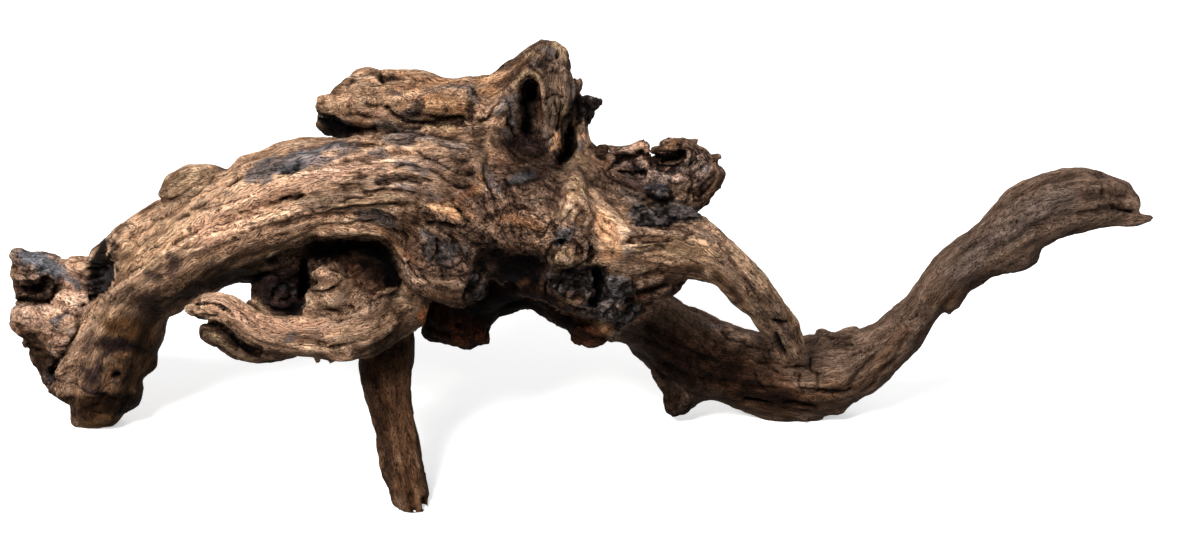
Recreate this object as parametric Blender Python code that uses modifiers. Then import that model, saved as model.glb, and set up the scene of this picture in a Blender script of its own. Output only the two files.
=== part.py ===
"""Branching driftwood root, one solid piece of wood standing on three feet.

Units are metres, +Z is up.  The length runs along X, the front faces -Y.
The origin is at the middle of the footprint, on the floor.

The piece is laid out from a front view that looks down at it by TILT.  A
station is (across, down, forward, radius): across and down are read in that
view in units of STEP, forward is the distance toward the viewer in
millimetres, and the radius is in units of STEP.  A limb is a tapered tube
through its stations, and all the limbs and lumps are grown into one solid.
"""
import math

import bpy
import bmesh
from mathutils import Matrix, Vector

# ---------------------------------------------------------------- dimensions
MM = 0.001
TILT = math.radians(22.0)        # the front view looks down by this angle
REACH = 1250.0                   # mm from the viewer to the middle of the piece
STEP = 0.5                       # mm per station unit at the middle plane
VIEW_MID = (600.0, 267.0)        # station units of the view's middle
LIFT = 97.0                      # mm from the floor up to the view's middle
FOOTPRINT_MID = (-13.5, -8.6)   # mm, middle of the footprint before centring

STATIONS_PER_SPAN = 4            # rounding of a limb between two stations
TUBE_SIDES = 5                   # bevel resolution of a limb
BALL_SEGMENTS = 20
GROW_VOXEL = 0.0026              # m, the grain at which limbs grow together
FINISH_VOXEL = 0.0024            # m, after the hollows are cut
SMOOTHING = 3
KEEP_RATIO = 0.105               # share of the fine faces kept in the solid
FLOOR_CUT = 0.060                # m, height of the block that levels the feet

# ---------------------------------------------------------------- stations
LIMBS = [
    # root crown, the heavy middle of the piece
    ("core", 1, [(440, 200, 5, 60), (500, 215, 6, 70), (560, 235, 6, 66), (605, 240, 3, 56)]),
    # rounded rear of the root crown
    ("back", 1, [(400, 190, -16, 44), (480, 180, -22, 50), (560, 205, -23, 52), (625, 235, -20, 42)]),
    # thick trunk sweeping left and down to the foot
    ("arm", 1, [(470, 195, 5, 60), (420, 190, 9, 55), (360, 188, 12, 51), (310, 190, 11, 49),
        (270, 203, 7, 48), (235, 223, 1, 46), (200, 246, -8, 44), (168, 268, -20, 43), (138, 293, -30, 39),
        (122, 333, -40, 38), (108, 366, -48, 38), (101, 390, -52, 33), (94, 408, -54, 20)]),
    # underside of the arm, above the hollow
    ("under", 1, [(180, 264, -24, 28), (220, 247, -20, 31), (260, 250, -20, 34), (300, 255, -22, 36),
        (350, 262, -24, 42), (400, 272, -18, 44)]),
    # rough shoulder on top of the arm, above the foot
    ("shoulder", 1, [(122, 245, -20, 13), (140, 236, -16, 18), (160, 222, -12, 18), (180, 212, -8, 18)]),
    # long swelling along the top of the arm
    ("ridge", 1, [(255, 175, 3, 20), (285, 164, 4, 20), (320, 163, 4, 21), (360, 163, 4, 23),
        (420, 165, 4, 30)]),
    # round knob on the arm
    ("knob", 1, [(168, 193, 0, 9), (184, 186, 0, 17), (203, 183, 0, 19), (222, 182, -2, 14)]),
    # flat slab of root lying over the arm, upper left
    ("slab", 0.85, [(323, 108, -2, 9), (340, 108, -4, 16), (358, 104, -4, 26), (380, 104, -4, 32),
        (410, 104, -3, 34.5), (450, 113, -3, 34), (490, 122, -1, 39)]),
    # broken end of the slab
    ("slabend", 1, [(328, 124, -12, 11), (350, 122, -10, 16), (380, 125, -6, 20)]),
    # neck rising from the slab to the peak
    ("neck", 0.9, [(470, 127, -5, 41), (500, 105, -3, 29.5), (520, 86, -3, 26), (539, 68, 0, 20.5),
        (548, 58, 0, 16)]),
    # torn flap that hangs from the peak
    ("flap", 0.75, [(551, 60, 3, 14), (559, 82, 7, 16.5), (559, 108, 10, 17), (557, 130, 10, 12),
        (556, 148, 9, 6), (557, 160, 8, 3)]),
    # wall behind the scooped basin under the peak
    ("basin", 1, [(470, 140, -10, 48), (520, 147, -14, 42), (565, 168, -10, 35), (597, 192, -5, 31)]),
    # short stalk beside the flap
    ("stalk", 1, [(586, 180, 8, 15), (584, 158, 5, 9), (582, 142, 3, 6.5), (580, 127, 2, 7.5)]),
    # charred knot on the stalk
    ("tipknot", 1, [(580, 109, 0, 9), (588, 104, 0, 10), (594, 101, 0, 7)]),
    # lower half of the charred knot
    ("tipspur", 1, [(584, 115, 0, 10), (588, 121, 0, 5)]),
    # small stub on the edge of the peak
    ("stub", 1, [(570, 96, 0, 6), (577, 87, 0, 4), (579, 82, 0, 2.5)]),
    # small curl at the foot of the stalk
    ("curl", 1, [(594, 160, 4, 7), (600, 152, 4, 5), (604, 151, 4, 3.5)]),
    # lumpy crown on the right of the root
    ("crown", 1, [(595, 190, 2, 32), (640, 190, 2, 32), (680, 190, -2, 27), (695, 185, -3, 17)]),
    ("bump1", 1, [(613, 161, 4, 10), (624, 159, 4, 11)]),
    ("bump2", 1, [(636, 155, 2, 11), (645, 154, 2, 10)]),
    # ring-shaped lump with an eye in it
    ("ring1", 1, [(662, 158, 0, 8), (669, 149, 0, 7), (682, 148, 0, 9)]),
    ("ring2", 1, [(682, 150, 0, 10), (698, 162, 0, 14), (709, 175, -2, 13)]),
    ("ring3", 1, [(709, 175, -2, 11), (700, 187, 0, 11), (696, 195, 2, 7)]),
    # tusk-like root curving down to the right
    ("tusk", 0.92, [(585, 238, 8, 46), (625, 240, 12, 44), (662, 242, 12, 37), (694, 248, 12, 30),
        (722, 265, 11, 22), (743, 284, 8, 20.5), (761, 302, 2, 19), (774, 318, -6, 18.5),
        (783, 332, -13, 17), (789, 346, -20, 13), (790, 352, -23, 10)]),
    # swirled burl, upper
    ("burl1", 1, [(576, 212, 26, 24), (580, 224, 26, 20)]),
    # swirled burl, lower
    ("burl2", 1, [(566, 256, 26, 23)]),
    # charred crust under the burls
    ("crust1", 1, [(575, 287, 15, 26), (600, 292, 17, 26), (622, 288, 14, 20)]),
    ("crust2", 1, [(612, 312, 6, 18), (625, 306, 4, 16)]),
    ("crust3", 1, [(583, 322, -8, 18), (596, 330, -8, 13)]),
    # front ledge left of the basin
    ("cheek", 1, [(432, 262, 20, 34), (455, 272, 23, 34), (478, 268, 20, 28)]),
    # lumps hanging under the ledge
    ("chin1", 1, [(446, 311, -14, 22), (442, 324, -14, 16)]),
    ("chin2", 1, [(462, 322, -14, 27), (466, 330, -14, 21)]),
    ("chin3", 1, [(475, 332, -14, 13)]),
    # wood behind the dark recess under the ledge
    ("sill", 1, [(470, 290, -14, 33), (505, 283, -18, 29), (535, 283, -18, 25), (560, 296, -14, 26)]),
    # bark wart under the tusk's root
    ("wart", 1, [(640, 290, 2, 24), (660, 288, 4, 14), (676, 280, 4, 8)]),
    # curled root in front of the hollow, upper prong
    ("jaw", 1, [(400, 308, 18, 27), (375, 325, 32, 26), (350, 337, 41, 24), (320, 338, 46, 21),
        (290, 334, 48, 20), (262, 330, 48, 18), (240, 317, 46, 15), (220, 308, 44, 12.5),
        (203, 307, 42, 11), (193, 309, 41, 6)]),
    # lower prong of the curled root
    ("lip", 1, [(305, 339, 38, 13), (270, 348, 38, 13.5), (245, 349, 38, 12.5), (224, 337, 38, 12),
        (206, 332, 38, 7)]),
    ("jawbump", 1, [(264, 318, 40, 9), (252, 304, 40, 6)]),
    # straight leg that reaches the floor in front
    ("leg", 1, [(388, 300, -2, 26), (387, 345, 4, 27.5), (386, 378, 7, 25.5), (391, 412, 12, 22),
        (398, 445, 17, 21), (403, 470, 21, 20.5), (408, 492, 25, 20.5), (412, 512, 28, 19.5),
        (414, 525, 30, 18)]),
    # long branch behind, first down to the floor and then up to the right
    ("branch", 1, [(570, 280, -16, 38), (605, 303, -26, 35), (645, 319, -38, 32), (676, 342, -50, 38),
        (702, 357, -56, 41), (732, 363, -58, 36), (760, 367, -60, 34), (785, 372, -60, 34),
        (812, 374, -60, 37), (840, 369, -58, 35), (862, 362, -56, 31), (882, 349, -53, 27),
        (902, 332, -50, 24), (920, 311, -47, 20.5), (940, 285, -44, 20), (960, 264, -41, 21.5),
        (982, 251, -38, 25), (1004, 237, -35, 29), (1022, 222, -32, 34), (1041, 210, -30, 35.5),
        (1062, 203, -28, 33), (1082, 200, -27, 32), (1102, 199, -26, 25.5), (1120, 196, -25, 16),
        (1130, 204, -24, 11)]),
    # strand under the branch, which rests on the floor
    ("shelf", 1, [(730, 387, -60, 14), (765, 401, -63, 17), (795, 408, -64, 15.5), (811, 416, -63, 8)]),
    ("shelf2", 1, [(805, 395, -58, 16), (830, 400, -56, 12), (836, 407, -56, 6)]),
    # bark scraps on the branch
    ("scrap", 1, [(824, 344, -50, 10), (840, 342, -50, 9), (855, 338, -50, 8)]),
    # nub under the branch
    ("nub", 1, [(682, 388, -54, 18), (677, 402, -54, 14), (675, 409, -54, 9)]),
    # splinter at the branch's end
    ("prong", 1, [(1100, 212, -24, 12), (1128, 218, -23, 7), (1149, 218, -22, 4.5)]),
    # swelling below the branch's rise
    ("bulge", 1, [(1016, 252, -33, 20), (1000, 256, -36, 17), (982, 264, -38, 14), (962, 285, -41, 9),
        (954, 303, -43, 6)]),
    # lobes of the left foot, outer side
    ("lobeA", 1, [(100, 292, -42, 32), (70, 288, -50, 27), (42, 278, -50, 25), (27, 275, -48, 18),
        (21, 283, -48, 10)]),
    ("lobeA2", 1, [(18, 257, -48, 8)]),
    ("lobeA3", 1, [(78, 275, -42, 17)]),
    ("lobeB", 1, [(90, 330, -42, 34), (52, 323, -44, 22), (28, 322, -43, 17), (19, 313, -42, 8)]),
    ("lobeC", 1, [(90, 345, -50, 40), (62, 345, -56, 32), (59, 362, -56, 22), (64, 384, -52, 14)]),
    # rounded toes of the left foot, which rest on the floor
    ("toe1", 1, [(82, 415, -56, 14)]),
    ("toe2", 1, [(100, 406, -56, 21), (94, 419, -57, 12)]),
    ("toe3", 1, [(145, 362, -46, 13)]),
    ("toe4", 1, [(129, 395, -50, 14)]),
    # rim beside the charred recess
    ("edge", 1, [(108, 258, -18, 13), (120, 260, -16, 14), (130, 243, -14, 18)]),
]

HOLLOWS = [
    # hollow under the arm's hood
    ("cave", 1, [(292, 280, 12, 20), (315, 270, 18, 27), (345, 266, 20, 31), (370, 270, 18, 31),
        (388, 285, 14, 24)]),
    ("cavelow", 1, [(300, 300, 25, 18), (340, 310, 30, 18)]),
    # hole in the peak, open below
    ("eye", 1, [(528, 86, 12, 7), (530, 96, 8, 9), (531, 110, 4, 9), (529, 126, 6, 9)]),
    # slot between the flap and the stalk
    ("cleft", 1, [(574, 104, 6, 2.5), (572, 122, 6, 5), (568, 146, 6, 6.5), (562, 163, 10, 5)]),
    # charred recess in the left foot
    ("char", 1, [(106, 250, -12, 11), (104, 274, -16, 14), (98, 298, -20, 10)]),
    # dark recess under the ledge
    ("undercut", 1, [(490, 305, 34, 26), (522, 292, 34, 30), (545, 290, 34, 20)]),
    # eye of the ring-shaped lump
    ("ringhole", 1, [(668, 160, 8, 10), (664, 168, 8, 8)]),
    ("ringpit", 1, [(634, 172, 14, 8), (642, 176, 14, 7)]),
    # split between the curled root's prongs
    ("split", 1, [(200, 322, 46, 3.2), (225, 326, 50, 4.5), (245, 340, 52, 5), (262, 352, 54, 4)]),
    # split in the tusk's tip
    ("tipsplit", 1, [(773, 338, -1, 3), (780, 352, -10, 3.5), (786, 366, -14, 4)]),
    # clear space under the branch's root
    ("belly", 1, [(625, 366, -10, 26), (668, 388, -14, 28), (715, 394, -20, 22)]),
    # gap over the strand
    ("shelfgap", 1, [(800, 404, -42, 5), (825, 408, -42, 6)]),
    # sunken crease in the slab
    ("slabpit", 1, [(420, 116, 14, 7), (440, 118, 14, 8), (460, 116, 14, 8)]),
]

INNER = [
    # inner lump that fills the right of the hollow
    ("lump", 1, [(394, 288, -6, 28), (370, 300, 8, 30), (345, 303, 20, 25), (323, 304, 20, 20)]),
    # nub on the inner lump
    ("nubin", 1, [(328, 272, 20, 12), (336, 284, 20, 12)]),
    ("lump2", 1, [(360, 262, 0, 16), (375, 275, 5, 20)]),
    # smooth knob inside the hollow
    ("knobin", 1, [(280, 292, -12, 28)]),
    # raised lip over the slab's crease
    ("slablip", 1, [(435, 104, 10, 9), (455, 103, 10, 11), (468, 108, 9, 8)]),
]


# ---------------------------------------------------------------- helpers
def view_frame():
    """Matrix from the front view's axes (across, up, toward the viewer), in
    millimetres, to the part's own axes, in metres."""
    c, s = math.cos(TILT), math.sin(TILT)
    turn = Matrix(((1, 0, 0, -FOOTPRINT_MID[0]),
                   (0, s, -c, -FOOTPRINT_MID[1]),
                   (0, c, s, LIFT),
                   (0, 0, 0, 1)))
    return Matrix.Scale(MM, 4) @ turn


def smooth_path(points):
    """Catmull-Rom points through the stations."""
    if len(points) == 1:
        return [Vector(points[0])]
    p = [Vector(q) for q in points]
    p = [2 * p[0] - p[1]] + p + [2 * p[-1] - p[-2]]
    out = []
    for i in range(1, len(p) - 2):
        last = i == len(p) - 3
        for j in range(STATIONS_PER_SPAN + (1 if last else 0)):
            t = j / STATIONS_PER_SPAN
            a, b, c, d = p[i - 1], p[i], p[i + 1], p[i + 2]
            out.append(0.5 * ((2 * b) + (c - a) * t
                              + (2 * a - 5 * b + 4 * c - d) * t * t
                              + (3 * b - a - 3 * c + d) * t ** 3))
    return out


def in_view(station):
    """(across, up, toward the viewer, radius) in millimetres."""
    across, down, forward, radius = station
    s = STEP * (1 - forward / REACH)
    return ((across - VIEW_MID[0]) * s, -(down - VIEW_MID[1]) * s, forward,
            max(radius, 1.0) * s)


def collection(name):
    c = bpy.data.collections.new(name)
    bpy.context.scene.collection.children.link(c)
    return c


def limb(name, flat, stations, frame):
    """World-space mesh of one limb: a bevelled curve with a ball at each end."""
    path = [in_view(q) for q in smooth_path(stations)]
    squash = frame @ Matrix.Diagonal((1, 1, flat, 1))
    meshes = []
    if len(path) > 1:
        curve = bpy.data.curves.new(name, "CURVE")
        curve.dimensions = "3D"
        curve.bevel_depth = 1.0
        curve.bevel_resolution = TUBE_SIDES
        curve.use_fill_caps = True
        spline = curve.splines.new("POLY")
        spline.points.add(len(path) - 1)
        for point, (x, y, z, r) in zip(spline.points, path):
            point.co = (x, y, z / flat, 1)
            point.radius = r
        tube = bpy.data.objects.new(name, curve)
        bpy.context.scene.collection.objects.link(tube)
        tube.matrix_world = squash
        bpy.context.view_layer.update()
        seen = tube.evaluated_get(bpy.context.evaluated_depsgraph_get())
        mesh = bpy.data.meshes.new_from_object(seen)
        mesh.transform(squash)
        meshes.append(mesh)
        bpy.data.objects.remove(tube, do_unlink=True)
    for x, y, z, r in (path[0], path[-1]):
        bm = bmesh.new()
        bmesh.ops.create_uvsphere(bm, u_segments=BALL_SEGMENTS, v_segments=BALL_SEGMENTS // 2,
                                  radius=r, matrix=Matrix.Translation((x, y, z / flat)))
        mesh = bpy.data.meshes.new(name)
        bm.to_mesh(mesh)
        bm.free()
        mesh.transform(squash)
        meshes.append(mesh)
    return meshes


def grown(name, table, into):
    """One object that holds every limb of a table."""
    frame = view_frame()
    bm = bmesh.new()
    for limb_name, flat, stations in table:
        for mesh in limb(limb_name, flat, stations, frame):
            bm.from_mesh(mesh)
            bpy.data.meshes.remove(mesh)
    bmesh.ops.remove_doubles(bm, verts=bm.verts, dist=1e-7)
    mesh = bpy.data.meshes.new(name)
    bm.to_mesh(mesh)
    bm.free()
    ob = bpy.data.objects.new(name, mesh)
    into.objects.link(ob)
    return ob


def remesh(ob, name, voxel):
    m = ob.modifiers.new(name, "REMESH")
    m.mode = "VOXEL"
    m.voxel_size = voxel
    m.adaptivity = 0.0
    m.use_smooth_shade = True
    return m


def boolean(ob, name, operation, other):
    m = ob.modifiers.new(name, "BOOLEAN")
    m.operation = operation
    m.object = other
    m.solver = "EXACT"
    return m


def wood(name, colour, roughness):
    mat = bpy.data.materials.new(name)
    mat.use_nodes = True
    bsdf = mat.node_tree.nodes["Principled BSDF"]
    bsdf.inputs["Base Color"].default_value = colour
    bsdf.inputs["Roughness"].default_value = roughness
    bsdf.inputs["Metallic"].default_value = 0.0
    mat.diffuse_color = colour
    return mat


# ---------------------------------------------------------------- the piece
def main():
    for ob in list(bpy.data.objects):
        bpy.data.objects.remove(ob, do_unlink=True)

    parts = collection("driftwood_piece")
    cutters = collection("cutters")

    root = grown("driftwood", LIMBS, parts)
    hollows = grown("hollows", HOLLOWS, cutters)
    inner = grown("inner_lumps", INNER, cutters)
    for ob in (hollows, inner):
        remesh(ob, "grow", GROW_VOXEL)
        ob.hide_render = True
        ob.display_type = "WIRE"

    bpy.ops.mesh.primitive_cube_add(size=1.0, location=(0, 0, -FLOOR_CUT / 2))
    floor = bpy.context.object
    floor.name = "floor_block"
    floor.scale = (0.9, 0.5, FLOOR_CUT)
    for c in list(floor.users_collection):
        c.objects.unlink(floor)
    cutters.objects.link(floor)
    floor.hide_render = True
    floor.display_type = "WIRE"

    remesh(root, "grow", GROW_VOXEL)
    boolean(root, "hollow", "DIFFERENCE", hollows)
    boolean(root, "inner", "UNION", inner)
    remesh(root, "finish", FINISH_VOXEL)
    soften = root.modifiers.new("soften", "SMOOTH")
    soften.factor = 0.5
    soften.iterations = SMOOTHING
    lighten = root.modifiers.new("lighten", "DECIMATE")
    lighten.decimate_type = "COLLAPSE"
    lighten.ratio = KEEP_RATIO
    boolean(root, "level_feet", "DIFFERENCE", floor)

    root.data.materials.clear()
    root.data.materials.append(wood("weathered_wood", (0.36, 0.22, 0.13, 1.0), 0.82))


main()
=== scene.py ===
"""Looks of the driftwood root: its weathered surface, colours, floor, light and camera.

The form is laid out in the same stations as the CAD, grown on a finer grain,
then given its grain, cracks, flakes and char, and thinned to a usable mesh.
"""
import math

import bpy
import numpy as np
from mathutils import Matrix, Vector


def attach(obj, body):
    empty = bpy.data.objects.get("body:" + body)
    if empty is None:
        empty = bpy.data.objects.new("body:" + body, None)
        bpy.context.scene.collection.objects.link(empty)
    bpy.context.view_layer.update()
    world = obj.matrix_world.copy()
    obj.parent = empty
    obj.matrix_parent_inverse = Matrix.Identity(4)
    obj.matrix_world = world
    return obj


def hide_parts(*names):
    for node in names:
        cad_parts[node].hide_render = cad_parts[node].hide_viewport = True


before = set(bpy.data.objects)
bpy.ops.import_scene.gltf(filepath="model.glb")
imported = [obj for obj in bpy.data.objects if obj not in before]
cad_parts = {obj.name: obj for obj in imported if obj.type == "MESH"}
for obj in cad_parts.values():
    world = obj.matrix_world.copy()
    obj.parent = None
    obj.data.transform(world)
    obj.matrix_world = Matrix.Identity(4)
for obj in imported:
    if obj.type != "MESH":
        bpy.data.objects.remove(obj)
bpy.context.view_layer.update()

GRAIN = 1.05                     # mm, spacing of the fine grid
FACES = 198000                   # triangles kept in the finished skin

# ---------------------------------------------------------------- the view the stations are read in
TILT = math.radians(22.0)        # the front view looks down by this angle
REACH = 1250.0                   # mm from the viewer to the middle of the piece
STEP = 0.5                       # mm per station unit at the middle plane
VIEW_MID = (600.0, 267.0)        # station units of the view's middle
LIFT = 97.0                      # mm from the floor up to the view's middle
FOOTPRINT_MID = (-13.5, -8.6)    # mm, as in the CAD
C, S = math.cos(TILT), math.sin(TILT)


def to_sight(px, py, w):
    s = STEP * (1.0 - np.asarray(w, float) / REACH)
    return (np.asarray(px, float) - VIEW_MID[0]) * s, -(np.asarray(py, float) - VIEW_MID[1]) * s


def to_px(P):
    f = 1.0 / (STEP * (1.0 - P[:, 2] / REACH))
    return P[:, 0] * f + VIEW_MID[0], -P[:, 1] * f + VIEW_MID[1]


def to_world(P):
    """mm in the sight frame to metres in the part's frame."""
    return np.stack([P[..., 0] - FOOTPRINT_MID[0], P[..., 1] * S - P[..., 2] * C - FOOTPRINT_MID[1],
                     LIFT + P[..., 1] * C + P[..., 2] * S], -1) * 0.001


# ---------------------------------------------------------------- numbers that look like nature
class Noise:
    """Smooth value noise from a small seeded lattice, about -1 to 1."""
    def __init__(self, seed):
        self.n = 48
        rng = np.random.default_rng(seed)
        self.v = rng.uniform(-1, 1, (self.n,) * 3).astype(np.float32)
        self.turn = np.linalg.qr(rng.normal(size=(3, 3)))[0].astype(np.float32)

    def __call__(self, P, size, off=0.0):
        n = self.n
        q = np.asarray(P, np.float32) @ self.turn / np.float32(size) + np.float32(off)
        i = np.floor(q)
        f = q - i
        f = f * f * (3 - 2 * f)
        i = i.astype(np.int64) % n
        j = (i + 1) % n
        x0, y0, z0 = i[..., 0] * (n * n), i[..., 1] * n, i[..., 2]
        x1, y1, z1 = j[..., 0] * (n * n), j[..., 1] * n, j[..., 2]
        fx, fy, fz = f[..., 0], f[..., 1], f[..., 2]
        v = self.v.ravel()
        a = v[x0 + y0 + z0] * (1 - fz) + v[x0 + y0 + z1] * fz
        b = v[x0 + y1 + z0] * (1 - fz) + v[x0 + y1 + z1] * fz
        c = v[x1 + y0 + z0] * (1 - fz) + v[x1 + y0 + z1] * fz
        d = v[x1 + y1 + z0] * (1 - fz) + v[x1 + y1 + z1] * fz
        a = a * (1 - fy) + b * fy
        c = c * (1 - fy) + d * fy
        return a * (1 - fx) + c * fx


def cells(P, size, seed):
    """Distance to the nearest and second nearest of scattered points, and the nearest's own number."""
    q = np.asarray(P, np.float32) / np.float32(size)
    i = np.floor(q).astype(np.int64)
    d1 = np.full(len(q), 9.0, np.float32); d2 = d1.copy(); who = np.zeros(len(q), np.float32)
    for dx in (-1, 0, 1):
        for dy in (-1, 0, 1):
            for dz in (-1, 0, 1):
                c = i + np.array([dx, dy, dz])
                h = (c[:, 0] * 73856093) ^ (c[:, 1] * 19349663) ^ (c[:, 2] * 83492791) ^ (seed * 2654435761)
                h &= 0xFFFFFFFF
                r = []
                for k in range(4):
                    h = (h * 1664525 + 1013904223) & 0xFFFFFFFF
                    r.append(((h >> 8) & 0xFFFF).astype(np.float32) / 65535.0)
                d = (c[:, 0] + r[0] - q[:, 0]) ** 2 + (c[:, 1] + r[1] - q[:, 1]) ** 2 + (c[:, 2] + r[2] - q[:, 2]) ** 2
                near = d < d1
                d2 = np.where(near, d1, np.minimum(d2, d))
                who = np.where(near, r[3], who)
                d1 = np.where(near, d, d1)
    return np.sqrt(d1), np.sqrt(d2), who


def step(a, b, x):
    t = np.clip((x - a) / (b - a), 0, 1)
    return t * t * (3 - 2 * t)


# ---------------------------------------------------------------- limbs as fields
def catmull(P, n):
    P = np.asarray(P, float)
    if len(P) == 1:
        return P
    A = np.vstack([2 * P[0] - P[1], P, 2 * P[-1] - P[-2]])
    out = []
    for i in range(1, len(A) - 2):
        m = n if i < len(A) - 3 else n + 1
        t = np.arange(m)[:, None] / n
        p0, p1, p2, p3 = A[i - 1], A[i], A[i + 1], A[i + 2]
        out.append(0.5 * ((2 * p1) + (-p0 + p2) * t + (2 * p0 - 5 * p1 + 4 * p2 - p3) * t * t
                          + (-p0 + 3 * p1 - 3 * p2 + p3) * t ** 3))
    return np.vstack(out)


def chain(pts, n=5):
    """across, up, forward, radius in mm along a smooth path."""
    P = catmull(pts, n)
    s = STEP * (1 - P[:, 2] / REACH)
    return np.stack([(P[:, 0] - VIEW_MID[0]) * s, -(P[:, 1] - VIEW_MID[1]) * s, P[:, 2],
                     np.maximum(P[:, 3], 0.6) * s], -1)


def soft_min(a, b, k):
    h = np.clip(k - np.abs(a - b), 0, None) / k
    return np.minimum(a, b) - h * h * k * 0.25


class Field:
    """Signed distance, mm, on a regular grid in the sight frame."""
    def __init__(self, lo, hi, h):
        self.lo, self.h = np.array(lo, float), float(h)
        self.n = np.ceil((np.array(hi) - self.lo) / h).astype(int) + 1
        self.ax = [(self.lo[i] + h * np.arange(self.n[i])).astype(np.float32) for i in range(3)]
        self.F = np.full(self.n, 40.0, np.float32)

    def window(self, lo, hi):
        a = np.clip(np.floor((lo - self.lo) / self.h).astype(int), 0, self.n)
        b = np.clip(np.ceil((hi - self.lo) / self.h).astype(int) + 1, 0, self.n)
        return tuple(slice(int(x), int(y)) for x, y in zip(a, b))

    def distance(self, Q, flat, margin):
        r = Q[:, 3]
        big = self.window((Q[:, :3] - r[:, None]).min(0) - margin, (Q[:, :3] + r[:, None]).max(0) + margin)
        D = np.full([s.stop - s.start for s in big], 40.0, np.float32)
        pairs = [(Q[i], Q[i + 1]) for i in range(len(Q) - 1)] or [(Q[0], Q[0] + np.array([0, 0, 1e-3, 0]))]
        for a, b in pairs:
            w = self.window(np.minimum(a[:3] - a[3], b[:3] - b[3]) - margin, np.maximum(a[:3] + a[3], b[:3] + b[3]) + margin)
            w = tuple(slice(max(s.start, o.start), min(s.stop, o.stop)) for s, o in zip(w, big))
            if any(s.stop <= s.start for s in w):
                continue
            x = self.ax[0][w[0]][:, None, None]; y = self.ax[1][w[1]][None, :, None]; z = self.ax[2][w[2]][None, None, :]
            dx, dy, dz = x - np.float32(a[0]), y - np.float32(a[1]), (z - np.float32(a[2])) / np.float32(flat)
            d = (b - a)[:3].copy(); d[2] /= flat
            L2 = float(d @ d) + 1e-9
            d = d.astype(np.float32)
            t = np.clip((dx * d[0] + dy * d[1] + dz * d[2]) / np.float32(L2), 0, 1)
            q = np.sqrt((dx - t * d[0]) ** 2 + (dy - t * d[1]) ** 2 + (dz - t * d[2]) ** 2)
            q -= np.float32(a[3]) + t * np.float32(b[3] - a[3])
            v = tuple(slice(s.start - o.start, s.stop - o.start) for s, o in zip(w, big))
            np.minimum(D[v], q, out=D[v])
        return big, D

    def add(self, Q, k, flat=1.0):
        w, D = self.distance(Q, flat, k + 3)
        self.F[w] = soft_min(self.F[w], D, np.float32(k))

    def cut(self, Q, k, flat=1.0):
        w, D = self.distance(Q, flat, k + 3)
        self.F[w] = -soft_min(-self.F[w], D, np.float32(k))

    def front(self):
        """Depth of the front surface over the view, mm; -999 where there is none."""
        inside = self.F < 0
        rev = inside[:, :, ::-1]
        k = rev.argmax(2)
        hit = rev.any(2)
        d = self.ax[2][::-1][k]
        return np.where(hit, d, -999.0)

    def roughen(self, size, amount, seed):
        """Lumps of about that size, added to the whole field."""
        rng = np.random.default_rng(seed)
        m = [int((self.n[i] - 1) * self.h / size) + 5 for i in range(3)]
        R = rng.uniform(-1, 1, m).astype(np.float32)
        Ws = []
        for i in range(3):
            q = np.arange(self.n[i]) * self.h / size + 1.0
            j = np.floor(q).astype(int); f = (q - j)[:, None]
            B = np.concatenate([(1 - f) ** 3, 3 * f ** 3 - 6 * f ** 2 + 4, -3 * f ** 3 + 3 * f ** 2 + 3 * f + 1, f ** 3], 1) / 6
            W = np.zeros((self.n[i], m[i]), np.float32)
            for c in range(4):
                W[np.arange(self.n[i]), np.clip(j - 1 + c, 0, m[i] - 1)] += B[:, c]
            Ws.append(W)
        A = np.tensordot(Ws[0], R, (1, 0))
        A = np.tensordot(A, Ws[1], (1, 1))          # x z y
        A = np.tensordot(A, Ws[2], (1, 1))          # x y z
        self.F += np.float32(amount * 2.2) * A

    def sample(self, P, A=None):
        """Trilinear sample of the field (or of another array on the same grid)."""
        A = self.F if A is None else A
        q = (P - self.lo) / self.h
        i = np.clip(np.floor(q).astype(int), 0, self.n - 2)
        f = np.clip(q - i, 0, 1)
        out = 0
        for dx in (0, 1):
            for dy in (0, 1):
                for dz in (0, 1):
                    w = (f[:, 0] if dx else 1 - f[:, 0]) * (f[:, 1] if dy else 1 - f[:, 1]) * (f[:, 2] if dz else 1 - f[:, 2])
                    out = out + w * A[i[:, 0] + dx, i[:, 1] + dy, i[:, 2] + dz]
        return out


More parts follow.
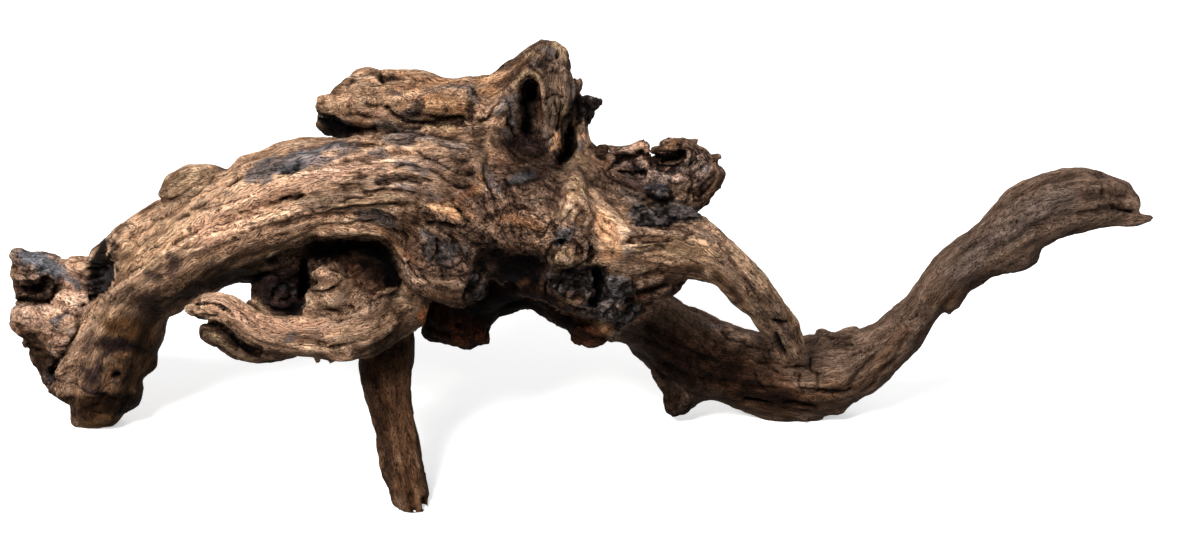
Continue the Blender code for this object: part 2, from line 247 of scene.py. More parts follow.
def surface(F, lo, h):
    """Closed quad skin of F = 0, one vertex in each cell that it crosses."""
    I = F < 0
    nx, ny, nz = F.shape
    some = np.zeros((nx - 1, ny - 1, nz - 1), bool); every = np.ones((nx - 1, ny - 1, nz - 1), bool)
    for i in (0, 1):
        for j in (0, 1):
            for k in (0, 1):
                c = I[i:nx - 1 + i, j:ny - 1 + j, k:nz - 1 + k]
                some |= c; every &= c
    act = some & ~every
    idx = np.argwhere(act)
    ids = np.full(act.shape, -1, np.int32); ids[act] = np.arange(len(idx), dtype=np.int32)
    ix, iy, iz = idx.T
    corner = {(i, j, k): F[ix + i, iy + j, iz + k].astype(np.float64) for i in (0, 1) for j in (0, 1) for k in (0, 1)}
    P = np.zeros((len(idx), 3)); n = np.zeros(len(idx))
    for axis in range(3):
        rest = [q for q in range(3) if q != axis]
        for a in (0, 1):
            for b in (0, 1):
                o0 = [0, 0, 0]; o1 = [0, 0, 0]
                o0[rest[0]] = o1[rest[0]] = a; o0[rest[1]] = o1[rest[1]] = b; o1[axis] = 1
                f0, f1 = corner[tuple(o0)], corner[tuple(o1)]
                m = (f0 < 0) != (f1 < 0)
                t = np.where(m, f0 / np.where(m, f0 - f1, 1), 0)
                P[m, rest[0]] += a; P[m, rest[1]] += b; P[:, axis] += t * m
                n += m
    P = (P / n[:, None] + idx) * h + lo
    quads = []
    for axis in range(3):
        r1, r2 = [(1, 2), (2, 0), (0, 1)][axis]
        s0 = [slice(None)] * 3; s1 = [slice(None)] * 3
        s0[axis] = slice(0, -1); s1[axis] = slice(1, None)
        A, B = I[tuple(s0)], I[tuple(s1)]
        e = np.argwhere(A != B)
        e = e[(e[:, r1] > 0) & (e[:, r2] > 0) & (e[:, r1] < F.shape[r1] - 1) & (e[:, r2] < F.shape[r2] - 1)]
        s = A[tuple(e.T)]

        def cell(d1, d2):
            q = e.copy(); q[:, r1] -= d1; q[:, r2] -= d2
            return ids[tuple(q.T)]
        q = np.stack([cell(1, 1), cell(0, 1), cell(0, 0), cell(1, 0)], 1)
        q[~s] = q[~s][:, ::-1]
        quads.append(q)
    return P, np.vstack(quads)


def biggest(P, Q):
    """Only the largest connected piece of a skin."""
    lab = np.arange(len(P))
    e = np.concatenate([Q[:, [0, 1]], Q[:, [1, 2]], Q[:, [2, 3]], Q[:, [3, 0]]])
    while True:
        m = np.minimum(lab[e[:, 0]], lab[e[:, 1]])
        new = lab.copy()
        np.minimum.at(new, e[:, 0], m); np.minimum.at(new, e[:, 1], m)
        new = new[new]
        if (new == lab).all():
            break
        lab = new
    top = np.bincount(lab).argmax()
    keep = lab == top
    remap = np.cumsum(keep) - 1
    return P[keep], remap[Q[keep[Q[:, 0]]]]


def edges_of(Q):
    e = np.concatenate([Q[:, [0, 1]], Q[:, [1, 2]], Q[:, [2, 3]], Q[:, [3, 0]]])
    return np.unique(np.sort(e, 1), axis=0)


class Skin:
    """Averages over a mesh's neighbours, and its normals."""
    def __init__(self, n, Q):
        self.n, self.Q = n, Q
        self.E = edges_of(Q)
        self.deg = np.bincount(self.E.ravel(), minlength=n).astype(float)

    def blur(self, v, times=1, keep=0.0):
        a, b = self.E[:, 0], self.E[:, 1]
        for _ in range(times):
            if v.ndim == 1:
                s = np.bincount(a, v[b], self.n) + np.bincount(b, v[a], self.n)
                m = s / self.deg
            else:
                m = np.stack([(np.bincount(a, v[b, i], self.n) + np.bincount(b, v[a, i], self.n)) / self.deg
                              for i in range(v.shape[1])], 1)
            v = keep * v + (1 - keep) * m
        return v

    def normals(self, P):
        Q = self.Q
        n = np.cross(P[Q[:, 2]] - P[Q[:, 0]], P[Q[:, 3]] - P[Q[:, 1]])
        N = np.stack([sum(np.bincount(Q[:, c], n[:, i], self.n) for c in range(4)) for i in range(3)], 1)
        return N / (np.linalg.norm(N, axis=1)[:, None] + 1e-12)


# ---------------------------------------------------------------- stations: (name, flatness, blend mm, [(across, down, forward mm, radius)])
LIMBS = [
    ("core", 1, 9, [(440, 200, 5, 60), (500, 215, 6, 70), (560, 235, 6, 66), (605, 240, 3, 56)]),
    ("back", 1, 14, [(400, 190, -16, 44), (480, 180, -22, 50), (560, 205, -23, 52), (625, 235, -20, 42)]),
    ("arm", 1, 10, [(470, 195, 5, 60), (420, 190, 9, 55), (360, 188, 12, 51), (310, 190, 11, 49),
        (270, 203, 7, 48), (235, 223, 1, 46), (200, 246, -8, 44), (168, 268, -20, 43), (138, 293, -30, 39),
        (122, 333, -40, 38), (108, 366, -48, 38), (101, 390, -52, 33), (94, 408, -54, 20)]),
    ("under", 1, 10, [(180, 264, -24, 28), (220, 247, -20, 31), (260, 250, -20, 34), (300, 255, -22, 36),
        (350, 262, -24, 42), (400, 272, -18, 44)]),
    ("shoulder", 1, 6, [(122, 245, -20, 13), (140, 236, -16, 18), (160, 222, -12, 18), (180, 212, -8, 18)]),
    ("ridge", 1, 8, [(255, 175, 3, 20), (285, 164, 4, 20), (320, 163, 4, 21), (360, 163, 4, 23),
        (420, 165, 4, 30)]),
    ("knob", 1, 5, [(168, 193, 0, 9), (184, 186, 0, 17), (203, 183, 0, 19), (222, 182, -2, 14)]),
    ("slab", 0.85, 6, [(323, 108, -2, 9), (340, 108, -4, 16), (358, 104, -4, 26), (380, 104, -4, 32),
        (410, 104, -3, 34.5), (450, 113, -3, 34), (490, 122, -1, 39)]),
    ("slabend", 1, 4, [(328, 124, -12, 11), (350, 122, -10, 16), (380, 125, -6, 20)]),
    ("neck", 0.9, 8, [(470, 127, -5, 41), (500, 105, -3, 29.5), (520, 86, -3, 26), (539, 68, 0, 20.5),
        (548, 58, 0, 16)]),
    ("flap", 0.75, 6, [(551, 60, 3, 14), (559, 82, 7, 16.5), (559, 108, 10, 17), (557, 130, 10, 12),
        (556, 148, 9, 6), (557, 160, 8, 3)]),
    ("basin", 1, 12, [(470, 140, -10, 48), (520, 147, -14, 42), (565, 168, -10, 35), (597, 192, -5, 31)]),
    ("stalk", 1, 6, [(586, 180, 8, 15), (584, 158, 5, 9), (582, 142, 3, 6.5), (580, 127, 2, 7.5)]),
    ("tipknot", 1, 2, [(580, 109, 0, 9), (588, 104, 0, 10), (594, 101, 0, 7)]),
    ("tipspur", 1, 2, [(584, 115, 0, 10), (588, 121, 0, 5)]),
    ("stub", 1, 3, [(570, 96, 0, 6), (577, 87, 0, 4), (579, 82, 0, 2.5)]),
    ("curl", 1, 3, [(594, 160, 4, 7), (600, 152, 4, 5), (604, 151, 4, 3.5)]),
    ("crown", 1, 6, [(595, 190, 2, 32), (640, 190, 2, 32), (680, 190, -2, 27), (695, 185, -3, 17)]),
    ("bump1", 1, 4, [(613, 161, 4, 10), (624, 159, 4, 11)]),
    ("bump2", 1, 4, [(636, 155, 2, 11), (645, 154, 2, 10)]),
    ("ring1", 1, 3, [(662, 158, 0, 8), (669, 149, 0, 7), (682, 148, 0, 9)]),
    ("ring2", 1, 4, [(682, 150, 0, 10), (698, 162, 0, 14), (709, 175, -2, 13)]),
    ("ring3", 1, 4, [(709, 175, -2, 11), (700, 187, 0, 11), (696, 195, 2, 7)]),
    ("tusk", 0.92, 9, [(585, 238, 8, 46), (625, 240, 12, 44), (662, 242, 12, 37), (694, 248, 12, 30),
        (722, 265, 11, 22), (743, 284, 8, 20.5), (761, 302, 2, 19), (774, 318, -6, 18.5), (783, 332, -13, 17),
        (789, 346, -20, 13), (790, 352, -23, 10)]),
    ("burl1", 1, 6, [(576, 212, 26, 24), (580, 224, 26, 20)]),
    ("burl2", 1, 6, [(566, 256, 26, 23)]),
    ("crust1", 1, 5, [(575, 287, 15, 26), (600, 292, 17, 26), (622, 288, 14, 20)]),
    ("crust2", 1, 5, [(612, 312, 6, 18), (625, 306, 4, 16)]),
    ("crust3", 1, 5, [(583, 322, -8, 18), (596, 330, -8, 13)]),
    ("cheek", 1, 7, [(432, 262, 20, 34), (455, 272, 23, 34), (478, 268, 20, 28)]),
    ("chin1", 1, 6, [(446, 311, -14, 22), (442, 324, -14, 16)]),
    ("chin2", 1, 6, [(462, 322, -14, 27), (466, 330, -14, 21)]),
    ("chin3", 1, 5, [(475, 332, -14, 13)]),
    ("sill", 1, 8, [(470, 290, -14, 33), (505, 283, -18, 29), (535, 283, -18, 25), (560, 296, -14, 26)]),
    ("wart", 1, 4, [(640, 290, 2, 24), (660, 288, 4, 14), (676, 280, 4, 8)]),
    ("jaw", 1, 7, [(400, 308, 18, 27), (375, 325, 32, 26), (350, 337, 41, 24), (320, 338, 46, 21),
        (290, 334, 48, 20), (262, 330, 48, 18), (240, 317, 46, 15), (220, 308, 44, 12.5), (203, 307, 42, 11),
        (193, 309, 41, 6)]),
    ("lip", 1, 4, [(305, 339, 38, 13), (270, 348, 38, 13.5), (245, 349, 38, 12.5), (224, 337, 38, 12),
        (206, 332, 38, 7)]),
    ("jawbump", 1, 3, [(264, 318, 40, 9), (252, 304, 40, 6)]),
    ("leg", 1, 8, [(388, 300, -2, 26), (387, 345, 4, 27.5), (386, 378, 7, 25.5), (391, 412, 12, 22),
        (398, 445, 17, 21), (403, 470, 21, 20.5), (408, 492, 25, 20.5), (412, 512, 28, 19.5), (414, 525, 30, 18)]),
    ("branch", 1, 9, [(570, 280, -16, 38), (605, 303, -26, 35), (645, 319, -38, 32), (676, 342, -50, 38),
        (702, 357, -56, 41), (732, 363, -58, 36), (760, 367, -60, 34), (785, 372, -60, 34),
        (812, 374, -60, 37), (840, 369, -58, 35), (862, 362, -56, 31), (882, 349, -53, 27),
        (902, 332, -50, 24), (920, 311, -47, 20.5), (940, 285, -44, 20), (960, 264, -41, 21.5),
        (982, 251, -38, 25), (1004, 237, -35, 29), (1022, 222, -32, 34), (1041, 210, -30, 35.5),
        (1062, 203, -28, 33), (1082, 200, -27, 32), (1102, 199, -26, 25.5), (1120, 196, -25, 16),
        (1130, 204, -24, 11)]),
    ("shelf", 1, 5, [(730, 387, -60, 14), (765, 401, -63, 17), (795, 408, -64, 15.5), (811, 416, -63, 8)]),
    ("shelf2", 1, 5, [(805, 395, -58, 16), (830, 400, -56, 12), (836, 407, -56, 6)]),
    ("scrap", 1, 3, [(824, 344, -50, 10), (840, 342, -50, 9), (855, 338, -50, 8)]),
    ("nub", 1, 5, [(682, 388, -54, 18), (677, 402, -54, 14), (675, 409, -54, 9)]),
    ("prong", 1, 3, [(1100, 212, -24, 12), (1128, 218, -23, 7), (1149, 218, -22, 4.5)]),
    ("bulge", 1, 6, [(1016, 252, -33, 20), (1000, 256, -36, 17), (982, 264, -38, 14), (962, 285, -41, 9),
        (954, 303, -43, 6)]),
    ("lobeA", 1, 7, [(100, 292, -42, 32), (70, 288, -50, 27), (42, 278, -50, 25), (27, 275, -48, 18),
        (21, 283, -48, 10)]),
    ("lobeA2", 1, 3, [(18, 257, -48, 8)]),
    ("lobeA3", 1, 5, [(78, 275, -42, 17)]),
    ("lobeB", 1, 6, [(90, 330, -42, 34), (52, 323, -44, 22), (28, 322, -43, 17), (19, 313, -42, 8)]),
    ("lobeC", 1, 7, [(90, 345, -50, 40), (62, 345, -56, 32), (59, 362, -56, 22), (64, 384, -52, 14)]),
    ("toe1", 1, 4, [(82, 415, -56, 14)]),
    ("toe2", 1, 4, [(100, 406, -56, 21), (94, 419, -57, 12)]),
    ("toe3", 1, 4, [(145, 362, -46, 13)]),
    ("toe4", 1, 4, [(129, 395, -50, 14)]),
    ("edge", 1, 4, [(108, 258, -18, 13), (120, 260, -16, 14), (130, 243, -14, 18)]),
]
HOLLOWS = [
    ("cave", 1, 4, [(292, 280, 12, 20), (315, 270, 18, 27), (345, 266, 20, 31), (370, 270, 18, 31),
        (388, 285, 14, 24)]),
    ("cavelow", 1, 4, [(300, 300, 25, 18), (340, 310, 30, 18)]),
    ("eye", 1, 3, [(528, 86, 12, 7), (530, 96, 8, 9), (531, 110, 4, 9), (529, 126, 6, 9)]),
    ("cleft", 1, 3, [(574, 104, 6, 2.5), (572, 122, 6, 5), (568, 146, 6, 6.5), (562, 163, 10, 5)]),
    ("char", 1, 3, [(106, 250, -12, 11), (104, 274, -16, 14), (98, 298, -20, 10)]),
    ("undercut", 1, 6, [(490, 305, 34, 26), (522, 292, 34, 30), (545, 290, 34, 20)]),
    ("ringhole", 1, 3, [(668, 160, 8, 10), (664, 168, 8, 8)]),
    ("ringpit", 1, 3, [(634, 172, 14, 8), (642, 176, 14, 7)]),
    ("split", 1, 2, [(200, 322, 46, 3.2), (225, 326, 50, 4.5), (245, 340, 52, 5), (262, 352, 54, 4)]),
    ("tipsplit", 1, 2, [(773, 338, -1, 3), (780, 352, -10, 3.5), (786, 366, -14, 4)]),
    ("belly", 1, 8, [(625, 366, -10, 26), (668, 388, -14, 28), (715, 394, -20, 22)]),
    ("shelfgap", 1, 3, [(800, 404, -42, 5), (825, 408, -42, 6)]),
    ("slabpit", 1, 3, [(420, 116, 14, 7), (440, 118, 14, 8), (460, 116, 14, 8)]),
]
INNER = [
    ("lump", 1, 5, [(394, 288, -6, 28), (370, 300, 8, 30), (345, 303, 20, 25), (323, 304, 20, 20)]),
    ("nubin", 1, 3, [(328, 272, 20, 12), (336, 284, 20, 12)]),
    ("lump2", 1, 5, [(360, 262, 0, 16), (375, 275, 5, 20)]),
    ("knobin", 1, 5, [(280, 292, -12, 28)]),
    ("slablip", 1, 3, [(435, 104, 10, 9), (455, 103, 10, 11), (468, 108, 9, 8)]),
]

# ---------------------------------------------------------------- beads and furrows on the front, (across, down, radius)
SCULPT = [
    # arm: hood ribbon over the hollow, its long ridges and small slots
    ("+", 2.2, 2, [(322, 233, 5), (345, 229, 6), (372, 230, 6), (390, 241, 6), (403, 257, 6), (414, 273, 6), (426, 296, 6)]),
    ("-", 1.0, 1.5, [(330, 217, 2), (360, 215, 2), (385, 221, 2), (402, 234, 2), (415, 251, 2), (428, 274, 2)]),
    ("+", 1.8, 2, [(165, 262, 4), (200, 247, 5), (240, 231, 5), (280, 217, 5), (320, 207, 5), (360, 203, 4), (395, 201, 3)]),
    ("-", 0.9, 1, [(175, 243, 1.5), (190, 235, 1.6), (200, 229, 1.2)]),
    ("-", 2.0, 1, [(190, 229, 1.6)]),
    ("-", 1.4, 1, [(284, 200, 1.3), (293, 197, 1.7), (302, 196, 1.2)]),
    ("+", 1.5, 3, [(215, 215, 5), (250, 195, 6), (290, 182, 6), (330, 176, 6), (380, 176, 5), (430, 180, 4)]),
    ("-", 0.5, 3, [(222, 225, 3), (262, 207, 3), (300, 197, 3), (345, 192, 3), (395, 190, 3)]),
    # slab: long lip, sunken crease under its lump, dark broken end
    ("+", 1.6, 3, [(318, 100, 4), (328, 100, 6), (342, 99, 8), (356, 97, 8), (366, 104, 6)]),
    ("+", 1.6, 2, [(392, 101, 5), (410, 95, 6), (430, 92, 6), (455, 91, 6), (470, 94, 5)]),
    ("-", 1.0, 1.5, [(352, 110, 2), (366, 117, 2.5), (378, 118, 2)]),
    ("-", 0.4, 1.5, [(362, 92, 2.5), (380, 92, 2.5), (398, 86, 2)]),
    ("+", 2.0, 2, [(335, 93, 4), (350, 81, 5), (364, 74, 5), (380, 73, 4)]),
    ("-", 1.5, 1, [(365, 80, 1.5), (380, 80, 1.5), (396, 79, 1.5), (410, 82, 1.5)]),
    ("+", 1.8, 1.5, [(384, 76, 4), (397, 72, 4), (412, 77, 4)]),
    ("-", 1.3, 1, [(400, 86, 1.2), (420, 84, 1.2), (445, 85, 1.2), (470, 86, 1.2)]),
    ("+", 2.5, 2, [(408, 107, 8), (430, 105, 11), (453, 104, 11), (470, 106, 7)]),
    ("-", 1.6, 1, [(386, 108, 1.0), (396, 115, 1.2), (408, 121, 1.3), (425, 124, 1.2), (445, 123, 1.4), (458, 124, 1.4), (467, 121, 1.2)]),
    ("+", 2.0, 2, [(398, 129, 4), (425, 131, 5), (450, 130, 5), (468, 130, 4)]),
    ("-", 2.2, 1.5, [(374, 137, 1.6), (392, 139, 2), (415, 140, 2), (440, 139, 2), (470, 142, 2)]),
    ("-", 2.0, 1.5, [(322, 118, 2), (331, 124, 3), (342, 127, 3)]),
    ("-", 4.0, 1.5, [(350, 128, 3), (362, 131, 3), (372, 132, 2)]),
    ("+", 2.5, 1.5, [(462, 92, 5), (472, 97, 5), (475, 104, 4)]),
    ("-", 1.6, 1, [(458, 98, 1.2), (466, 102, 1.2), (468, 110, 1.2)]),
    ("+", 2.0, 1.5, [(481, 108, 4), (486, 113, 4)]),
    ("-", 1.4, 1, [(474, 119, 1.1), (484, 122, 1.1), (492, 117, 1.1)]),
    # wall left of the basin and the grey plate beside the hole
    ("+", 1.2, 2, [(505, 84, 6), (500, 96, 6), (494, 110, 6)]),
    ("+", 1.0, 3, [(492, 122, 6), (488, 135, 7), (484, 148, 7), (478, 160, 7), (470, 178, 7)]),
    ("-", 0.8, 1, [(496, 130, 1.0), (492, 145, 1.0), (487, 160, 1.0)]),
    ("+", 1.6, 1.5, [(500, 107, 6), (509, 106, 8), (515, 112, 7)]),
    ("+", 0.8, 1, [(505, 118, 7), (513, 118, 6)]),
    ("-", 1.4, 1, [(496, 118, 1.1), (503, 126, 1.2), (513, 129, 1.1)]),
    ("-", 1.5, 1, [(505, 97, 1.2), (511, 108, 1.2), (512, 120, 1.2)]),
    ("-", 6.0, 5, [(522, 150, 13), (530, 166, 12)]),
    # peak: rim over the hole, pits and cracks of the cap, ribs and splinters of the flap
    ("-", 10.0, 2, [(531, 86, 7), (531, 96, 7)]),
    ("+", 2.2, 2, [(514, 84, 4), (522, 74, 4), (533, 70, 5), (543, 77, 5), (545, 92, 4), (546, 112, 4)]),
    ("-", 1.4, 1, [(520, 66, 1.2), (533, 60, 1.2), (547, 66, 1.2)]),
    ("-", 2.5, 1, [(548, 58, 1.5)]), ("-", 2.5, 1, [(556, 58, 1.3)]),
    ("-", 1.3, 1, [(535, 50, 1), (545, 54, 1), (553, 50, 1)]),
    ("-", 1.3, 1, [(561, 52, 1), (565, 62, 1), (571, 72, 1)]),
    ("-", 1.5, 1, [(549, 78, 1), (549, 95, 1), (547, 115, 1), (546, 132, 1)]),
    ("-", 1.5, 1, [(555, 70, 1), (556, 92, 1), (553, 115, 1), (551, 135, 1)]),
    ("-", 1.5, 1, [(563, 72, 1), (565, 95, 1), (562, 118, 1), (558, 135, 1)]),
    ("+", 1.4, 1, [(568, 72, 2.5), (571, 88, 2.5), (569, 106, 2.5)]),
    ("+", 2.0, 1, [(552, 136, 2.5), (554, 146, 2), (556, 153, 1.2)]),
    ("+", 2.0, 1, [(558, 134, 2), (562, 144, 1.5), (563, 150, 1)]),
    ("-", 3.0, 2, [(567, 118, 2), (568, 135, 3), (566, 152, 4), (562, 165, 3)]),
    ("+", 2.0, 1, [(574, 82, 3), (575, 92, 3), (573, 102, 3)]),
    # twig
    ("+", 2.0, 1, [(590, 97, 3), (597, 100, 3)]),
    ("-", 2.5, 1, [(586, 104, 1.5), (590, 112, 1.5), (588, 120, 1.5)]),
    ("-", 1.3, 1, [(580, 130, 1), (582, 145, 1), (584, 160, 1), (583, 175, 1)]),
    ("-", 1.3, 1, [(575, 140, 1), (577, 155, 1), (578, 170, 1)]),
    ("-", 1.3, 1, [(588, 140, 1), (590, 155, 1), (592, 170, 1)]),
    # torn bundles of fibre left of the basin, and the crevice between
    ("+", 3.0, 2, [(420, 205, 6), (435, 210, 7), (450, 214, 8), (460, 220, 6)]),
    ("+", 2.0, 2, [(440, 190, 5), (455, 195, 6), (470, 203, 6), (480, 212, 4)]),
    ("-", 1.2, 1, [(440, 226, 1.1), (452, 229, 1.3), (463, 227, 1.3), (470, 219, 1.1)]),
    ("-", 1.2, 1, [(415, 198, 1.2), (432, 202, 1.2), (448, 206, 1.2), (462, 212, 1.2)]),
    ("-", 1.2, 1, [(412, 206, 1.2), (430, 210, 1.2), (446, 216, 1.2)]),
    ("-", 0.9, 1, [(432, 193, 1.1), (450, 197, 1.1), (466, 204, 1.1), (478, 214, 1.1)]),
    ("-", 1.2, 1, [(482, 168, 1.0), (485, 176, 1.1), (490, 188, 1.2), (497, 202, 1.1)]),
    # basin floor: loose flake and crumbled step
    ("+", 2.0, 1, [(507, 181, 3), (515, 176, 5), (528, 174, 6), (537, 171, 4)]),
    ("-", 1.4, 1, [(508, 186, 1.1), (525, 184, 1.4), (539, 178, 1.1)]),
    ("+", 1.0, 2, [(500, 222, 5), (512, 216, 6), (525, 220, 7), (538, 228, 6)]),
    ("-", 0.8, 1, [(498, 236, 1.2), (515, 238, 1.4), (530, 240, 1.4), (543, 238, 1.2)]),
    ("-", 0.8, 1, [(505, 214, 1.0), (517, 208, 1.2), (530, 213, 1.0), (541, 220, 1.0)]),
    ("-", 9.0, 8, [(497, 264, 12), (515, 270, 15), (535, 264, 11)]),
    ("-", 5.0, 3, [(490, 290, 6), (510, 290, 8), (530, 284, 8)]),
    # plates on the cheek
    ("-", 1.3, 1, [(425, 232, 1), (436, 240, 1.2), (440, 252, 1.2), (433, 262, 1)]),
    ("-", 1.3, 1, [(440, 252, 1.2), (452, 256, 1.2), (462, 250, 1)]),
    ("-", 1.3, 1, [(450, 232, 1), (455, 244, 1), (452, 256, 1)]),
    ("+", 1.6, 1.5, [(446, 236, 4)]), ("+", 1.4, 1.5, [(432, 246, 4)]), ("+", 1.8, 1.5, [(458, 262, 4)]), ("+", 1.5, 1.5, [(445, 263, 4)]),
    # ledge over the dark recess
    ("-", 2.2, 1.5, [(408, 262, 2), (420, 272, 3), (440, 279, 3), (460, 279, 3), (474, 270, 2.5)]),
    ("+", 2.8, 2, [(402, 268, 4), (413, 283, 5), (430, 292, 6), (452, 298, 6), (472, 294, 6), (483, 279, 5)]),
    ("-", 1.6, 1, [(415, 293, 1.5), (435, 302, 2), (460, 305, 2)]),
    ("-", 5.0, 1.5, [(478, 262, 3), (486, 272, 4), (492, 284, 4)]),
    ("-", 3.0, 1.5, [(470, 300, 2), (481, 300, 3), (489, 290, 3)]),
    # column of burls
    ("+", 4.5, 4, [(577, 172, 8), (573, 188, 9), (575, 205, 12), (574, 222, 13), (568, 240, 14), (566, 258, 14)]),
    ("-", 1.2, 1.5, [(557, 188, 1.2), (552, 203, 1.5), (549, 215, 1.5)]),
    ("-", 1.6, 1.2, [(547, 228, 1.3), (545, 240, 1.5), (544, 252, 1.3)]),
    ("-", 3.0, 1.5, [(546, 262, 2), (549, 273, 2)]),
    ("-", 1.8, 1.5, [(588, 190, 2), (597, 208, 2), (594, 225, 2)]),
    ("+", 3.0, 1.5, [(573, 190, 7)]), ("-", 3.0, 1, [(574, 189, 1.5)]),
    ("-", 1.6, 1, [(563, 196, 1.2), (565, 186, 1.2), (573, 181, 1.2), (582, 186, 1.2), (584, 195, 1.2)]),
    ("+", 1.8, 1.5, [(566, 220, 4), (568, 210, 4), (576, 203, 4), (585, 204, 4), (590, 212, 3)]),
    ("-", 0.9, 1, [(583, 211, 1.1), (584, 216, 1.1)]),
    ("-", 1.0, 1, [(571, 219, 1.1), (572, 211, 1.1), (578, 205, 1.1)]),
    ("+", 1.8, 1, [(574, 222, 2.5), (577, 213, 2.5)]),
    ("+", 2.0, 1, [(585, 230, 4)]), ("+", 2.0, 1, [(577, 233, 4)]),
    ("-", 1.6, 1, [(551, 260, 1.2), (551, 250, 1.2), (558, 243, 1.3), (569, 241, 1.3), (579, 247, 1.3), (582, 258, 1.2)]),
    ("+", 1.3, 1.5, [(557, 262, 3), (558, 253, 3), (565, 249, 3), (573, 252, 3)]),
    ("-", 0.7, 1, [(562, 258, 1.0), (568, 255, 1.0)]),
    ("+", 2.2, 1, [(548, 262, 3), (547, 250, 3), (553, 239, 3)]),
    ("+", 2.2, 1, [(585, 264, 3), (587, 250, 3), (580, 239, 3)]),
    ("-", 2.2, 1, [(590, 262, 1.5), (591, 250, 1.5), (585, 236, 1.5)]),
    ("+", 3.2, 1, [(557, 238, 3.5)]), ("+", 3.5, 1, [(565, 233, 4)]), ("+", 3.0, 1, [(572, 238, 3.5)]),
    ("-", 3.0, 1, [(561, 242, 1.5), (568, 243, 1.5)]),
    ("-", 0.9, 1, [(600, 205, 0.8), (604, 220, 0.8), (603, 238, 0.8)]),
    ("-", 0.9, 1, [(612, 222, 0.8), (616, 240, 0.8), (613, 258, 0.8)]),
    # folds from the column to the crown
    ("+", 2.2, 1.5, [(604, 170, 4), (617, 181, 5), (630, 192, 4)]),
    ("-", 1.8, 1, [(596, 168, 1.5), (606, 180, 1.5), (618, 191, 1.5), (628, 203, 1.5)]),
    ("-", 1.6, 1, [(598, 184, 1.2), (610, 195, 1.2), (622, 205, 1.2), (627, 218, 1.2)]),
    # crown: two curled knobs, the gap, and the knot with its hollow
    ("+", 3.0, 1.5, [(610, 163, 5), (614, 154, 5), (624, 152, 5)]),
    ("+", 4.0, 1.5, [(630, 153, 5), (641, 148, 5), (649, 151, 4)]),
    ("-", 3.0, 1, [(618, 163, 2), (626, 158, 2), (634, 160, 2)]),
    ("-", 3.0, 1, [(637, 156, 1.6), (643, 154, 1.6), (647, 160, 1.6)]),
    ("+", 3.0, 1.5, [(628, 166, 5), (638, 166, 5), (646, 165, 4)]),
    ("-", 3.0, 1, [(618, 172, 2), (630, 175, 2), (643, 173, 2)]),
    ("-", 9.0, 1.5, [(652, 148, 2), (652, 158, 3), (653, 168, 3)]),
    ("+", 3.0, 1.5, [(664, 145, 3), (672, 142, 4), (683, 144, 4), (690, 150, 4)]),
    ("+", 1.6, 1.5, [(664, 174, 3), (672, 173, 3), (683, 167, 3), (690, 160, 4)]),
    ("-", 9.0, 1.5, [(654, 156, 4), (662, 158, 7), (672, 158, 7.5), (683, 155, 5)]),
    ("-", 1.6, 1, [(660, 149, 1.2), (668, 146, 1.2), (679, 147, 1.2)]),
    ("-", 2.8, 1, [(692, 153, 1.8), (690, 166, 1.8), (692, 178, 1.8), (688, 192, 1.8)]),
    ("+", 2.6, 1.5, [(699, 158, 5), (703, 170, 6), (700, 183, 5)]),
    ("-", 2.8, 1, [(707, 162, 1.8), (711, 172, 1.8), (707, 183, 1.8), (700, 193, 1.8)]),
    ("+", 3.0, 1.5, [(714, 168, 4), (716, 176, 4), (711, 186, 4)]),
    ("-", 1.8, 1, [(672, 177, 1.3), (682, 179, 1.3), (694, 176, 1.3)]),
    ("-", 1.8, 1, [(679, 169, 1.3), (684, 179, 1.3), (680, 190, 1.3)]),
    ("-", 2.2, 1, [(668, 183, 1.6), (678, 188, 1.6), (688, 192, 1.6), (697, 198, 1.6)]),
    ("-", 14.0, 1, [(608, 150, 2.6), (610, 155, 2)]),
    # crusts under the crown
    ("+", 3.6, 1, [(634, 208, 7), (650, 212, 9), (668, 213, 10), (685, 216, 9), (699, 220, 5)]),
    ("+", 6.0, 1, [(648, 190, 6), (656, 192, 7), (664, 194, 6)]),
    ("-", 3.0, 1, [(645, 201, 2), (656, 203, 2), (668, 203, 2)]),
    ("-", 2.0, 1, [(630, 222, 2), (650, 226, 2), (672, 227, 2), (692, 229, 2), (703, 227, 2)]),
    ("-", 1.6, 1, [(638, 210, 1.2), (652, 207, 1.2), (668, 208, 1.2), (684, 211, 1.2)]),
    ("-", 1.6, 1, [(642, 218, 1.2), (660, 216, 1.2), (678, 219, 1.2), (694, 221, 1.2)]),
    # charred folds under the column
    ("+", 3.6, 3, [(560, 284, 8), (572, 287, 11), (586, 285, 10)]),
    ("-", 2.6, 1, [(551, 281, 1.5), (559, 275, 1.8), (570, 273, 1.6), (582, 276, 1.6)]),
    ("-", 2.4, 1, [(556, 291, 1.4), (561, 284, 1.6), (571, 281, 1.8), (583, 283, 1.8), (590, 289, 1.4)]),
    ("-", 2.0, 1, [(564, 298, 1.3), (566, 291, 1.4), (574, 287, 1.5), (582, 291, 1.4), (584, 298, 1.2)]),
    ("-", 1.5, 1, [(572, 299, 1.2), (574, 294, 1.3), (579, 297, 1.2)]),
    ("+", 1.6, 1, [(569, 303, 3), (581, 304, 3)]),
    ("-", 2.5, 1.2, [(560, 303, 1.5), (571, 308, 1.6), (584, 310, 1.6)]),
    ("-", 7.0, 1.5, [(598, 275, 1.8), (600, 284, 2.6), (599, 294, 3.2), (594, 303, 2.6)]),
    ("+", 4.6, 2, [(610, 286, 6), (618, 284, 8), (626, 285, 7)]),
    ("-", 2.2, 1, [(604, 287, 1.3), (610, 280, 1.5), (620, 279, 1.4), (629, 283, 1.3)]),
    ("-", 2.0, 1, [(609, 294, 1.3), (613, 288, 1.5), (621, 286, 1.4), (627, 291, 1.2)]),
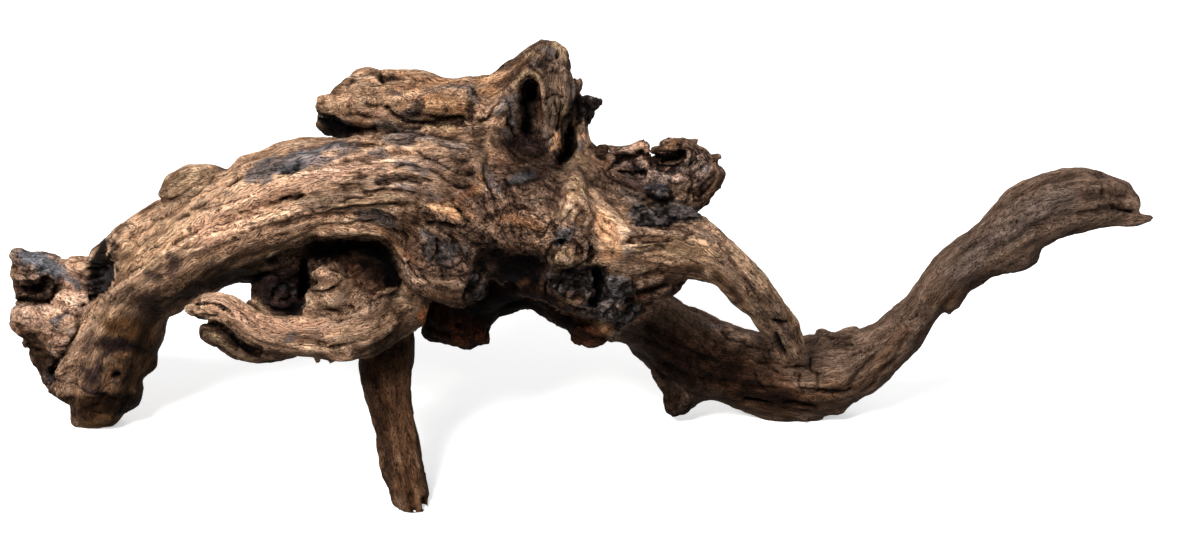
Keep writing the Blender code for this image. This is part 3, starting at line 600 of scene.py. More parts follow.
    ("-", 3.2, 1.2, [(602, 302, 1.6), (613, 299, 1.6), (624, 301, 1.8), (633, 299, 1.5)]),
    ("+", 4.4, 2, [(606, 313, 7), (616, 311, 8), (625, 313, 7)]),
    ("-", 2.2, 1, [(600, 310, 1.3), (608, 305, 1.4), (619, 305, 1.4), (629, 309, 1.3)]),
    ("-", 2.0, 1, [(604, 318, 1.3), (610, 311, 1.4), (618, 311, 1.4), (624, 317, 1.3)]),
    ("-", 1.8, 1, [(622, 309, 1.2), (628, 315, 1.2)]), ("-", 2.2, 1, [(613, 318, 1.4)]),
    ("-", 3.0, 1, [(602, 323, 1.4), (613, 322, 1.5), (624, 324, 1.4)]),
    ("+", 3.2, 1.5, [(594, 331, 5), (606, 329, 6), (616, 327, 5)]),
    ("-", 1.8, 1, [(592, 327, 1.2), (602, 332, 1.3), (611, 333, 1.2)]),
    ("-", 3.0, 1.5, [(549, 276, 1.8), (546, 288, 1.8), (550, 300, 1.8)]),
    # warty side under the tusk
    ("+", 3.0, 1.5, [(640, 284, 6), (650, 280, 6), (660, 278, 5)]),
    ("-", 2.8, 1, [(636, 292, 1.8), (648, 290, 1.8), (660, 286, 1.8), (670, 280, 1.8)]),
    ("+", 2.6, 1.5, [(645, 297, 6), (658, 293, 5), (668, 287, 4)]),
    ("-", 2.8, 1, [(640, 305, 1.8), (652, 303, 1.8), (664, 297, 1.8)]),
    ("+", 2.2, 1.5, [(648, 310, 5), (658, 307, 4)]),
    # belly and chin
    ("+", 2.6, 1.5, [(550, 312, 5), (562, 320, 5)]),
    ("-", 2.2, 1, [(548, 322, 1.5), (560, 330, 1.5), (573, 337, 1.5)]),
    ("+", 2.2, 1.5, [(575, 330, 4), (588, 335, 4)]),
    ("-", 2.4, 1, [(568, 318, 1.5), (580, 324, 1.5), (592, 325, 1.5)]),
    ("-", 2.6, 1.5, [(500, 308, 2), (515, 303, 3), (530, 299, 3)]),
    ("+", 2.2, 1.5, [(435, 318, 5), (447, 325, 5)]),
    ("-", 2.4, 1, [(428, 326, 2), (440, 332, 2), (452, 336, 2)]),
    ("+", 2.6, 1.5, [(458, 340, 5), (468, 345, 4)]),
    ("-", 2.8, 1, [(455, 322, 2), (466, 330, 2), (478, 333, 2)]),
    ("+", 2.2, 1.5, [(476, 322, 5), (483, 332, 4)]),
    # tusk: torn fibres at its root, long ridges, broken end
    ("-", 1.3, 1, [(632, 240, 1), (650, 236, 1), (668, 237, 1), (684, 241, 1)]),
    ("+", 1.6, 1, [(640, 246, 3), (660, 243, 3.5), (678, 245, 3.5), (695, 250, 3)]),
    ("-", 1.6, 1, [(636, 254, 1.2), (655, 252, 1.2), (674, 254, 1.2), (690, 259, 1.2), (705, 266, 1.2)]),
    ("+", 1.6, 1, [(650, 262, 3.5), (668, 262, 4), (685, 266, 4)]),
    ("+", 1.2, 1.5, [(690, 232, 4), (715, 246, 4), (740, 266, 3.5), (760, 286, 3), (780, 312, 3)]),
    ("-", 1.6, 1, [(700, 254, 1.5), (718, 262, 1.6), (738, 279, 1.8), (758, 304, 1.8), (772, 330, 1.6)]),
    ("-", 1.2, 1, [(712, 238, 1), (735, 258, 1.2), (757, 281, 1.2), (775, 305, 1)]),
    ("-", 1.8, 1, [(768, 319, 1.5), (780, 322, 2), (794, 321, 1.6)]),
    ("+", 1.4, 1, [(786, 330, 3), (793, 345, 3), (797, 356, 2.5)]),
    # long branch
    ("+", 1.5, 4, [(1000, 235, 8), (1040, 205, 9), (1080, 190, 9)]),
    ("+", 1.5, 3, [(935, 285, 5), (960, 252, 5), (1000, 218, 6), (1050, 188, 5)]),
    ("-", 1.3, 2, [(985, 262, 2.5), (1020, 238, 3), (1060, 218, 3), (1100, 212, 2)]),
    ("-", 1.0, 1.5, [(1010, 200, 2), (1040, 184, 2), (1075, 178, 2)]),
    ("-", 1.3, 2, [(905, 330, 2), (925, 298, 2), (948, 268, 2.5), (975, 245, 2.5)]),
    ("+", 1.5, 2, [(880, 355, 5), (905, 325, 5), (925, 300, 5)]),
    ("-", 1.6, 1.5, [(850, 385, 2), (875, 360, 2), (893, 335, 2), (908, 310, 2)]),
    ("-", 1.5, 1, [(870, 385, 1.5), (890, 365, 1.5), (905, 340, 1.5)]),
    ("+", 1.8, 2, [(845, 372, 6), (865, 352, 6), (880, 335, 5)]),
    ("-", 1.3, 1, [(668, 300, 1.5), (690, 315, 1.5), (715, 327, 1.5), (745, 337, 1.5)]),
    ("+", 1.5, 1.5, [(715, 325, 3), (725, 328, 3.5), (732, 331, 3)]),
    ("-", 2.0, 1, [(716, 331, 1.3), (724, 334, 1.5), (733, 337, 1.3)]),
    ("+", 1.5, 2, [(690, 345, 6), (730, 355, 7), (770, 360, 6)]),
    ("-", 1.6, 1.5, [(665, 365, 2), (700, 378, 2), (740, 384, 2), (780, 388, 2)]),
    ("+", 1.6, 1.5, [(700, 388, 4), (740, 396, 4)]),
    ("-", 1.3, 1, [(786, 362, 1), (800, 361, 1), (815, 364, 1)]),
    ("-", 1.3, 1, [(783, 374, 1), (800, 374, 1), (818, 376, 1)]),
    ("-", 1.3, 1, [(795, 358, 1), (797, 368, 1), (795, 382, 1)]),
    ("-", 1.3, 1, [(810, 356, 1), (812, 370, 1), (810, 384, 1)]),
    ("-", 4.0, 1.5, [(745, 396, 2), (770, 400, 2.5), (795, 402, 2.5), (815, 405, 2)]),
    ("+", 2.0, 1, [(824, 341, 3), (840, 341, 4), (852, 339, 3)]),
    ("-", 3.0, 1, [(826, 347, 1.8), (840, 348, 2), (854, 346, 1.8)]),
    ("-", 2.6, 1, [(1095, 190, 1.5), (1110, 196, 2), (1126, 200, 2), (1134, 205, 1.5)]),
    ("-", 4.0, 1, [(1112, 207, 1.5), (1124, 209, 2), (1132, 210, 1.5)]),
    ("+", 1.5, 1, [(1104, 181, 3), (1116, 185, 3), (1124, 192, 3)]),
    ("-", 1.5, 1, [(1098, 174, 1.2), (1104, 183, 1.2), (1102, 195, 1.2)]),
    # left foot: lobes, their cavity and crevices, charred recess, knot
    ("-", 3.5, 3, [(100, 276, 7), (102, 286, 8), (95, 298, 5)]),
    ("+", 3.0, 2, [(111, 258, 5), (118, 250, 7), (130, 246, 8)]),
    ("-", 3.0, 1.5, [(10, 302, 2), (20, 303, 2.5), (34, 304, 2.5), (48, 302, 2)]),
    ("-", 5.0, 2, [(26, 287, 4), (36, 289, 5), (46, 286, 4)]),
    ("+", 2.0, 1.5, [(22, 278, 4), (33, 279, 4), (44, 274, 4), (52, 270, 4)]),
    ("-", 1.6, 1, [(24, 272, 1.5), (36, 272, 1.5), (47, 266, 1.5)]),
    ("+", 2.6, 1.5, [(48, 296, 4), (54, 286, 4), (58, 276, 4)]),
    ("-", 2.2, 1, [(52, 299, 1.5), (60, 287, 1.5), (62, 275, 1.5)]),
    ("+", 2.6, 2, [(60, 300, 7), (68, 288, 7), (72, 275, 6)]),
    ("+", 2.2, 2, [(70, 305, 6), (80, 296, 6), (84, 284, 5)]),
    ("-", 1.8, 1, [(66, 309, 1.5), (74, 300, 1.5), (78, 288, 1.5)]),
    ("+", 3.0, 2, [(72, 264, 6), (82, 266, 6)]),
    ("-", 2.2, 1, [(64, 268, 1.5), (72, 274, 1.5), (84, 276, 1.5)]),
    ("+", 2.0, 2, [(15, 310, 5), (28, 312, 6), (40, 318, 6)]),
    ("-", 2.2, 1, [(16, 324, 2), (30, 328, 2), (42, 334, 2)]),
    ("-", 2.2, 1, [(22, 335, 1.5), (32, 345, 1.5), (42, 352, 1.5)]),
    ("+", 2.2, 1, [(24, 342, 3), (33, 352, 3), (42, 360, 3)]),
    ("-", 2.2, 1, [(28, 350, 1.5), (36, 360, 1.5), (44, 368, 1.5)]),
    ("+", 2.6, 1.5, [(54, 318, 5), (62, 324, 6)]),
    ("+", 2.6, 1.5, [(66, 338, 5), (58, 346, 5)]),
    ("-", 2.2, 1, [(50, 330, 1.5), (60, 334, 1.5), (70, 330, 1.5)]),
    ("-", 2.2, 1, [(50, 345, 1.5), (58, 354, 1.5), (66, 350, 1.5)]),
    ("+", 2.2, 1.5, [(52, 362, 4), (48, 370, 4)]),
    ("-", 4.5, 1.5, [(86, 308, 2.5), (80, 322, 3), (73, 342, 3), (62, 360, 3), (52, 372, 2.5)]),
    ("+", 2.6, 2, [(85, 314, 4), (100, 301, 4), (118, 294, 4), (135, 280, 4), (150, 268, 4), (165, 256, 4), (180, 250, 3)]),
    ("+", 2.0, 2, [(85, 316, 4), (78, 338, 4), (66, 358, 4), (60, 374, 4)]),
    ("+", 2.2, 1.5, [(52, 388, 4), (60, 392, 4)]),
    ("-", 2.2, 1, [(52, 380, 1.5), (62, 384, 1.5), (70, 390, 1.5)]),
    ("-", 1.3, 1.5, [(95, 345, 2), (112, 349, 2), (130, 346, 2), (148, 352, 2)]),
    ("+", 1.6, 2, [(102, 362, 6), (112, 356, 6), (128, 352, 5)]),
    ("+", 1.6, 1, [(110, 374, 2.5), (113, 366, 2.5), (121, 366, 2.5), (124, 374, 2.5), (118, 380, 2.5)]),
    ("-", 3.5, 1, [(117, 373, 3)]),
    ("-", 2.0, 2, [(66, 399, 3), (74, 399, 2.5)]),
    ("+", 1.6, 2, [(90, 392, 4), (105, 390, 5), (120, 392, 4)]),
    ("-", 1.4, 1.5, [(85, 398, 2), (100, 396, 2), (118, 399, 2)]),
    ("-", 1.6, 1, [(80, 408, 1.5), (98, 412, 1.5), (118, 410, 1.5)]),
    ("-", 1.6, 1, [(86, 420, 1.2), (102, 424, 1.2)]),
    # curled root
    ("+", 1.4, 1.5, [(205, 300, 3), (228, 305, 3), (250, 320, 3), (275, 330, 3), (310, 333, 3), (345, 328, 3), (380, 316, 3)]),
    ("-", 1.2, 1, [(208, 300, 1), (228, 306, 1), (246, 318, 1), (262, 334, 1), (285, 341, 1), (315, 339, 1)]),
    ("-", 1.2, 1, [(203, 303, 1), (222, 310, 1), (240, 324, 1), (258, 342, 1), (280, 350, 1)]),
    ("-", 1.2, 1, [(240, 305, 1), (262, 318, 1), (285, 326, 1), (320, 325, 1), (350, 318, 1)]),
    ("-", 1.2, 1, [(285, 320, 1), (315, 319, 1), (345, 312, 1)]),
    ("-", 1.2, 1, [(300, 345, 1), (335, 340, 1), (365, 333, 1), (390, 322, 1)]),
    ("-", 3.0, 1, [(200, 313, 1.5), (209, 314, 1.6), (217, 316, 1.2)]),
    ("-", 2.4, 1, [(193, 307, 1.0), (203, 302, 1.2), (213, 303, 1.3), (221, 307, 1.2), (230, 313, 1.0)]),
    ("-", 1.6, 1, [(191, 303, 1), (201, 301, 1), (212, 304, 1)]),
    ("-", 5.0, 1.5, [(220, 324, 3), (232, 333, 3.5), (245, 344, 3.5), (257, 352, 2.5)]),
    ("+", 2.6, 1.5, [(322, 350, 5), (335, 355, 5), (348, 356, 5)]),
    ("-", 2.6, 1, [(318, 343, 1.5), (333, 347, 1.5), (348, 347, 1.5)]),
    ("+", 2.2, 1.5, [(365, 345, 5), (380, 336, 5), (395, 322, 5)]),
    ("-", 2.2, 1, [(360, 352, 1.5), (376, 345, 1.5), (392, 333, 1.5), (403, 318, 1.5)]),
    # under the hood: lumps of the underside, twisted knob, gap and inner lump
    ("-", 1.4, 1, [(262, 256, 1.2), (290, 240, 1.2), (320, 227, 1.2), (355, 222, 1.2), (380, 228, 1.2), (400, 246, 1.2), (412, 268, 1.2)]),
    ("+", 2.6, 1.5, [(253, 270, 5), (263, 266, 6), (275, 264, 6)]),
    ("-", 2.2, 1, [(256, 278, 1.5), (268, 275, 1.5), (282, 276, 1.5)]),
    ("+", 2.2, 1.5, [(284, 272, 5), (296, 268, 5)]),
    ("-", 3.0, 1.5, [(290, 282, 2), (300, 276, 2), (306, 266, 2)]),
    ("-", 3.0, 1, [(276, 292, 2), (284, 286, 2), (292, 292, 2), (288, 300, 2), (280, 300, 2)]),
    ("-", 4.0, 1, [(273, 296, 2.5)]),
    ("+", 2.0, 1, [(285, 281, 3), (294, 285, 3)]),
    ("-", 2.0, 1, [(268, 304, 1.5), (280, 309, 1.5), (292, 307, 1.5)]),
    ("-", 10.0, 2, [(303, 262, 4), (304, 278, 4), (303, 292, 4), (305, 305, 3)]),
    ("+", 2.0, 1, [(316, 276, 4), (324, 272, 5), (332, 277, 4)]),
    ("-", 4.0, 1, [(313, 293, 1.5), (324, 294, 2), (336, 288, 1.8), (342, 280, 1.5)]),
    ("-", 2.2, 1, [(345, 262, 1.5), (352, 275, 1.5), (360, 285, 1.5)]),
    ("+", 2.6, 2, [(330, 300, 6), (345, 306, 7), (360, 300, 7)]),
    ("-", 2.6, 1, [(322, 308, 1.5), (338, 313, 1.5), (352, 316, 1.5)]),
    ("-", 2.2, 1, [(356, 292, 1.5), (368, 298, 1.5), (380, 298, 1.5)]),
    ("+", 2.6, 2, [(372, 308, 6), (385, 302, 6)]),
    ("-", 2.6, 1.5, [(340, 248, 2), (350, 256, 2), (366, 262, 2)]),
    # front leg
    ("-", 1.3, 1, [(397, 370, 1.2), (400, 400, 1.2), (398, 430, 1.2), (402, 455, 1.2)]),
    ("-", 1.1, 1, [(378, 385, 1), (384, 420, 1), (388, 450, 1)]),
    ("-", 2.5, 1, [(412, 497, 1.2), (413, 510, 1.2)]),
    ("-", 5.0, 1, [(422, 498, 2), (423, 507, 2)]),
    ("-", 2.2, 1, [(384, 460, 1.5), (386, 467, 1.5)]),
    ("+", 1.3, 1.5, [(405, 350, 4), (408, 400, 4), (412, 440, 4), (418, 470, 3)]),
]
# slivers and snags that stand off the wood: (name, flatness, blend mm, [(across, down, forward mm, radius)])
SNAGS = [
    ("flake1", 1, 1, [(836, 338, -54, 4), (846, 334, -54, 4.5), (856, 329, -54, 2.5)]),
    ("flake1b", 1, 1, [(820, 333, -54, 2.5), (825, 336, -54, 4), (832, 339, -54, 4)]),
    ("flake2", 1, 1, [(713, 321, -42, 2), (723, 325, -41, 3), (732, 330, -40, 2.5)]),
    ("snag1", 1, 1, [(926, 284, -42, 3), (924, 276, -42, 1.2)]),
    ("snag2", 1, 1, [(951, 304, -43, 4), (950, 314, -43, 1.5)]),
    ("snag3", 1, 1.5, [(320, 352, 40, 5), (318, 362, 40, 2)]),
    ("snag4", 1, 1, [(757, 273, 0, 2), (763, 270, 1, 0.8)]),
    ("snag5", 1, 1, [(752, 268, 0, 2), (759, 264, 2, 0.8)]),
    ("snag6", 1, 1, [(334, 358, 42, 4), (330, 364, 42, 1.5)]),
    ("snag7", 1, 1.5, [(573, 92, 2, 5), (576, 82, 2, 2)]),
    ("snag8", 1, 1.5, [(604, 152, 4, 4), (597, 157, 5, 3), (602, 161, 5, 3)]),
    ("snag9", 1, 1.5, [(690, 400, -54, 6), (684, 410, -54, 3)]),
    ("snag10", 1, 1.5, [(655, 372, -46, 6), (664, 388, -50, 5), (668, 400, -52, 3)]),
    ("snag11", 1, 2, [(578, 338, -6, 6), (590, 342, -6, 5), (600, 341, -6, 4)]),
    ("snag12", 1, 2, [(484, 335, -14, 6), (488, 342, -14, 4)]),
    ("snag13", 1, 2, [(428, 332, -14, 6), (436, 338, -14, 4)]),
    ("knotback", 1, 2, [(658, 161, -14, 11), (672, 160, -14, 11), (684, 158, -12, 9)]),
    ("webbing", 1, 2, [(568, 108, -9, 7), (570, 128, -9, 8), (570, 150, -9, 9)]),
    ("lipweb", 1, 2, [(214, 324, 27, 7), (226, 331, 27, 9), (240, 340, 27, 10), (254, 348, 29, 9), (268, 352, 32, 8)]),
    ("deepback", 1, 3, [(302, 292, -16, 14), (306, 306, -10, 12), (312, 318, 2, 9)]),
    ("heel", 1, 2, [(21, 284, -49, 8), (23, 296, -49, 8)]),
    ("heel2", 1, 2, [(22, 302, -52, 7), (38, 302, -52, 9), (56, 306, -52, 9)]),
    ("slabface", 1, 2, [(324, 116, -12, 7), (325, 127, -14, 8.5), (338, 129, -14, 9), (352, 130, -13, 8)]),
    ("crown1", 1, 1, [(690, 143, -2, 5), (697, 140, -2, 2)]), ("crown2", 1, 1, [(711, 158, -3, 4), (718, 157, -3, 2)]),
    ("crown3", 1, 1, [(717, 170, -3, 4), (723, 172, -3, 2)]), ("crown4", 1, 1, [(713, 184, -3, 5), (719, 187, -3, 2)]),
    ("crown5", 1, 1, [(702, 198, -2, 5), (706, 203, -2, 2.5)]), ("crown6", 1, 1, [(671, 143, -2, 3.5), (669, 138, -2, 1.5)]),
    ("crown7", 1, 1, [(614, 152, 3, 4), (611, 148, 3, 2)]), ("crown8", 1, 1, [(640, 146, 2, 4), (643, 142, 2, 1.8)]),
    ("drip2", 1, 1.5, [(613, 332, 9, 4), (612, 342, 8, 1.5)]),
    ("drip3", 1, 1.5, [(472, 340, -9, 4), (467, 350, -9, 1.5)]), ("drip4", 1, 1.5, [(449, 335, -11, 4), (446, 344, -11, 1.8)]),
    ("drip5", 1, 1, [(796, 414, -56, 3), (806, 419, -56, 1.2)]), ("drip6", 1, 1, [(846, 398, -52, 3), (853, 401, -52, 1.0)]),
    ("drip7", 1, 1, [(905, 352, -45, 3), (912, 352, -45, 1.0)]), ("drip8", 1, 1, [(153, 352, -19, 4), (160, 356, -19, 1.5)]),
    ("drip9", 1, 1, [(147, 372, -23, 4), (155, 377, -23, 1.5)]), ("drip10", 1, 1, [(134, 398, -28, 4), (140, 402, -28, 1.5)]),
    ("recess", 1, 3, [(86, 270, -32, 9), (97, 259, -29, 11), (107, 250, -25, 10), (115, 239, -22, 7)]),
]
# torn layers lying like shingles: (from, to, half width)
SHINGLES = [
    (325, 150, 350, 148, 3), (352, 156, 385, 154, 3.5), (330, 163, 360, 160, 3), (390, 148, 420, 150, 3),
    (425, 156, 455, 160, 3.5), (400, 164, 440, 168, 3.5), (365, 168, 395, 168, 3), (345, 176, 375, 173, 3),
    (380, 180, 415, 181, 3.5), (420, 178, 450, 184, 3), (445, 170, 472, 178, 3), (455, 150, 478, 158, 3),
    (425, 142, 450, 145, 3), (330, 185, 360, 182, 3), (365, 190, 400, 189, 3), (405, 192, 430, 196, 3),
    
    (340, 145, 375, 143, 2.5),
]

# ---------------------------------------------------------------- run of the grain on the front: (width mm, weight, path)
GRAIN_RUNS = [
    (7, 4, [(262, 264), (285, 250), (315, 238), (345, 233), (378, 238), (398, 262), (414, 288), (428, 302)]),
    (6, 4, [(330, 226), (372, 226), (395, 240), (410, 262), (425, 290)]),
    (8, 3, [(170, 255), (220, 238), (280, 216), (330, 206), (390, 204), (430, 222), (455, 252), (470, 285)]),
    (8, 3, [(140, 270), (190, 232), (240, 205), (300, 185), (370, 180), (430, 185), (470, 200)]),
    (8, 3, [(120, 240), (160, 215), (215, 180), (260, 160), (320, 150), (400, 152), (470, 158)]),
    (7, 3, [(330, 118), (370, 98), (420, 96), (470, 104), (500, 88), (545, 55)]),
    (6, 3, [(345, 135), (400, 133), (450, 134), (485, 130)]),
    (5, 4, [(550, 48), (560, 70), (563, 95), (559, 125), (556, 150)]),
    (5, 3, [(508, 80), (500, 110), (492, 140), (482, 175)]),
    (7, 3, [(530, 110), (522, 140), (515, 170), (505, 200), (498, 235)]),
    (6, 3, [(560, 120), (552, 150), (548, 180), (545, 205)]),
    (6, 3, [(590, 150), (598, 180), (606, 210), (612, 240), (640, 252), (690, 258), (730, 282)]),
    (5, 5, [(560, 212), (565, 200), (576, 195), (588, 203), (590, 215), (582, 226), (569, 225), (560, 214)]),
    (5, 5, [(548, 257), (553, 243), (566, 237), (580, 245), (585, 259), (576, 272), (560, 273), (549, 261)]),
    (7, 3, [(420, 210), (445, 225), (465, 245), (475, 270), (470, 298)]),
    (7, 3, [(500, 205), (510, 225), (520, 245), (530, 262)]),
    (7, 3, [(405, 275), (430, 288), (455, 295), (480, 285), (495, 262)]),
    (5, 4, [(655, 170), (655, 155), (668, 146), (682, 155), (678, 170), (665, 176), (655, 170)]),
    (6, 3, [(690, 150), (712, 172), (704, 192), (690, 206)]),
    (6, 3, [(605, 165), (625, 180), (640, 200), (650, 222)]),
    (6, 3, [(300, 330), (340, 322), (352, 300), (340, 278), (325, 275), (318, 290), (330, 300), (350, 290), (375, 275)]),
    (6, 3, [(180, 250), (150, 268), (118, 294), (92, 325), (75, 355), (60, 385)]),
    (7, 3, [(160, 300), (145, 330), (130, 365), (110, 395), (88, 420)]),
    (6, 3, [(90, 290), (60, 282), (30, 270), (14, 262)]),
    (6, 3, [(90, 330), (60, 325), (30, 318), (12, 312)]),
]

# ---------------------------------------------------------------- which wood each limb is
# the dark wood given to the slab's end, the curl, the lowest crust, the chin, sill, nub and inner knob is partly their
# own darker colour, partly painted shade of parts that lie under or inside others
TONE_OF = {
    "core": "brown", "back": "brown", "arm": "tan", "under": "brown", "shoulder": "tan", "ridge": "tan", "knob": "tan",
    "slab": "tan", "slabend": "dark", "neck": "brown", "flap": "greybrown", "basin": "brown", "stalk": "tan",
    "tipknot": "char", "tipspur": "char", "stub": "brown", "curl": "dark", "crown": "brown", "bump1": "brown",
    "bump2": "brown", "ring1": "brown", "ring2": "brown", "ring3": "brown", "tusk": "tan", "burl1": "tan",
    "burl2": "tan", "crust1": "char", "crust2": "char", "crust3": "dark", "cheek": "brown", "chin1": "dark",
    "chin2": "dark", "chin3": "dark", "sill": "dark", "wart": "brown", "jaw": "tan", "lip": "brown", "jawbump": "tan",
    "leg": "umber", "branch": "grey", "shelf": "grey", "shelf2": "grey", "scrap": "grey", "nub": "dark",
    "prong": "grey", "bulge": "grey", "lobeA": "brown", "lobeA2": "grey", "lobeA3": "rose", "lobeB": "rose",
    "lobeC": "brown", "toe1": "brown", "toe2": "tan", "toe3": "brown", "toe4": "brown", "edge": "tan",
    "lump": "tan", "nubin": "tan", "lump2": "brown", "knobin": "dark", "slablip": "tan",
}
# ridge, middle and furrow colours of each wood
WOODS = {
    "tan": ((228, 192, 160), (198, 157, 126), (114, 81, 61)),
    "orange": ((224, 177, 134), (190, 139, 101), (106, 69, 48)),
    "ochre": ((220, 186, 146), (180, 142, 108), (98, 71, 52)),
    "pale": ((235, 205, 170), (208, 172, 136), (134, 100, 74)),
    "brown": ((178, 143, 120), (124, 95, 79), (50, 36, 30)),
    "greybrown": ((164, 138, 118), (122, 98, 82), (60, 46, 38)),
    "grey": ((150, 124, 106), (112, 89, 75), (60, 46, 38)),
    "umber": ((130, 98, 74), (86, 60, 43), (36, 24, 16)),
    # dark and black serve as stains and char, and also as painted shade in holes, gaps, hollows and on undersides
    "dark": ((94, 70, 55), (56, 39, 30), (22, 14, 11)),
    "char": ((114, 105, 102), (56, 49, 47), (17, 13, 12)),
    "blue": ((128, 124, 126), (92, 88, 90), (46, 42, 42)),
    "black": ((42, 34, 31), (23, 17, 15), (9, 6, 5)),
    "purple": ((100, 76, 74), (58, 42, 42), (22, 15, 16)),
    "rust": ((182, 130, 98), (136, 92, 68), (66, 42, 31)),
    "rose": ((226, 184, 156), (192, 148, 120), (112, 78, 60)),
    "slate": ((146, 132, 126), (104, 93, 90), (46, 39, 38)),
    "moss": ((184, 156, 122), (138, 113, 86), (64, 50, 38)),
}
# painted on the front: (wood, amount, softness, wobble, path)
PAINT = [
    ("blue", 0.85, 4, 3, [(250, 178, 5), (268, 170, 7), (290, 165, 7), (310, 156, 5), (332, 148, 4)]),
    ("char", 0.8, 3, 2, [(268, 168, 4), (285, 168, 5), (302, 163, 4)]),
    ("char", 0.95, 3, 2, [(106, 250, 12), (104, 272, 14), (98, 298, 9)]),
    ("blue", 0.8, 4, 3, [(22, 256, 6), (42, 264, 10), (58, 272, 6)]),
    ("tan", 0.8, 3, 2, [(68, 264, 6), (80, 268, 8)]),
    # dark under the upper lobe: painted shade
    ("dark", 0.8, 3, 2, [(30, 288, 7), (50, 292, 7)]),
    ("orange", 0.5, 8, 4, [(112, 370, 16), (132, 365, 12)]),
    ("dark", 0.6, 6, 4, [(100, 345, 8), (125, 342, 10), (155, 348, 8)]),
    ("dark", 0.6, 5, 4, [(86, 372, 8), (98, 392, 8)]),
    # umber on the foot's face: partly its own darker bark, partly painted shade where it turns under
    ("umber", 0.75, 10, 6, [(150, 300, 8), (140, 335, 14), (120, 370, 22), (95, 400, 16)]),
    ("orange", 0.5, 8, 4, [(112, 366, 12), (132, 362, 10)]),
    # umber along the foot's bottom: partly its own colour, partly painted shade
    ("umber", 0.8, 5, 4, [(75, 405, 8), (100, 408, 10), (135, 400, 8)]),
    ("ochre", 0.4, 6, 3, [(88, 420, 8), (110, 424, 7)]),
    # umber on the long branch's underside: painted shade
    ("umber", 0.8, 8, 5, [(670, 350, 24), (720, 368, 24), (780, 385, 22), (830, 392, 16)]),
    # umber under the arm: painted shade
    ("umber", 0.5, 8, 5, [(160, 318, 8), (185, 298, 8), (215, 285, 6), (245, 280, 6)]),
    ("orange", 0.6, 6, 3, [(408, 106, 10), (440, 104, 12), (470, 106, 8)]),
    # dark on the slab's broken end under its lip: painted shadow
    ("dark", 0.9, 4, 2, [(325, 128, 6), (338, 130, 8), (350, 131, 6)]),
    # dark thin line under the slab's lump: painted shadow
    ("dark", 0.4, 2, 2, [(386, 108, 1.5), (396, 115, 2), (425, 124, 2), (460, 124, 2), (470, 115, 3)]),
    # dark in the bowl of the basin: painted shade
    ("dark", 0.75, 10, 5, [(510, 110, 14), (515, 140, 20), (530, 165, 18), (520, 190, 12)]),
    # black in the hole under the peak: painted shade
    ("black", 0.9, 4, 2, [(530, 90, 9), (531, 112, 9)]),
    # black in the cleft behind the flap: painted shade
    ("black", 0.7, 5, 3, [(570, 120, 5), (570, 145, 7), (562, 165, 6)]),
    ("char", 0.9, 3, 2, [(578, 110, 12), (592, 102, 10)]),
    # dark and black down into the recess under the ledge: painted shade
    ("dark", 0.8, 6, 4, [(475, 235, 12), (500, 250, 14), (520, 270, 14), (535, 285, 10)]),
    ("black", 0.85, 6, 3, [(505, 275, 12), (535, 275, 12)]),
    ("char", 0.9, 4, 3, [(558, 236, 4), (572, 234, 4)]),
    ("char", 0.95, 5, 3, [(560, 285, 12), (585, 285, 14), (610, 288, 14), (628, 288, 8)]),
    ("char", 0.9, 5, 3, [(600, 312, 10), (622, 310, 12)]),
    ("char", 0.95, 3, 2, [(650, 190, 8), (662, 194, 8)]),
    ("char", 0.95, 4, 3, [(636, 212, 9), (665, 213, 11), (690, 215, 9), (702, 219, 5)]),
    # black in the knot's hollow: painted shade
    ("black", 0.8, 3, 1, [(662, 164, 8), (674, 160, 8)]),
    ("ochre", 0.5, 8, 4, [(640, 246, 9), (680, 246, 10), (710, 254, 10)]),
    ("pale", 0.5, 8, 4, [(606, 225, 10), (614, 255, 10)]),
    # dark in the split of the tusk's end: painted shade
    ("dark", 0.7, 3, 2, [(774, 335, 4), (780, 350, 5)]),
    # black in the hollow under the hood: painted shade
    ("black", 0.8, 6, 3, [(320, 250, 9), (345, 252, 9), (380, 262, 12), (392, 285, 8)]),
    ("purple", 0.85, 4, 2, [(285, 292, 22)]),
    ("brown", 0.6, 6, 3, [(350, 262, 12), (375, 285, 14), (380, 305, 12)]),
    ("orange", 0.5, 5, 3, [(438, 205, 8), (458, 212, 10), (470, 218, 6)]),
    # dark in the gap between the curled root and its lip: painted shade
    ("dark", 0.8, 5, 3, [(205, 330, 5), (230, 340, 5), (255, 352, 5)]),
]
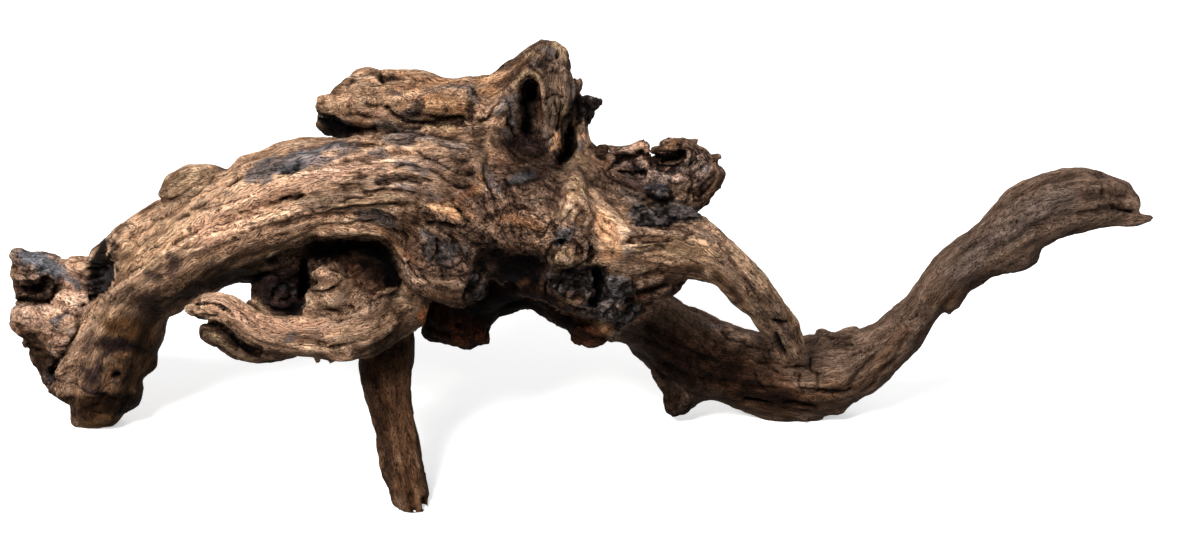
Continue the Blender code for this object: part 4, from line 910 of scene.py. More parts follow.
# small patches of colour on the front: (wood, amount, softness, path)
PATCHES = [
    # left foot, upper lobe; the dark below it is painted shade
    ("blue", 0.9, 2.5, [(20, 254, 3), (30, 257, 6), (42, 264, 9), (52, 269, 8), (58, 277, 4)]),
    ("ochre", 0.8, 1.5, [(9, 252, 2), (8, 263, 2.5), (11, 273, 3)]),
    ("tan", 0.6, 2, [(20, 271, 3)]), ("tan", 0.6, 2, [(32, 268, 2.5)]),
    ("dark", 0.85, 2, [(24, 285, 4), (36, 287, 6), (50, 286, 5), (56, 291, 4)]),
    ("brown", 0.8, 1, [(53, 280, 1), (45, 288, 2), (36, 298, 1.5)]),
    ("umber", 0.8, 2, [(16, 284, 3), (18, 297, 3)]),
    ("rose", 0.9, 2, [(74, 263, 5), (78, 273, 6)]),
    ("blue", 0.85, 2, [(64, 268, 3), (68, 279, 3), (77, 285, 4), (70, 288, 3)]),
    ("rose", 0.85, 3, [(66, 291, 7), (60, 301, 8), (76, 299, 8), (84, 296, 5)]),
    ("blue", 0.8, 1.5, [(50, 303, 2.5)]), ("blue", 0.8, 2, [(15, 303, 2.5), (26, 306, 2.5)]),
    # second lobe; the umber down its left side and the dark at its foot are painted shade
    ("rose", 0.9, 2.5, [(14, 311, 4), (28, 311, 5), (42, 316, 7), (46, 328, 5)]),
    ("brown", 0.5, 3, [(28, 320, 6), (42, 325, 5)]),
    ("blue", 0.85, 2, [(53, 321, 4), (60, 317, 4), (65, 314, 3)]), ("slate", 0.8, 2, [(56, 328, 3)]),
    ("tan", 0.8, 3, [(66, 326, 6), (77, 322, 5)]), ("blue", 0.8, 2, [(70, 332, 3), (75, 330, 3)]),
    ("rose", 0.85, 2, [(56, 338, 4), (64, 342, 6), (58, 350, 4)]),
    ("umber", 0.95, 2.5, [(18, 324, 3), (25, 335, 5), (34, 344, 7), (30, 352, 5), (42, 345, 6), (40, 358, 7), (46, 370, 4)]),
    ("dark", 0.9, 2, [(66, 353, 3), (58, 361, 5), (52, 372, 4), (50, 381, 3)]), ("blue", 0.7, 2, [(47, 372, 2), (51, 380, 2)]),
    # charred recess
    ("black", 1.0, 1.5, [(106, 246, 6), (103, 256, 8), (101, 270, 12), (104, 284, 10), (96, 298, 6)]),
    ("blue", 0.45, 3, [(104, 268, 5), (110, 277, 5), (100, 281, 5), (104, 291, 4)]),
    # long edge and the foot's face
    ("tan", 0.9, 2, [(150, 268, 4), (130, 281, 4), (112, 294, 4), (92, 308, 4), (82, 323, 4), (76, 340, 4), (68, 356, 4), (60, 368, 4)]),
    ("purple", 0.7, 2.5, [(92, 334, 4), (88, 344, 5), (88, 352, 4)]),
    ("purple", 0.9, 2.5, [(101, 341, 3), (109, 346, 6), (120, 344, 7), (128, 350, 4)]), ("purple", 0.85, 2, [(132, 346, 3), (143, 351, 4), (152, 345, 5)]), ("purple", 0.75, 3, [(104, 355, 4), (97, 362, 4)]), ("umber", 0.8, 2, [(131, 366, 3), (134, 375, 4)]),
    ("purple", 0.9, 3, [(83, 371, 4), (92, 376, 7), (99, 369, 5)]), ("purple", 0.8, 3, [(86, 388, 5), (95, 393, 5), (104, 396, 4)]), ("tan", 0.7, 2, [(103, 362, 3), (110, 358, 3), (116, 362, 3)]), ("tan", 0.6, 2, [(132, 360, 3), (140, 364, 4), (133, 384, 4)]),
    ("brown", 0.7, 5, [(112, 300, 7), (128, 296, 8), (140, 300, 8)]),
    ("purple", 0.7, 3, [(146, 300, 5), (156, 292, 5)]), ("umber", 0.8, 4, [(154, 318, 8), (152, 334, 8), (155, 352, 7), (155, 370, 6)]),
    ("orange", 0.75, 3, [(112, 326, 8), (126, 326, 10), (136, 335, 6)]),
    ("orange", 0.8, 1.5, [(117, 356, 4), (128, 357, 4)]), ("orange", 0.8, 2, [(109, 384, 6), (107, 392, 4), (119, 390, 4)]),
    ("orange", 0.8, 2, [(146, 358, 3), (143, 368, 5), (136, 379, 4), (132, 388, 3)]), ("orange", 0.7, 1.5, [(107, 368, 3), (119, 369, 3)]),
    ("black", 1.0, 1, [(114, 375, 2.5), (119, 375, 2)]), ("rose", 0.8, 1.5, [(112, 382, 3), (119, 384, 2.5)]),
    ("brown", 0.7, 3, [(128, 379, 4), (128, 367, 4)]),
    ("rose", 0.6, 3, [(66, 368, 5), (70, 378, 5), (60, 388, 5)]),
    ("umber", 0.9, 4, [(76, 400, 5), (95, 402, 9), (115, 404, 8), (130, 400, 6)]), ("black", 0.8, 3, [(120, 409, 4), (135, 402, 5), (140, 394, 4)]),
    ("ochre", 0.9, 2, [(84, 425, 4), (98, 424, 6), (110, 418, 5)]), ("ochre", 0.6, 2, [(74, 400, 3), (77, 407, 3)]),
    # arm, lower part and its lump; the umber and dark along its underside are painted shade
    ("ochre", 0.45, 8, [(125, 258, 12), (150, 250, 14), (165, 232, 14), (185, 215, 12)]),
    ("moss", 0.6, 6, [(170, 185, 8), (190, 185, 12), (205, 178, 8)]),
    ("umber", 0.75, 2, [(160, 190, 3), (168, 182, 3), (178, 175, 3)]), ("umber", 0.75, 2, [(160, 199, 3), (172, 197, 3)]),
    ("umber", 0.7, 1, [(175, 200, 1.5), (190, 193, 1.5), (205, 184, 1.5)]),
    ("blue", 0.9, 1.5, [(219, 168, 2.5), (227, 169, 2.5)]), ("slate", 0.7, 2, [(225, 193, 3)]),
    ("umber", 0.9, 1.5, [(141, 214, 2.5), (150, 208, 3), (158, 203, 2.5)]), ("umber", 0.9, 2, [(118, 232, 3), (124, 225, 3)]),
    ("umber", 0.7, 2, [(152, 236, 2), (165, 231, 2)]), ("brown", 0.6, 3, [(160, 212, 3), (185, 216, 4)]),
    ("umber", 0.75, 2, [(183, 247, 2), (205, 242, 3), (225, 236, 3), (240, 233, 2)]), ("umber", 0.6, 1.2, [(190, 253, 1.5), (215, 246, 1.5), (245, 238, 1.5)]),
    ("umber", 0.5, 1.2, [(200, 262, 1.5), (225, 255, 1.5), (250, 247, 1.5)]),
    ("dark", 0.8, 2, [(282, 225, 3), (288, 222, 3)]), ("umber", 0.6, 3, [(253, 232, 3)]),
    ("purple", 0.85, 3, [(168, 257, 4), (176, 262, 6), (172, 272, 5)]), ("purple", 0.8, 3, [(150, 274, 5), (160, 278, 5)]),
    ("purple", 0.75, 3, [(205, 268, 6), (212, 262, 5)]), ("umber", 0.85, 6, [(165, 290, 8), (190, 280, 9), (215, 276, 8), (245, 272, 7)]),
    ("dark", 0.8, 4, [(155, 308, 6), (175, 298, 6), (200, 286, 5), (225, 279, 4)]),
    ("rose", 0.7, 6, [(205, 225, 10), (240, 210, 12), (280, 192, 10), (310, 182, 8)]),
    ("pale", 0.7, 4, [(262, 256, 5), (285, 246, 6), (305, 236, 6), (325, 228, 5)]),
    ("greybrown", 0.75, 5, [(310, 205, 8), (330, 200, 9), (348, 195, 7)]),
    ("dark", 0.9, 1.2, [(282, 200, 2), (292, 197, 2.5), (303, 196, 2)]), ("umber", 0.6, 2, [(280, 208, 3)]),
    ("purple", 0.9, 2, [(268, 258, 4), (275, 262, 5)]), ("slate", 0.8, 1.5, [(265, 258, 3), (273, 257, 2.5)]),
    # great blue stain of the arm
    ("slate", 0.9, 2.5, [(246, 177, 4), (256, 172, 7), (268, 167, 8), (280, 163, 8), (298, 160, 8), (314, 155, 7), (330, 149, 6), (343, 145, 4)]),
    ("slate", 0.9, 2, [(262, 183, 3), (270, 178, 4)]),
    ("blue", 0.95, 2, [(280, 169, 4), (290, 168, 6), (300, 165, 5)]), ("blue", 0.8, 2, [(285, 157, 2), (298, 153, 3), (315, 150, 3), (335, 144, 3), (350, 143, 3)]),
    ("char", 0.8, 1.5, [(282, 173, 2), (292, 170, 3), (300, 166, 2.5)]),
    # flaky top of the arm; the pale line with the umber line under it is a painted highlight over a painted shadow
    ("slate", 0.85, 3, [(355, 147, 4), (340, 154, 4), (318, 163, 4)]), ("slate", 0.85, 2.5, [(386, 140, 4), (398, 142, 5), (412, 140, 4)]),
    ("umber", 0.85, 2, [(345, 160, 3), (358, 160, 3), (370, 161, 2.5)]), ("slate", 0.8, 2, [(372, 153, 4), (385, 156, 4), (380, 150, 3)]),
    ("slate", 0.85, 2, [(398, 163, 4), (412, 165, 4)]), ("slate", 0.8, 2, [(412, 170, 3), (425, 171, 4)]),
    ("char", 0.75, 1.8, [(378, 181, 3), (392, 179, 4), (405, 178, 3), (420, 180, 2.5)]),
    ("umber", 0.8, 1.2, [(355, 178, 1.5), (363, 175, 1.5)]), ("umber", 0.75, 2, [(335, 190, 3), (350, 188, 3), (362, 187, 2)]),
    ("slate", 0.75, 2.5, [(400, 188, 4), (412, 189, 4)]), ("slate", 0.7, 3, [(430, 196, 5), (440, 199, 4)]),
    ("tan", 0.9, 1.5, [(323, 153, 3), (334, 153, 3.5)]), ("tan", 0.9, 1.5, [(352, 155, 3)]), ("tan", 0.9, 1.5, [(366, 147, 3), (380, 143, 3)]),
    ("tan", 0.9, 1.5, [(403, 150, 4)]), ("tan", 0.85, 1.5, [(418, 146, 3)]), ("tan", 0.9, 1.5, [(434, 149, 4)]), ("ochre", 0.85, 1.5, [(444, 155, 3.5)]),
    ("rose", 0.8, 5, [(318, 180, 8), (340, 172, 8), (358, 168, 6), (375, 170, 5)]), ("tan", 0.7, 2, [(375, 190, 4), (368, 195, 4)]),
    ("slate", 0.7, 3, [(435, 140, 4), (450, 145, 6), (462, 150, 6)]), ("brown", 0.7, 4, [(455, 160, 7), (468, 156, 6), (440, 165, 7), (425, 160, 6)]),
    ("dark", 0.9, 1.5, [(458, 172, 3), (466, 172, 4), (472, 170, 3)]), ("dark", 0.8, 1.5, [(452, 180, 2.5), (462, 183, 3.5), (470, 184, 2.5)]),
    ("umber", 0.7, 3, [(442, 178, 4), (450, 190, 4), (440, 186, 4)]), ("brown", 0.7, 4, [(425, 185, 6), (415, 195, 5)]),
    ("pale", 0.9, 1.5, [(337, 208, 2.5), (352, 203, 3), (372, 199, 3), (390, 196, 2.5), (400, 197, 2)]),
    ("umber", 0.85, 1.5, [(315, 213, 1.5), (345, 209, 2), (372, 206, 2), (395, 203, 3), (405, 203, 4)]),
    ("slate", 0.9, 3, [(362, 216, 5), (376, 216, 7), (388, 219, 6), (396, 226, 4)]),
    ("orange", 0.8, 2, [(380, 229, 2.5), (390, 238, 3), (398, 247, 3), (402, 254, 2)]),
    ("tan", 0.8, 2, [(320, 232, 3), (340, 229, 3), (362, 230, 3), (380, 238, 3), (394, 254, 3)]), ("brown", 0.6, 2, [(396, 262, 3), (405, 272, 4), (414, 286, 4)]),
    ("umber", 0.75, 5, [(405, 215, 7), (410, 230, 8), (418, 205, 5)]), ("umber", 0.6, 4, [(408, 245, 6), (416, 262, 5)]), ("rust", 0.6, 2, [(405, 252, 3), (412, 260, 3)]),
    # torn bundles right of it; the black under them is painted shadow
    ("orange", 0.95, 1.5, [(430, 205, 4), (441, 208, 5), (452, 211, 5), (458, 217, 3)]), ("pale", 0.5, 1.5, [(436, 203, 2), (450, 205, 2)]),
    ("rust", 0.9, 2, [(455, 198, 3), (463, 196, 4), (470, 193, 4), (474, 186, 3)]), ("orange", 0.8, 1.5, [(479, 176, 2), (480, 185, 3), (476, 193, 3)]),
    ("black", 0.95, 1.2, [(452, 200, 2)]), ("black", 0.85, 1.5, [(430, 224, 2), (442, 223, 2), (454, 226, 2)]), ("dark", 0.9, 2, [(463, 218, 4), (470, 222, 4)]),
    ("brown", 0.8, 6, [(478, 205, 8), (488, 215, 10), (480, 225, 8)]),
    # plates of the cheek
    ("slate", 0.9, 2, [(424, 232, 5), (432, 238, 5), (428, 250, 5), (432, 258, 4)]), ("pale", 0.7, 1, [(418, 227, 1.5), (426, 229, 1.5), (434, 227, 1.5)]),
    ("blue", 0.8, 2, [(443, 244, 5), (450, 252, 8), (448, 262, 6), (440, 256, 4)]), ("slate", 0.8, 2, [(450, 250, 9)]),
    ("blue", 0.6, 2, [(464, 248, 4), (468, 254, 3)]), ("greybrown", 0.7, 2, [(468, 234, 5), (472, 240, 3)]), ("rust", 0.6, 1.5, [(456, 234, 3)]),
    ("brown", 0.7, 5, [(445, 275, 8), (462, 268, 8), (478, 258, 6), (430, 275, 7)]),
    ("tan", 0.6, 1.5, [(412, 279, 2), (422, 282, 2.5), (436, 283, 2), (450, 286, 2), (463, 286, 2)]),
    ("umber", 0.8, 4, [(428, 294, 5), (445, 296, 6), (460, 296, 5)]), ("brown", 0.6, 3, [(418, 292, 5)]),
    ("char", 0.9, 2, [(483, 266, 5), (476, 277, 6), (470, 288, 5), (476, 296, 5), (484, 282, 4)]), ("blue", 0.7, 1.5, [(486, 262, 2), (477, 277, 3), (470, 285, 2)]),
    # slab; the black under its lip and the dark lines under its lump are painted shadow
    ("black", 1.0, 1.5, [(319, 114, 3), (325, 120, 6), (337, 125, 8), (350, 127, 7), (362, 134, 2)]), ("moss", 0.5, 1.5, [(318, 124, 2), (320, 128, 2)]),
    ("slate", 0.75, 1.5, [(347, 120, 3)]), ("umber", 0.9, 2, [(330, 92, 3), (342, 84, 4), (352, 80, 3)]), ("char", 0.7, 1.5, [(348, 87, 2), (355, 79, 2)]),
    ("tan", 0.95, 3, [(317, 101, 4), (330, 102, 6), (345, 101, 7), (360, 97, 7)]), ("ochre", 0.7, 2, [(340, 112, 2), (352, 114, 3)]),
    ("tan", 0.8, 4, [(362, 82, 5), (372, 86, 6), (380, 94, 4)]), ("umber", 0.85, 2, [(368, 72, 2), (377, 71, 3)]), ("dark", 0.95, 1.2, [(380, 75, 2.5), (383, 82, 2)]),
    ("dark", 0.85, 1.5, [(386, 77, 3), (395, 77, 3), (403, 75, 2)]), ("orange", 0.8, 3, [(398, 72, 3), (410, 76, 3), (425, 80, 4), (440, 82, 4), (460, 84, 3)]),
    ("umber", 0.7, 2, [(413, 84, 2), (430, 77, 2), (445, 79, 2)]), ("slate", 0.75, 1.5, [(392, 92, 3), (400, 95, 2.5)]), ("orange", 0.7, 3, [(400, 87, 4), (420, 90, 4)]),
    ("slate", 0.85, 2, [(425, 91, 2), (440, 89, 2.5), (455, 87, 2.5), (466, 87, 3), (474, 92, 3)]), ("slate", 0.8, 2, [(470, 94, 4), (476, 101, 4)]),
    ("tan", 0.85, 3, [(390, 101, 3), (405, 99, 4), (420, 96, 4), (440, 94, 4), (460, 93, 4)]),
    ("orange", 0.9, 3, [(430, 103, 7), (442, 104, 9), (456, 105, 9), (462, 114, 6)]), ("rust", 0.6, 2, [(458, 102, 3), (460, 112, 3)]),
    ("char", 0.85, 2, [(415, 105, 4), (423, 103, 3), (418, 112, 5), (408, 112, 4)]), ("slate", 0.7, 2, [(402, 113, 3), (412, 119, 3), (422, 121, 2)]),
    ("char", 0.8, 1.5, [(445, 108, 2), (446, 112, 2)]), ("dark", 0.8, 1.2, [(426, 120, 1.5), (438, 120, 1.8), (450, 122, 1.6), (462, 124, 1.6)]), ("dark", 0.95, 1.5, [(470, 104, 4), (471, 113, 4), (467, 121, 3)]),
    ("rose", 0.85, 3, [(362, 113, 4), (376, 112, 5), (388, 114, 4)]), ("orange", 0.7, 3, [(358, 124, 4), (365, 124, 4)]),
    ("slate", 0.85, 2, [(374, 126, 4), (384, 124, 5), (394, 128, 4)]), ("dark", 0.8, 1.5, [(398, 124, 3), (410, 128, 3), (420, 127, 3)]),
    ("ochre", 0.9, 2, [(425, 126, 3), (438, 124, 3), (448, 126, 4), (455, 130, 4), (442, 131, 4)]), ("brown", 0.6, 3, [(465, 130, 5), (478, 127, 5)]),
    ("slate", 0.85, 2, [(390, 134, 3), (402, 133, 4), (416, 134, 4), (430, 137, 3)]), ("dark", 0.85, 1.5, [(375, 138, 3), (382, 136, 2)]), ("umber", 0.7, 2, [(440, 137, 3), (455, 137, 3)]),
    # neck, rim and wall; the black under the flap's splinters, in the cleft and in the hole is painted shade
    ("orange", 0.8, 3, [(478, 82, 4), (490, 80, 5), (502, 76, 5)]), ("orange", 0.8, 3, [(482, 92, 4), (495, 92, 5), (492, 86, 3)]), ("umber", 0.8, 2, [(492, 84, 2), (503, 84, 3), (508, 76, 3)]),
    ("umber", 0.8, 3, [(515, 66, 5), (524, 62, 5), (518, 72, 4)]), ("moss", 0.7, 2, [(527, 56, 4), (534, 53, 4)]), ("slate", 0.6, 3, [(535, 62, 5), (540, 66, 4)]),
    ("moss", 0.95, 1.5, [(516, 82, 3), (522, 75, 3), (532, 72, 3.5), (539, 77, 3)]), ("moss", 0.6, 2, [(513, 88, 3), (516, 92, 3)]),
    ("dark", 0.6, 2, [(541, 63, 5), (545, 70, 4)]), ("slate", 0.75, 2, [(545, 48, 3), (552, 50, 4), (550, 57, 4)]), ("ochre", 0.8, 2, [(555, 43, 3), (560, 50, 3), (564, 60, 3)]),
    ("dark", 0.9, 1.2, [(557, 53, 2), (558, 57, 1.5)]), ("dark", 0.7, 1.5, [(552, 72, 2), (560, 72, 2), (566, 71, 2)]), ("greybrown", 0.7, 2, [(553, 64, 4), (561, 65, 4)]),
    ("moss", 0.7, 2, [(553, 78, 3), (557, 84, 3)]), ("rose", 0.7, 2, [(541, 84, 2), (543, 95, 2)]), ("rose", 0.7, 2, [(560, 86, 3), (564, 92, 2)]), ("rust", 0.8, 1.5, [(541, 102, 2.5), (541, 115, 2.5), (540, 122, 2)]),
    ("greybrown", 0.7, 3, [(548, 100, 4), (550, 115, 5), (548, 130, 4)]), ("moss", 0.7, 3, [(560, 106, 4), (565, 112, 4)]), ("umber", 0.75, 2, [(557, 110, 3), (561, 122, 4), (556, 128, 3)]),
    ("orange", 0.6, 1.5, [(568, 112, 2), (570, 122, 2), (566, 132, 2)]), ("slate", 0.7, 2, [(543, 128, 2.5), (544, 136, 2.5)]),
    ("orange", 1.0, 1, [(556, 134, 2.5), (556, 142, 2.5), (552, 149, 2)]), ("orange", 0.95, 1, [(559, 140, 1.5), (563, 150, 1.5)]),
    ("black", 0.95, 1.2, [(555, 152, 3), (558, 162, 3.5), (560, 169, 3)]), ("black", 0.95, 1.5, [(571, 112, 3), (570, 128, 4), (568, 145, 4), (564, 160, 4)]),
    ("blue", 0.8, 1.5, [(573, 84, 2), (572, 95, 2), (574, 90, 2)]), ("rose", 0.7, 1, [(577, 80, 1.5)]),
    ("slate", 0.85, 2, [(500, 103, 3), (508, 99, 4), (516, 98, 4), (522, 97, 2)]), ("blue", 0.75, 2, [(511, 107, 4), (513, 116, 5), (514, 126, 4)]), ("slate", 0.8, 2, [(497, 112, 4), (500, 106, 3)]),
    ("rose", 0.85, 1.5, [(493, 121, 3), (500, 124, 4), (505, 120, 2.5)]), ("dark", 0.9, 1.5, [(503, 114, 3)]), ("slate", 0.7, 2, [(503, 131, 4), (508, 136, 4)]),
    ("black", 0.95, 2.5, [(523, 103, 4), (524, 118, 6), (528, 130, 7)]), ("dark", 0.7, 3, [(517, 112, 4), (519, 125, 5)]),
    ("rose", 0.7, 1.5, [(477, 108, 3), (484, 111, 4)]), ("dark", 0.85, 2, [(490, 116, 2), (480, 119, 2.5)]),
    # basin; the black in its deep pit is painted shade
    ("purple", 0.8, 4, [(512, 142, 8), (525, 145, 8), (540, 145, 7)]), ("brown", 0.6, 3, [(500, 145, 6), (505, 158, 6), (500, 166, 5)]), ("rust", 0.35, 4, [(502, 150, 6), (498, 160, 5), (510, 160, 5)]),
    ("orange", 0.75, 1.5, [(489, 140, 2), (488, 148, 2), (491, 154, 2)]), ("dark", 0.75, 3, [(475, 138, 5), (483, 128, 4), (478, 150, 5)]),
    ("dark", 0.8, 2, [(484, 160, 3), (485, 168, 3)]), ("blue", 0.6, 2, [(485, 170, 3), (490, 177, 4), (489, 187, 3)]), ("slate", 0.6, 3, [(495, 182, 5), (500, 190, 5)]),
    ("blue", 0.95, 1.2, [(512, 182, 3), (520, 178, 4.5), (530, 174, 4), (536, 173, 2)]), ("black", 0.95, 1, [(505, 179, 1.5), (511, 186, 1.5), (520, 185, 1.5), (530, 180, 1.5), (538, 177, 1.2)]),
    ("brown", 0.8, 4, [(530, 192, 9), (545, 190, 8), (555, 195, 8), (515, 195, 7)]), ("greybrown", 0.7, 3, [(545, 200, 6), (525, 203, 5)]),
    ("orange", 0.8, 2, [(505, 218, 4), (516, 220, 5), (530, 224, 5), (538, 228, 3)]), ("brown", 0.7, 4, [(500, 235, 8), (515, 238, 8), (530, 236, 8)]), ("rust", 0.6, 2, [(508, 249, 3), (504, 262, 3)]),
    ("umber", 0.7, 2, [(510, 208, 3), (524, 208, 3), (532, 211, 2)]), ("umber", 0.6, 4, [(520, 244, 5), (535, 244, 5)]), ("moss", 0.5, 3, [(562, 172, 6), (572, 166, 5)]),
    ("black", 0.95, 2, [(545, 168, 2), (554, 169, 2), (560, 168, 2)]), ("black", 0.9, 1, [(556, 178, 1.5), (554, 181, 1.5)]),
    # hollow under the ledge, painted black: painted shade
    ("black", 0.95, 3, [(500, 258, 6), (512, 266, 10), (528, 262, 9), (538, 262, 6)]), ("black", 0.95, 3, [(498, 272, 7), (512, 280, 9), (532, 276, 9)]), ("rust", 0.45, 2, [(503, 290, 3), (515, 285, 3), (528, 281, 3)]),
    # twig
    ("black", 0.95, 1.5, [(576, 104, 5), (584, 106, 7), (592, 104, 5), (597, 102, 4)]), ("black", 0.9, 1.5, [(590, 116, 5), (586, 124, 3)]), ("char", 0.6, 2, [(582, 102, 3), (585, 112, 2)]),
    ("greybrown", 0.85, 1.5, [(577, 129, 3), (583, 130, 3)]), ("rose", 0.7, 1.5, [(580, 136, 4), (584, 138, 3)]), ("slate", 0.8, 2, [(581, 143, 4), (582, 150, 4)]), ("moss", 0.7, 2, [(580, 158, 5), (583, 164, 5)]),
    ("dark", 0.9, 1.5, [(590, 147, 3), (597, 149, 4), (603, 151, 3)]), ("dark", 0.9, 1.5, [(598, 157, 3), (604, 158, 2)]), ("rose", 0.7, 2, [(592, 158, 3), (596, 165, 4), (602, 163, 3)]),
    # burls; the black dot in the pit is painted shade
    ("ochre", 0.8, 3, [(575, 182, 6), (582, 188, 5), (572, 194, 5)]), ("black", 0.95, 1, [(574, 189, 2)]), ("rust", 0.5, 1.5, [(578, 192, 3)]),
    ("umber", 0.8, 2, [(580, 208, 5), (584, 216, 5)]), ("umber", 0.8, 1.5, [(582, 214, 1.5)]), ("rust", 0.6, 2, [(577, 222, 4)]), ("moss", 0.7, 2, [(568, 210, 3), (566, 220, 3), (561, 214, 3)]),
    ("moss", 0.85, 2, [(552, 250, 3), (549, 260, 3), (556, 264, 4), (566, 266, 4)]), ("ochre", 0.7, 2, [(562, 254, 4), (572, 252, 4), (576, 260, 4)]), ("umber", 0.8, 1.5, [(576, 246, 3), (570, 242, 2)]),
    ("blue", 0.95, 1.2, [(558, 242, 4), (563, 236, 4), (567, 232, 3)]), ("char", 0.9, 1.2, [(556, 234, 2), (570, 240, 2), (552, 243, 2)]), ("brown", 0.7, 2, [(580, 232, 5), (585, 228, 4)]),
    ("orange", 0.8, 4, [(600, 215, 8), (606, 235, 9), (612, 252, 9), (600, 262, 6)]), ("tan", 0.7, 3, [(595, 195, 5), (600, 205, 6)]), ("pale", 0.5, 3, [(592, 262, 4), (600, 266, 4)]),
    ("brown", 0.6, 3, [(612, 200, 4), (608, 190, 4)]), ("umber", 0.6, 1.5, [(608, 202, 2), (616, 199, 2)]),
    # crown; the black in its gaps and in the knot's hollow is painted shade
    ("dark", 0.95, 1.5, [(616, 155, 4), (625, 157, 4), (630, 161, 3)]), ("umber", 0.8, 2, [(610, 160, 4), (607, 166, 3)]), ("rose", 0.95, 1.5, [(632, 149, 3), (640, 147, 4), (647, 150, 3)]),
    ("umber", 0.7, 1, [(638, 150, 2), (637, 155, 1.5)]), ("rose", 0.8, 1.5, [(640, 158, 3), (646, 163, 3)]), ("black", 0.9, 1.5, [(634, 165, 3), (640, 170, 4), (645, 174, 3)]), ("black", 0.85, 1.5, [(623, 174, 2), (632, 177, 2)]),
    ("brown", 0.8, 3, [(618, 170, 5), (612, 178, 5), (628, 184, 6)]), ("purple", 0.6, 3, [(640, 185, 5), (625, 180, 5)]), ("slate", 0.7, 3, [(622, 192, 4), (632, 198, 5), (640, 202, 4)]),
    ("black", 1.0, 1.5, [(660, 156, 5), (664, 163, 6), (674, 161, 6), (680, 157, 4)]), ("dark", 0.9, 1.5, [(656, 161, 3), (662, 170, 4), (672, 170, 3)]), ("umber", 0.9, 1, [(656, 150, 3), (662, 148, 3)]),
    ("orange", 0.8, 1.5, [(668, 146, 3), (676, 142, 3)]), ("brown", 0.8, 2, [(685, 142, 4), (693, 147, 4), (699, 152, 4)]), ("dark", 0.7, 1.5, [(682, 142, 2), (680, 149, 2)]),
    ("greybrown", 0.8, 2.5, [(690, 160, 5), (700, 165, 5), (706, 170, 4)]), ("slate", 0.6, 2, [(707, 168, 4)]), ("tan", 0.5, 2, [(712, 164, 3), (719, 170, 3)]), ("rose", 0.8, 2, [(673, 178, 4), (682, 176, 4)]),
    ("umber", 0.9, 2, [(711, 178, 4), (713, 186, 5), (706, 192, 4)]), ("brown", 0.7, 3, [(690, 180, 5), (700, 186, 5)]), ("dark", 0.9, 1.5, [(669, 180, 2), (675, 184, 2)]), ("tan", 0.6, 3, [(682, 192, 5), (690, 196, 4)]),
    ("black", 0.95, 1.5, [(648, 190, 3), (652, 197, 4), (660, 200, 3), (668, 200, 3)]), ("blue", 0.7, 1.5, [(650, 186, 3), (658, 187, 4), (666, 188, 3)]), ("blue", 0.5, 1.5, [(660, 195, 4)]),
    ("char", 1.0, 1.5, [(634, 206, 3), (640, 215, 7), (650, 214, 9), (665, 214, 10), (680, 210, 9), (692, 214, 7), (703, 215, 2)]), ("char", 1.0, 1.5, [(636, 222, 5), (646, 225, 4), (668, 222, 5)]),
    ("slate", 0.5, 2, [(675, 205, 5), (685, 208, 5), (692, 212, 4)]),
    # root of the tusk and the tusk; the black in the split of its broken end is painted shade
    ("orange", 0.9, 2, [(655, 234, 3), (657, 240, 2)]), ("brown", 0.8, 2, [(632, 232, 4), (645, 234, 4), (668, 231, 4), (684, 228, 4)]), ("umber", 0.7, 1.2, [(625, 241, 2), (632, 242, 2)]), ("umber", 0.6, 1.2, [(645, 241, 1.5), (665, 241, 1.5), (682, 238, 1.5)]),
    ("slate", 0.8, 1.5, [(627, 252, 3), (630, 257, 3)]), ("slate", 0.6, 3, [(700, 232, 4), (712, 238, 5)]), ("ochre", 0.5, 5, [(660, 252, 7), (685, 250, 7), (700, 256, 6)]), ("tan", 0.3, 5, [(705, 224, 4), (715, 232, 4), (725, 244, 4)]),
    ("umber", 0.85, 3, [(650, 270, 5), (668, 272, 6), (682, 268, 5), (700, 268, 5)]), ("umber", 0.85, 3, [(715, 275, 5), (728, 287, 5), (740, 300, 5)]),
    ("greybrown", 0.7, 5, [(725, 262, 7), (745, 284, 9), (765, 308, 9), (782, 330, 8)]), ("slate", 0.5, 3, [(770, 295, 4), (780, 310, 5)]), ("pale", 0.5, 3, [(735, 255, 3), (755, 275, 3), (770, 290, 3)]),
    ("purple", 0.85, 1.2, [(779, 322, 3), (786, 326, 4), (790, 338, 4)]), ("rose", 0.8, 1.5, [(798, 352, 3), (795, 358, 3)]), ("rose", 0.7, 1.2, [(775, 345, 1.5), (779, 355, 1.5)]), ("black", 1.0, 1, [(777, 336, 2), (781, 345, 2), (784, 353, 1.5)]),
    # charred folds; the black in the gaps between them and the dark under the belly are painted shade
    ("char", 0.95, 2, [(551, 272, 4), (552, 284, 4), (560, 279, 4), (575, 275, 5), (590, 272, 6), (600, 272, 5)]), ("char", 0.9, 2, [(560, 292, 6), (572, 290, 7), (585, 286, 8), (594, 282, 6)]),
    ("black", 0.95, 1.5, [(566, 288, 1.5), (575, 283, 1.5), (584, 279, 1.5)]), ("black", 1.0, 1.5, [(599, 292, 4), (597, 298, 4), (590, 304, 4)]), ("moss", 0.5, 2, [(556, 296, 3), (565, 302, 3), (573, 305, 2)]),
    ("rust", 0.4, 2, [(568, 294, 4), (578, 298, 5)]), ("char", 1.0, 2, [(607, 284, 6), (617, 284, 8), (626, 282, 6), (628, 290, 5)]), ("blue", 0.6, 2, [(610, 278, 3), (622, 277, 3), (614, 291, 4)]),
    ("char", 0.9, 2, [(604, 308, 5), (614, 306, 6), (626, 306, 7), (634, 314, 6), (625, 322, 5), (606, 316, 5)]), ("tan", 0.5, 1.2, [(618, 307, 1.5), (623, 309, 1.5), (626, 305, 1.5)]), ("slate", 0.7, 2, [(602, 307, 3), (608, 303, 3)]),
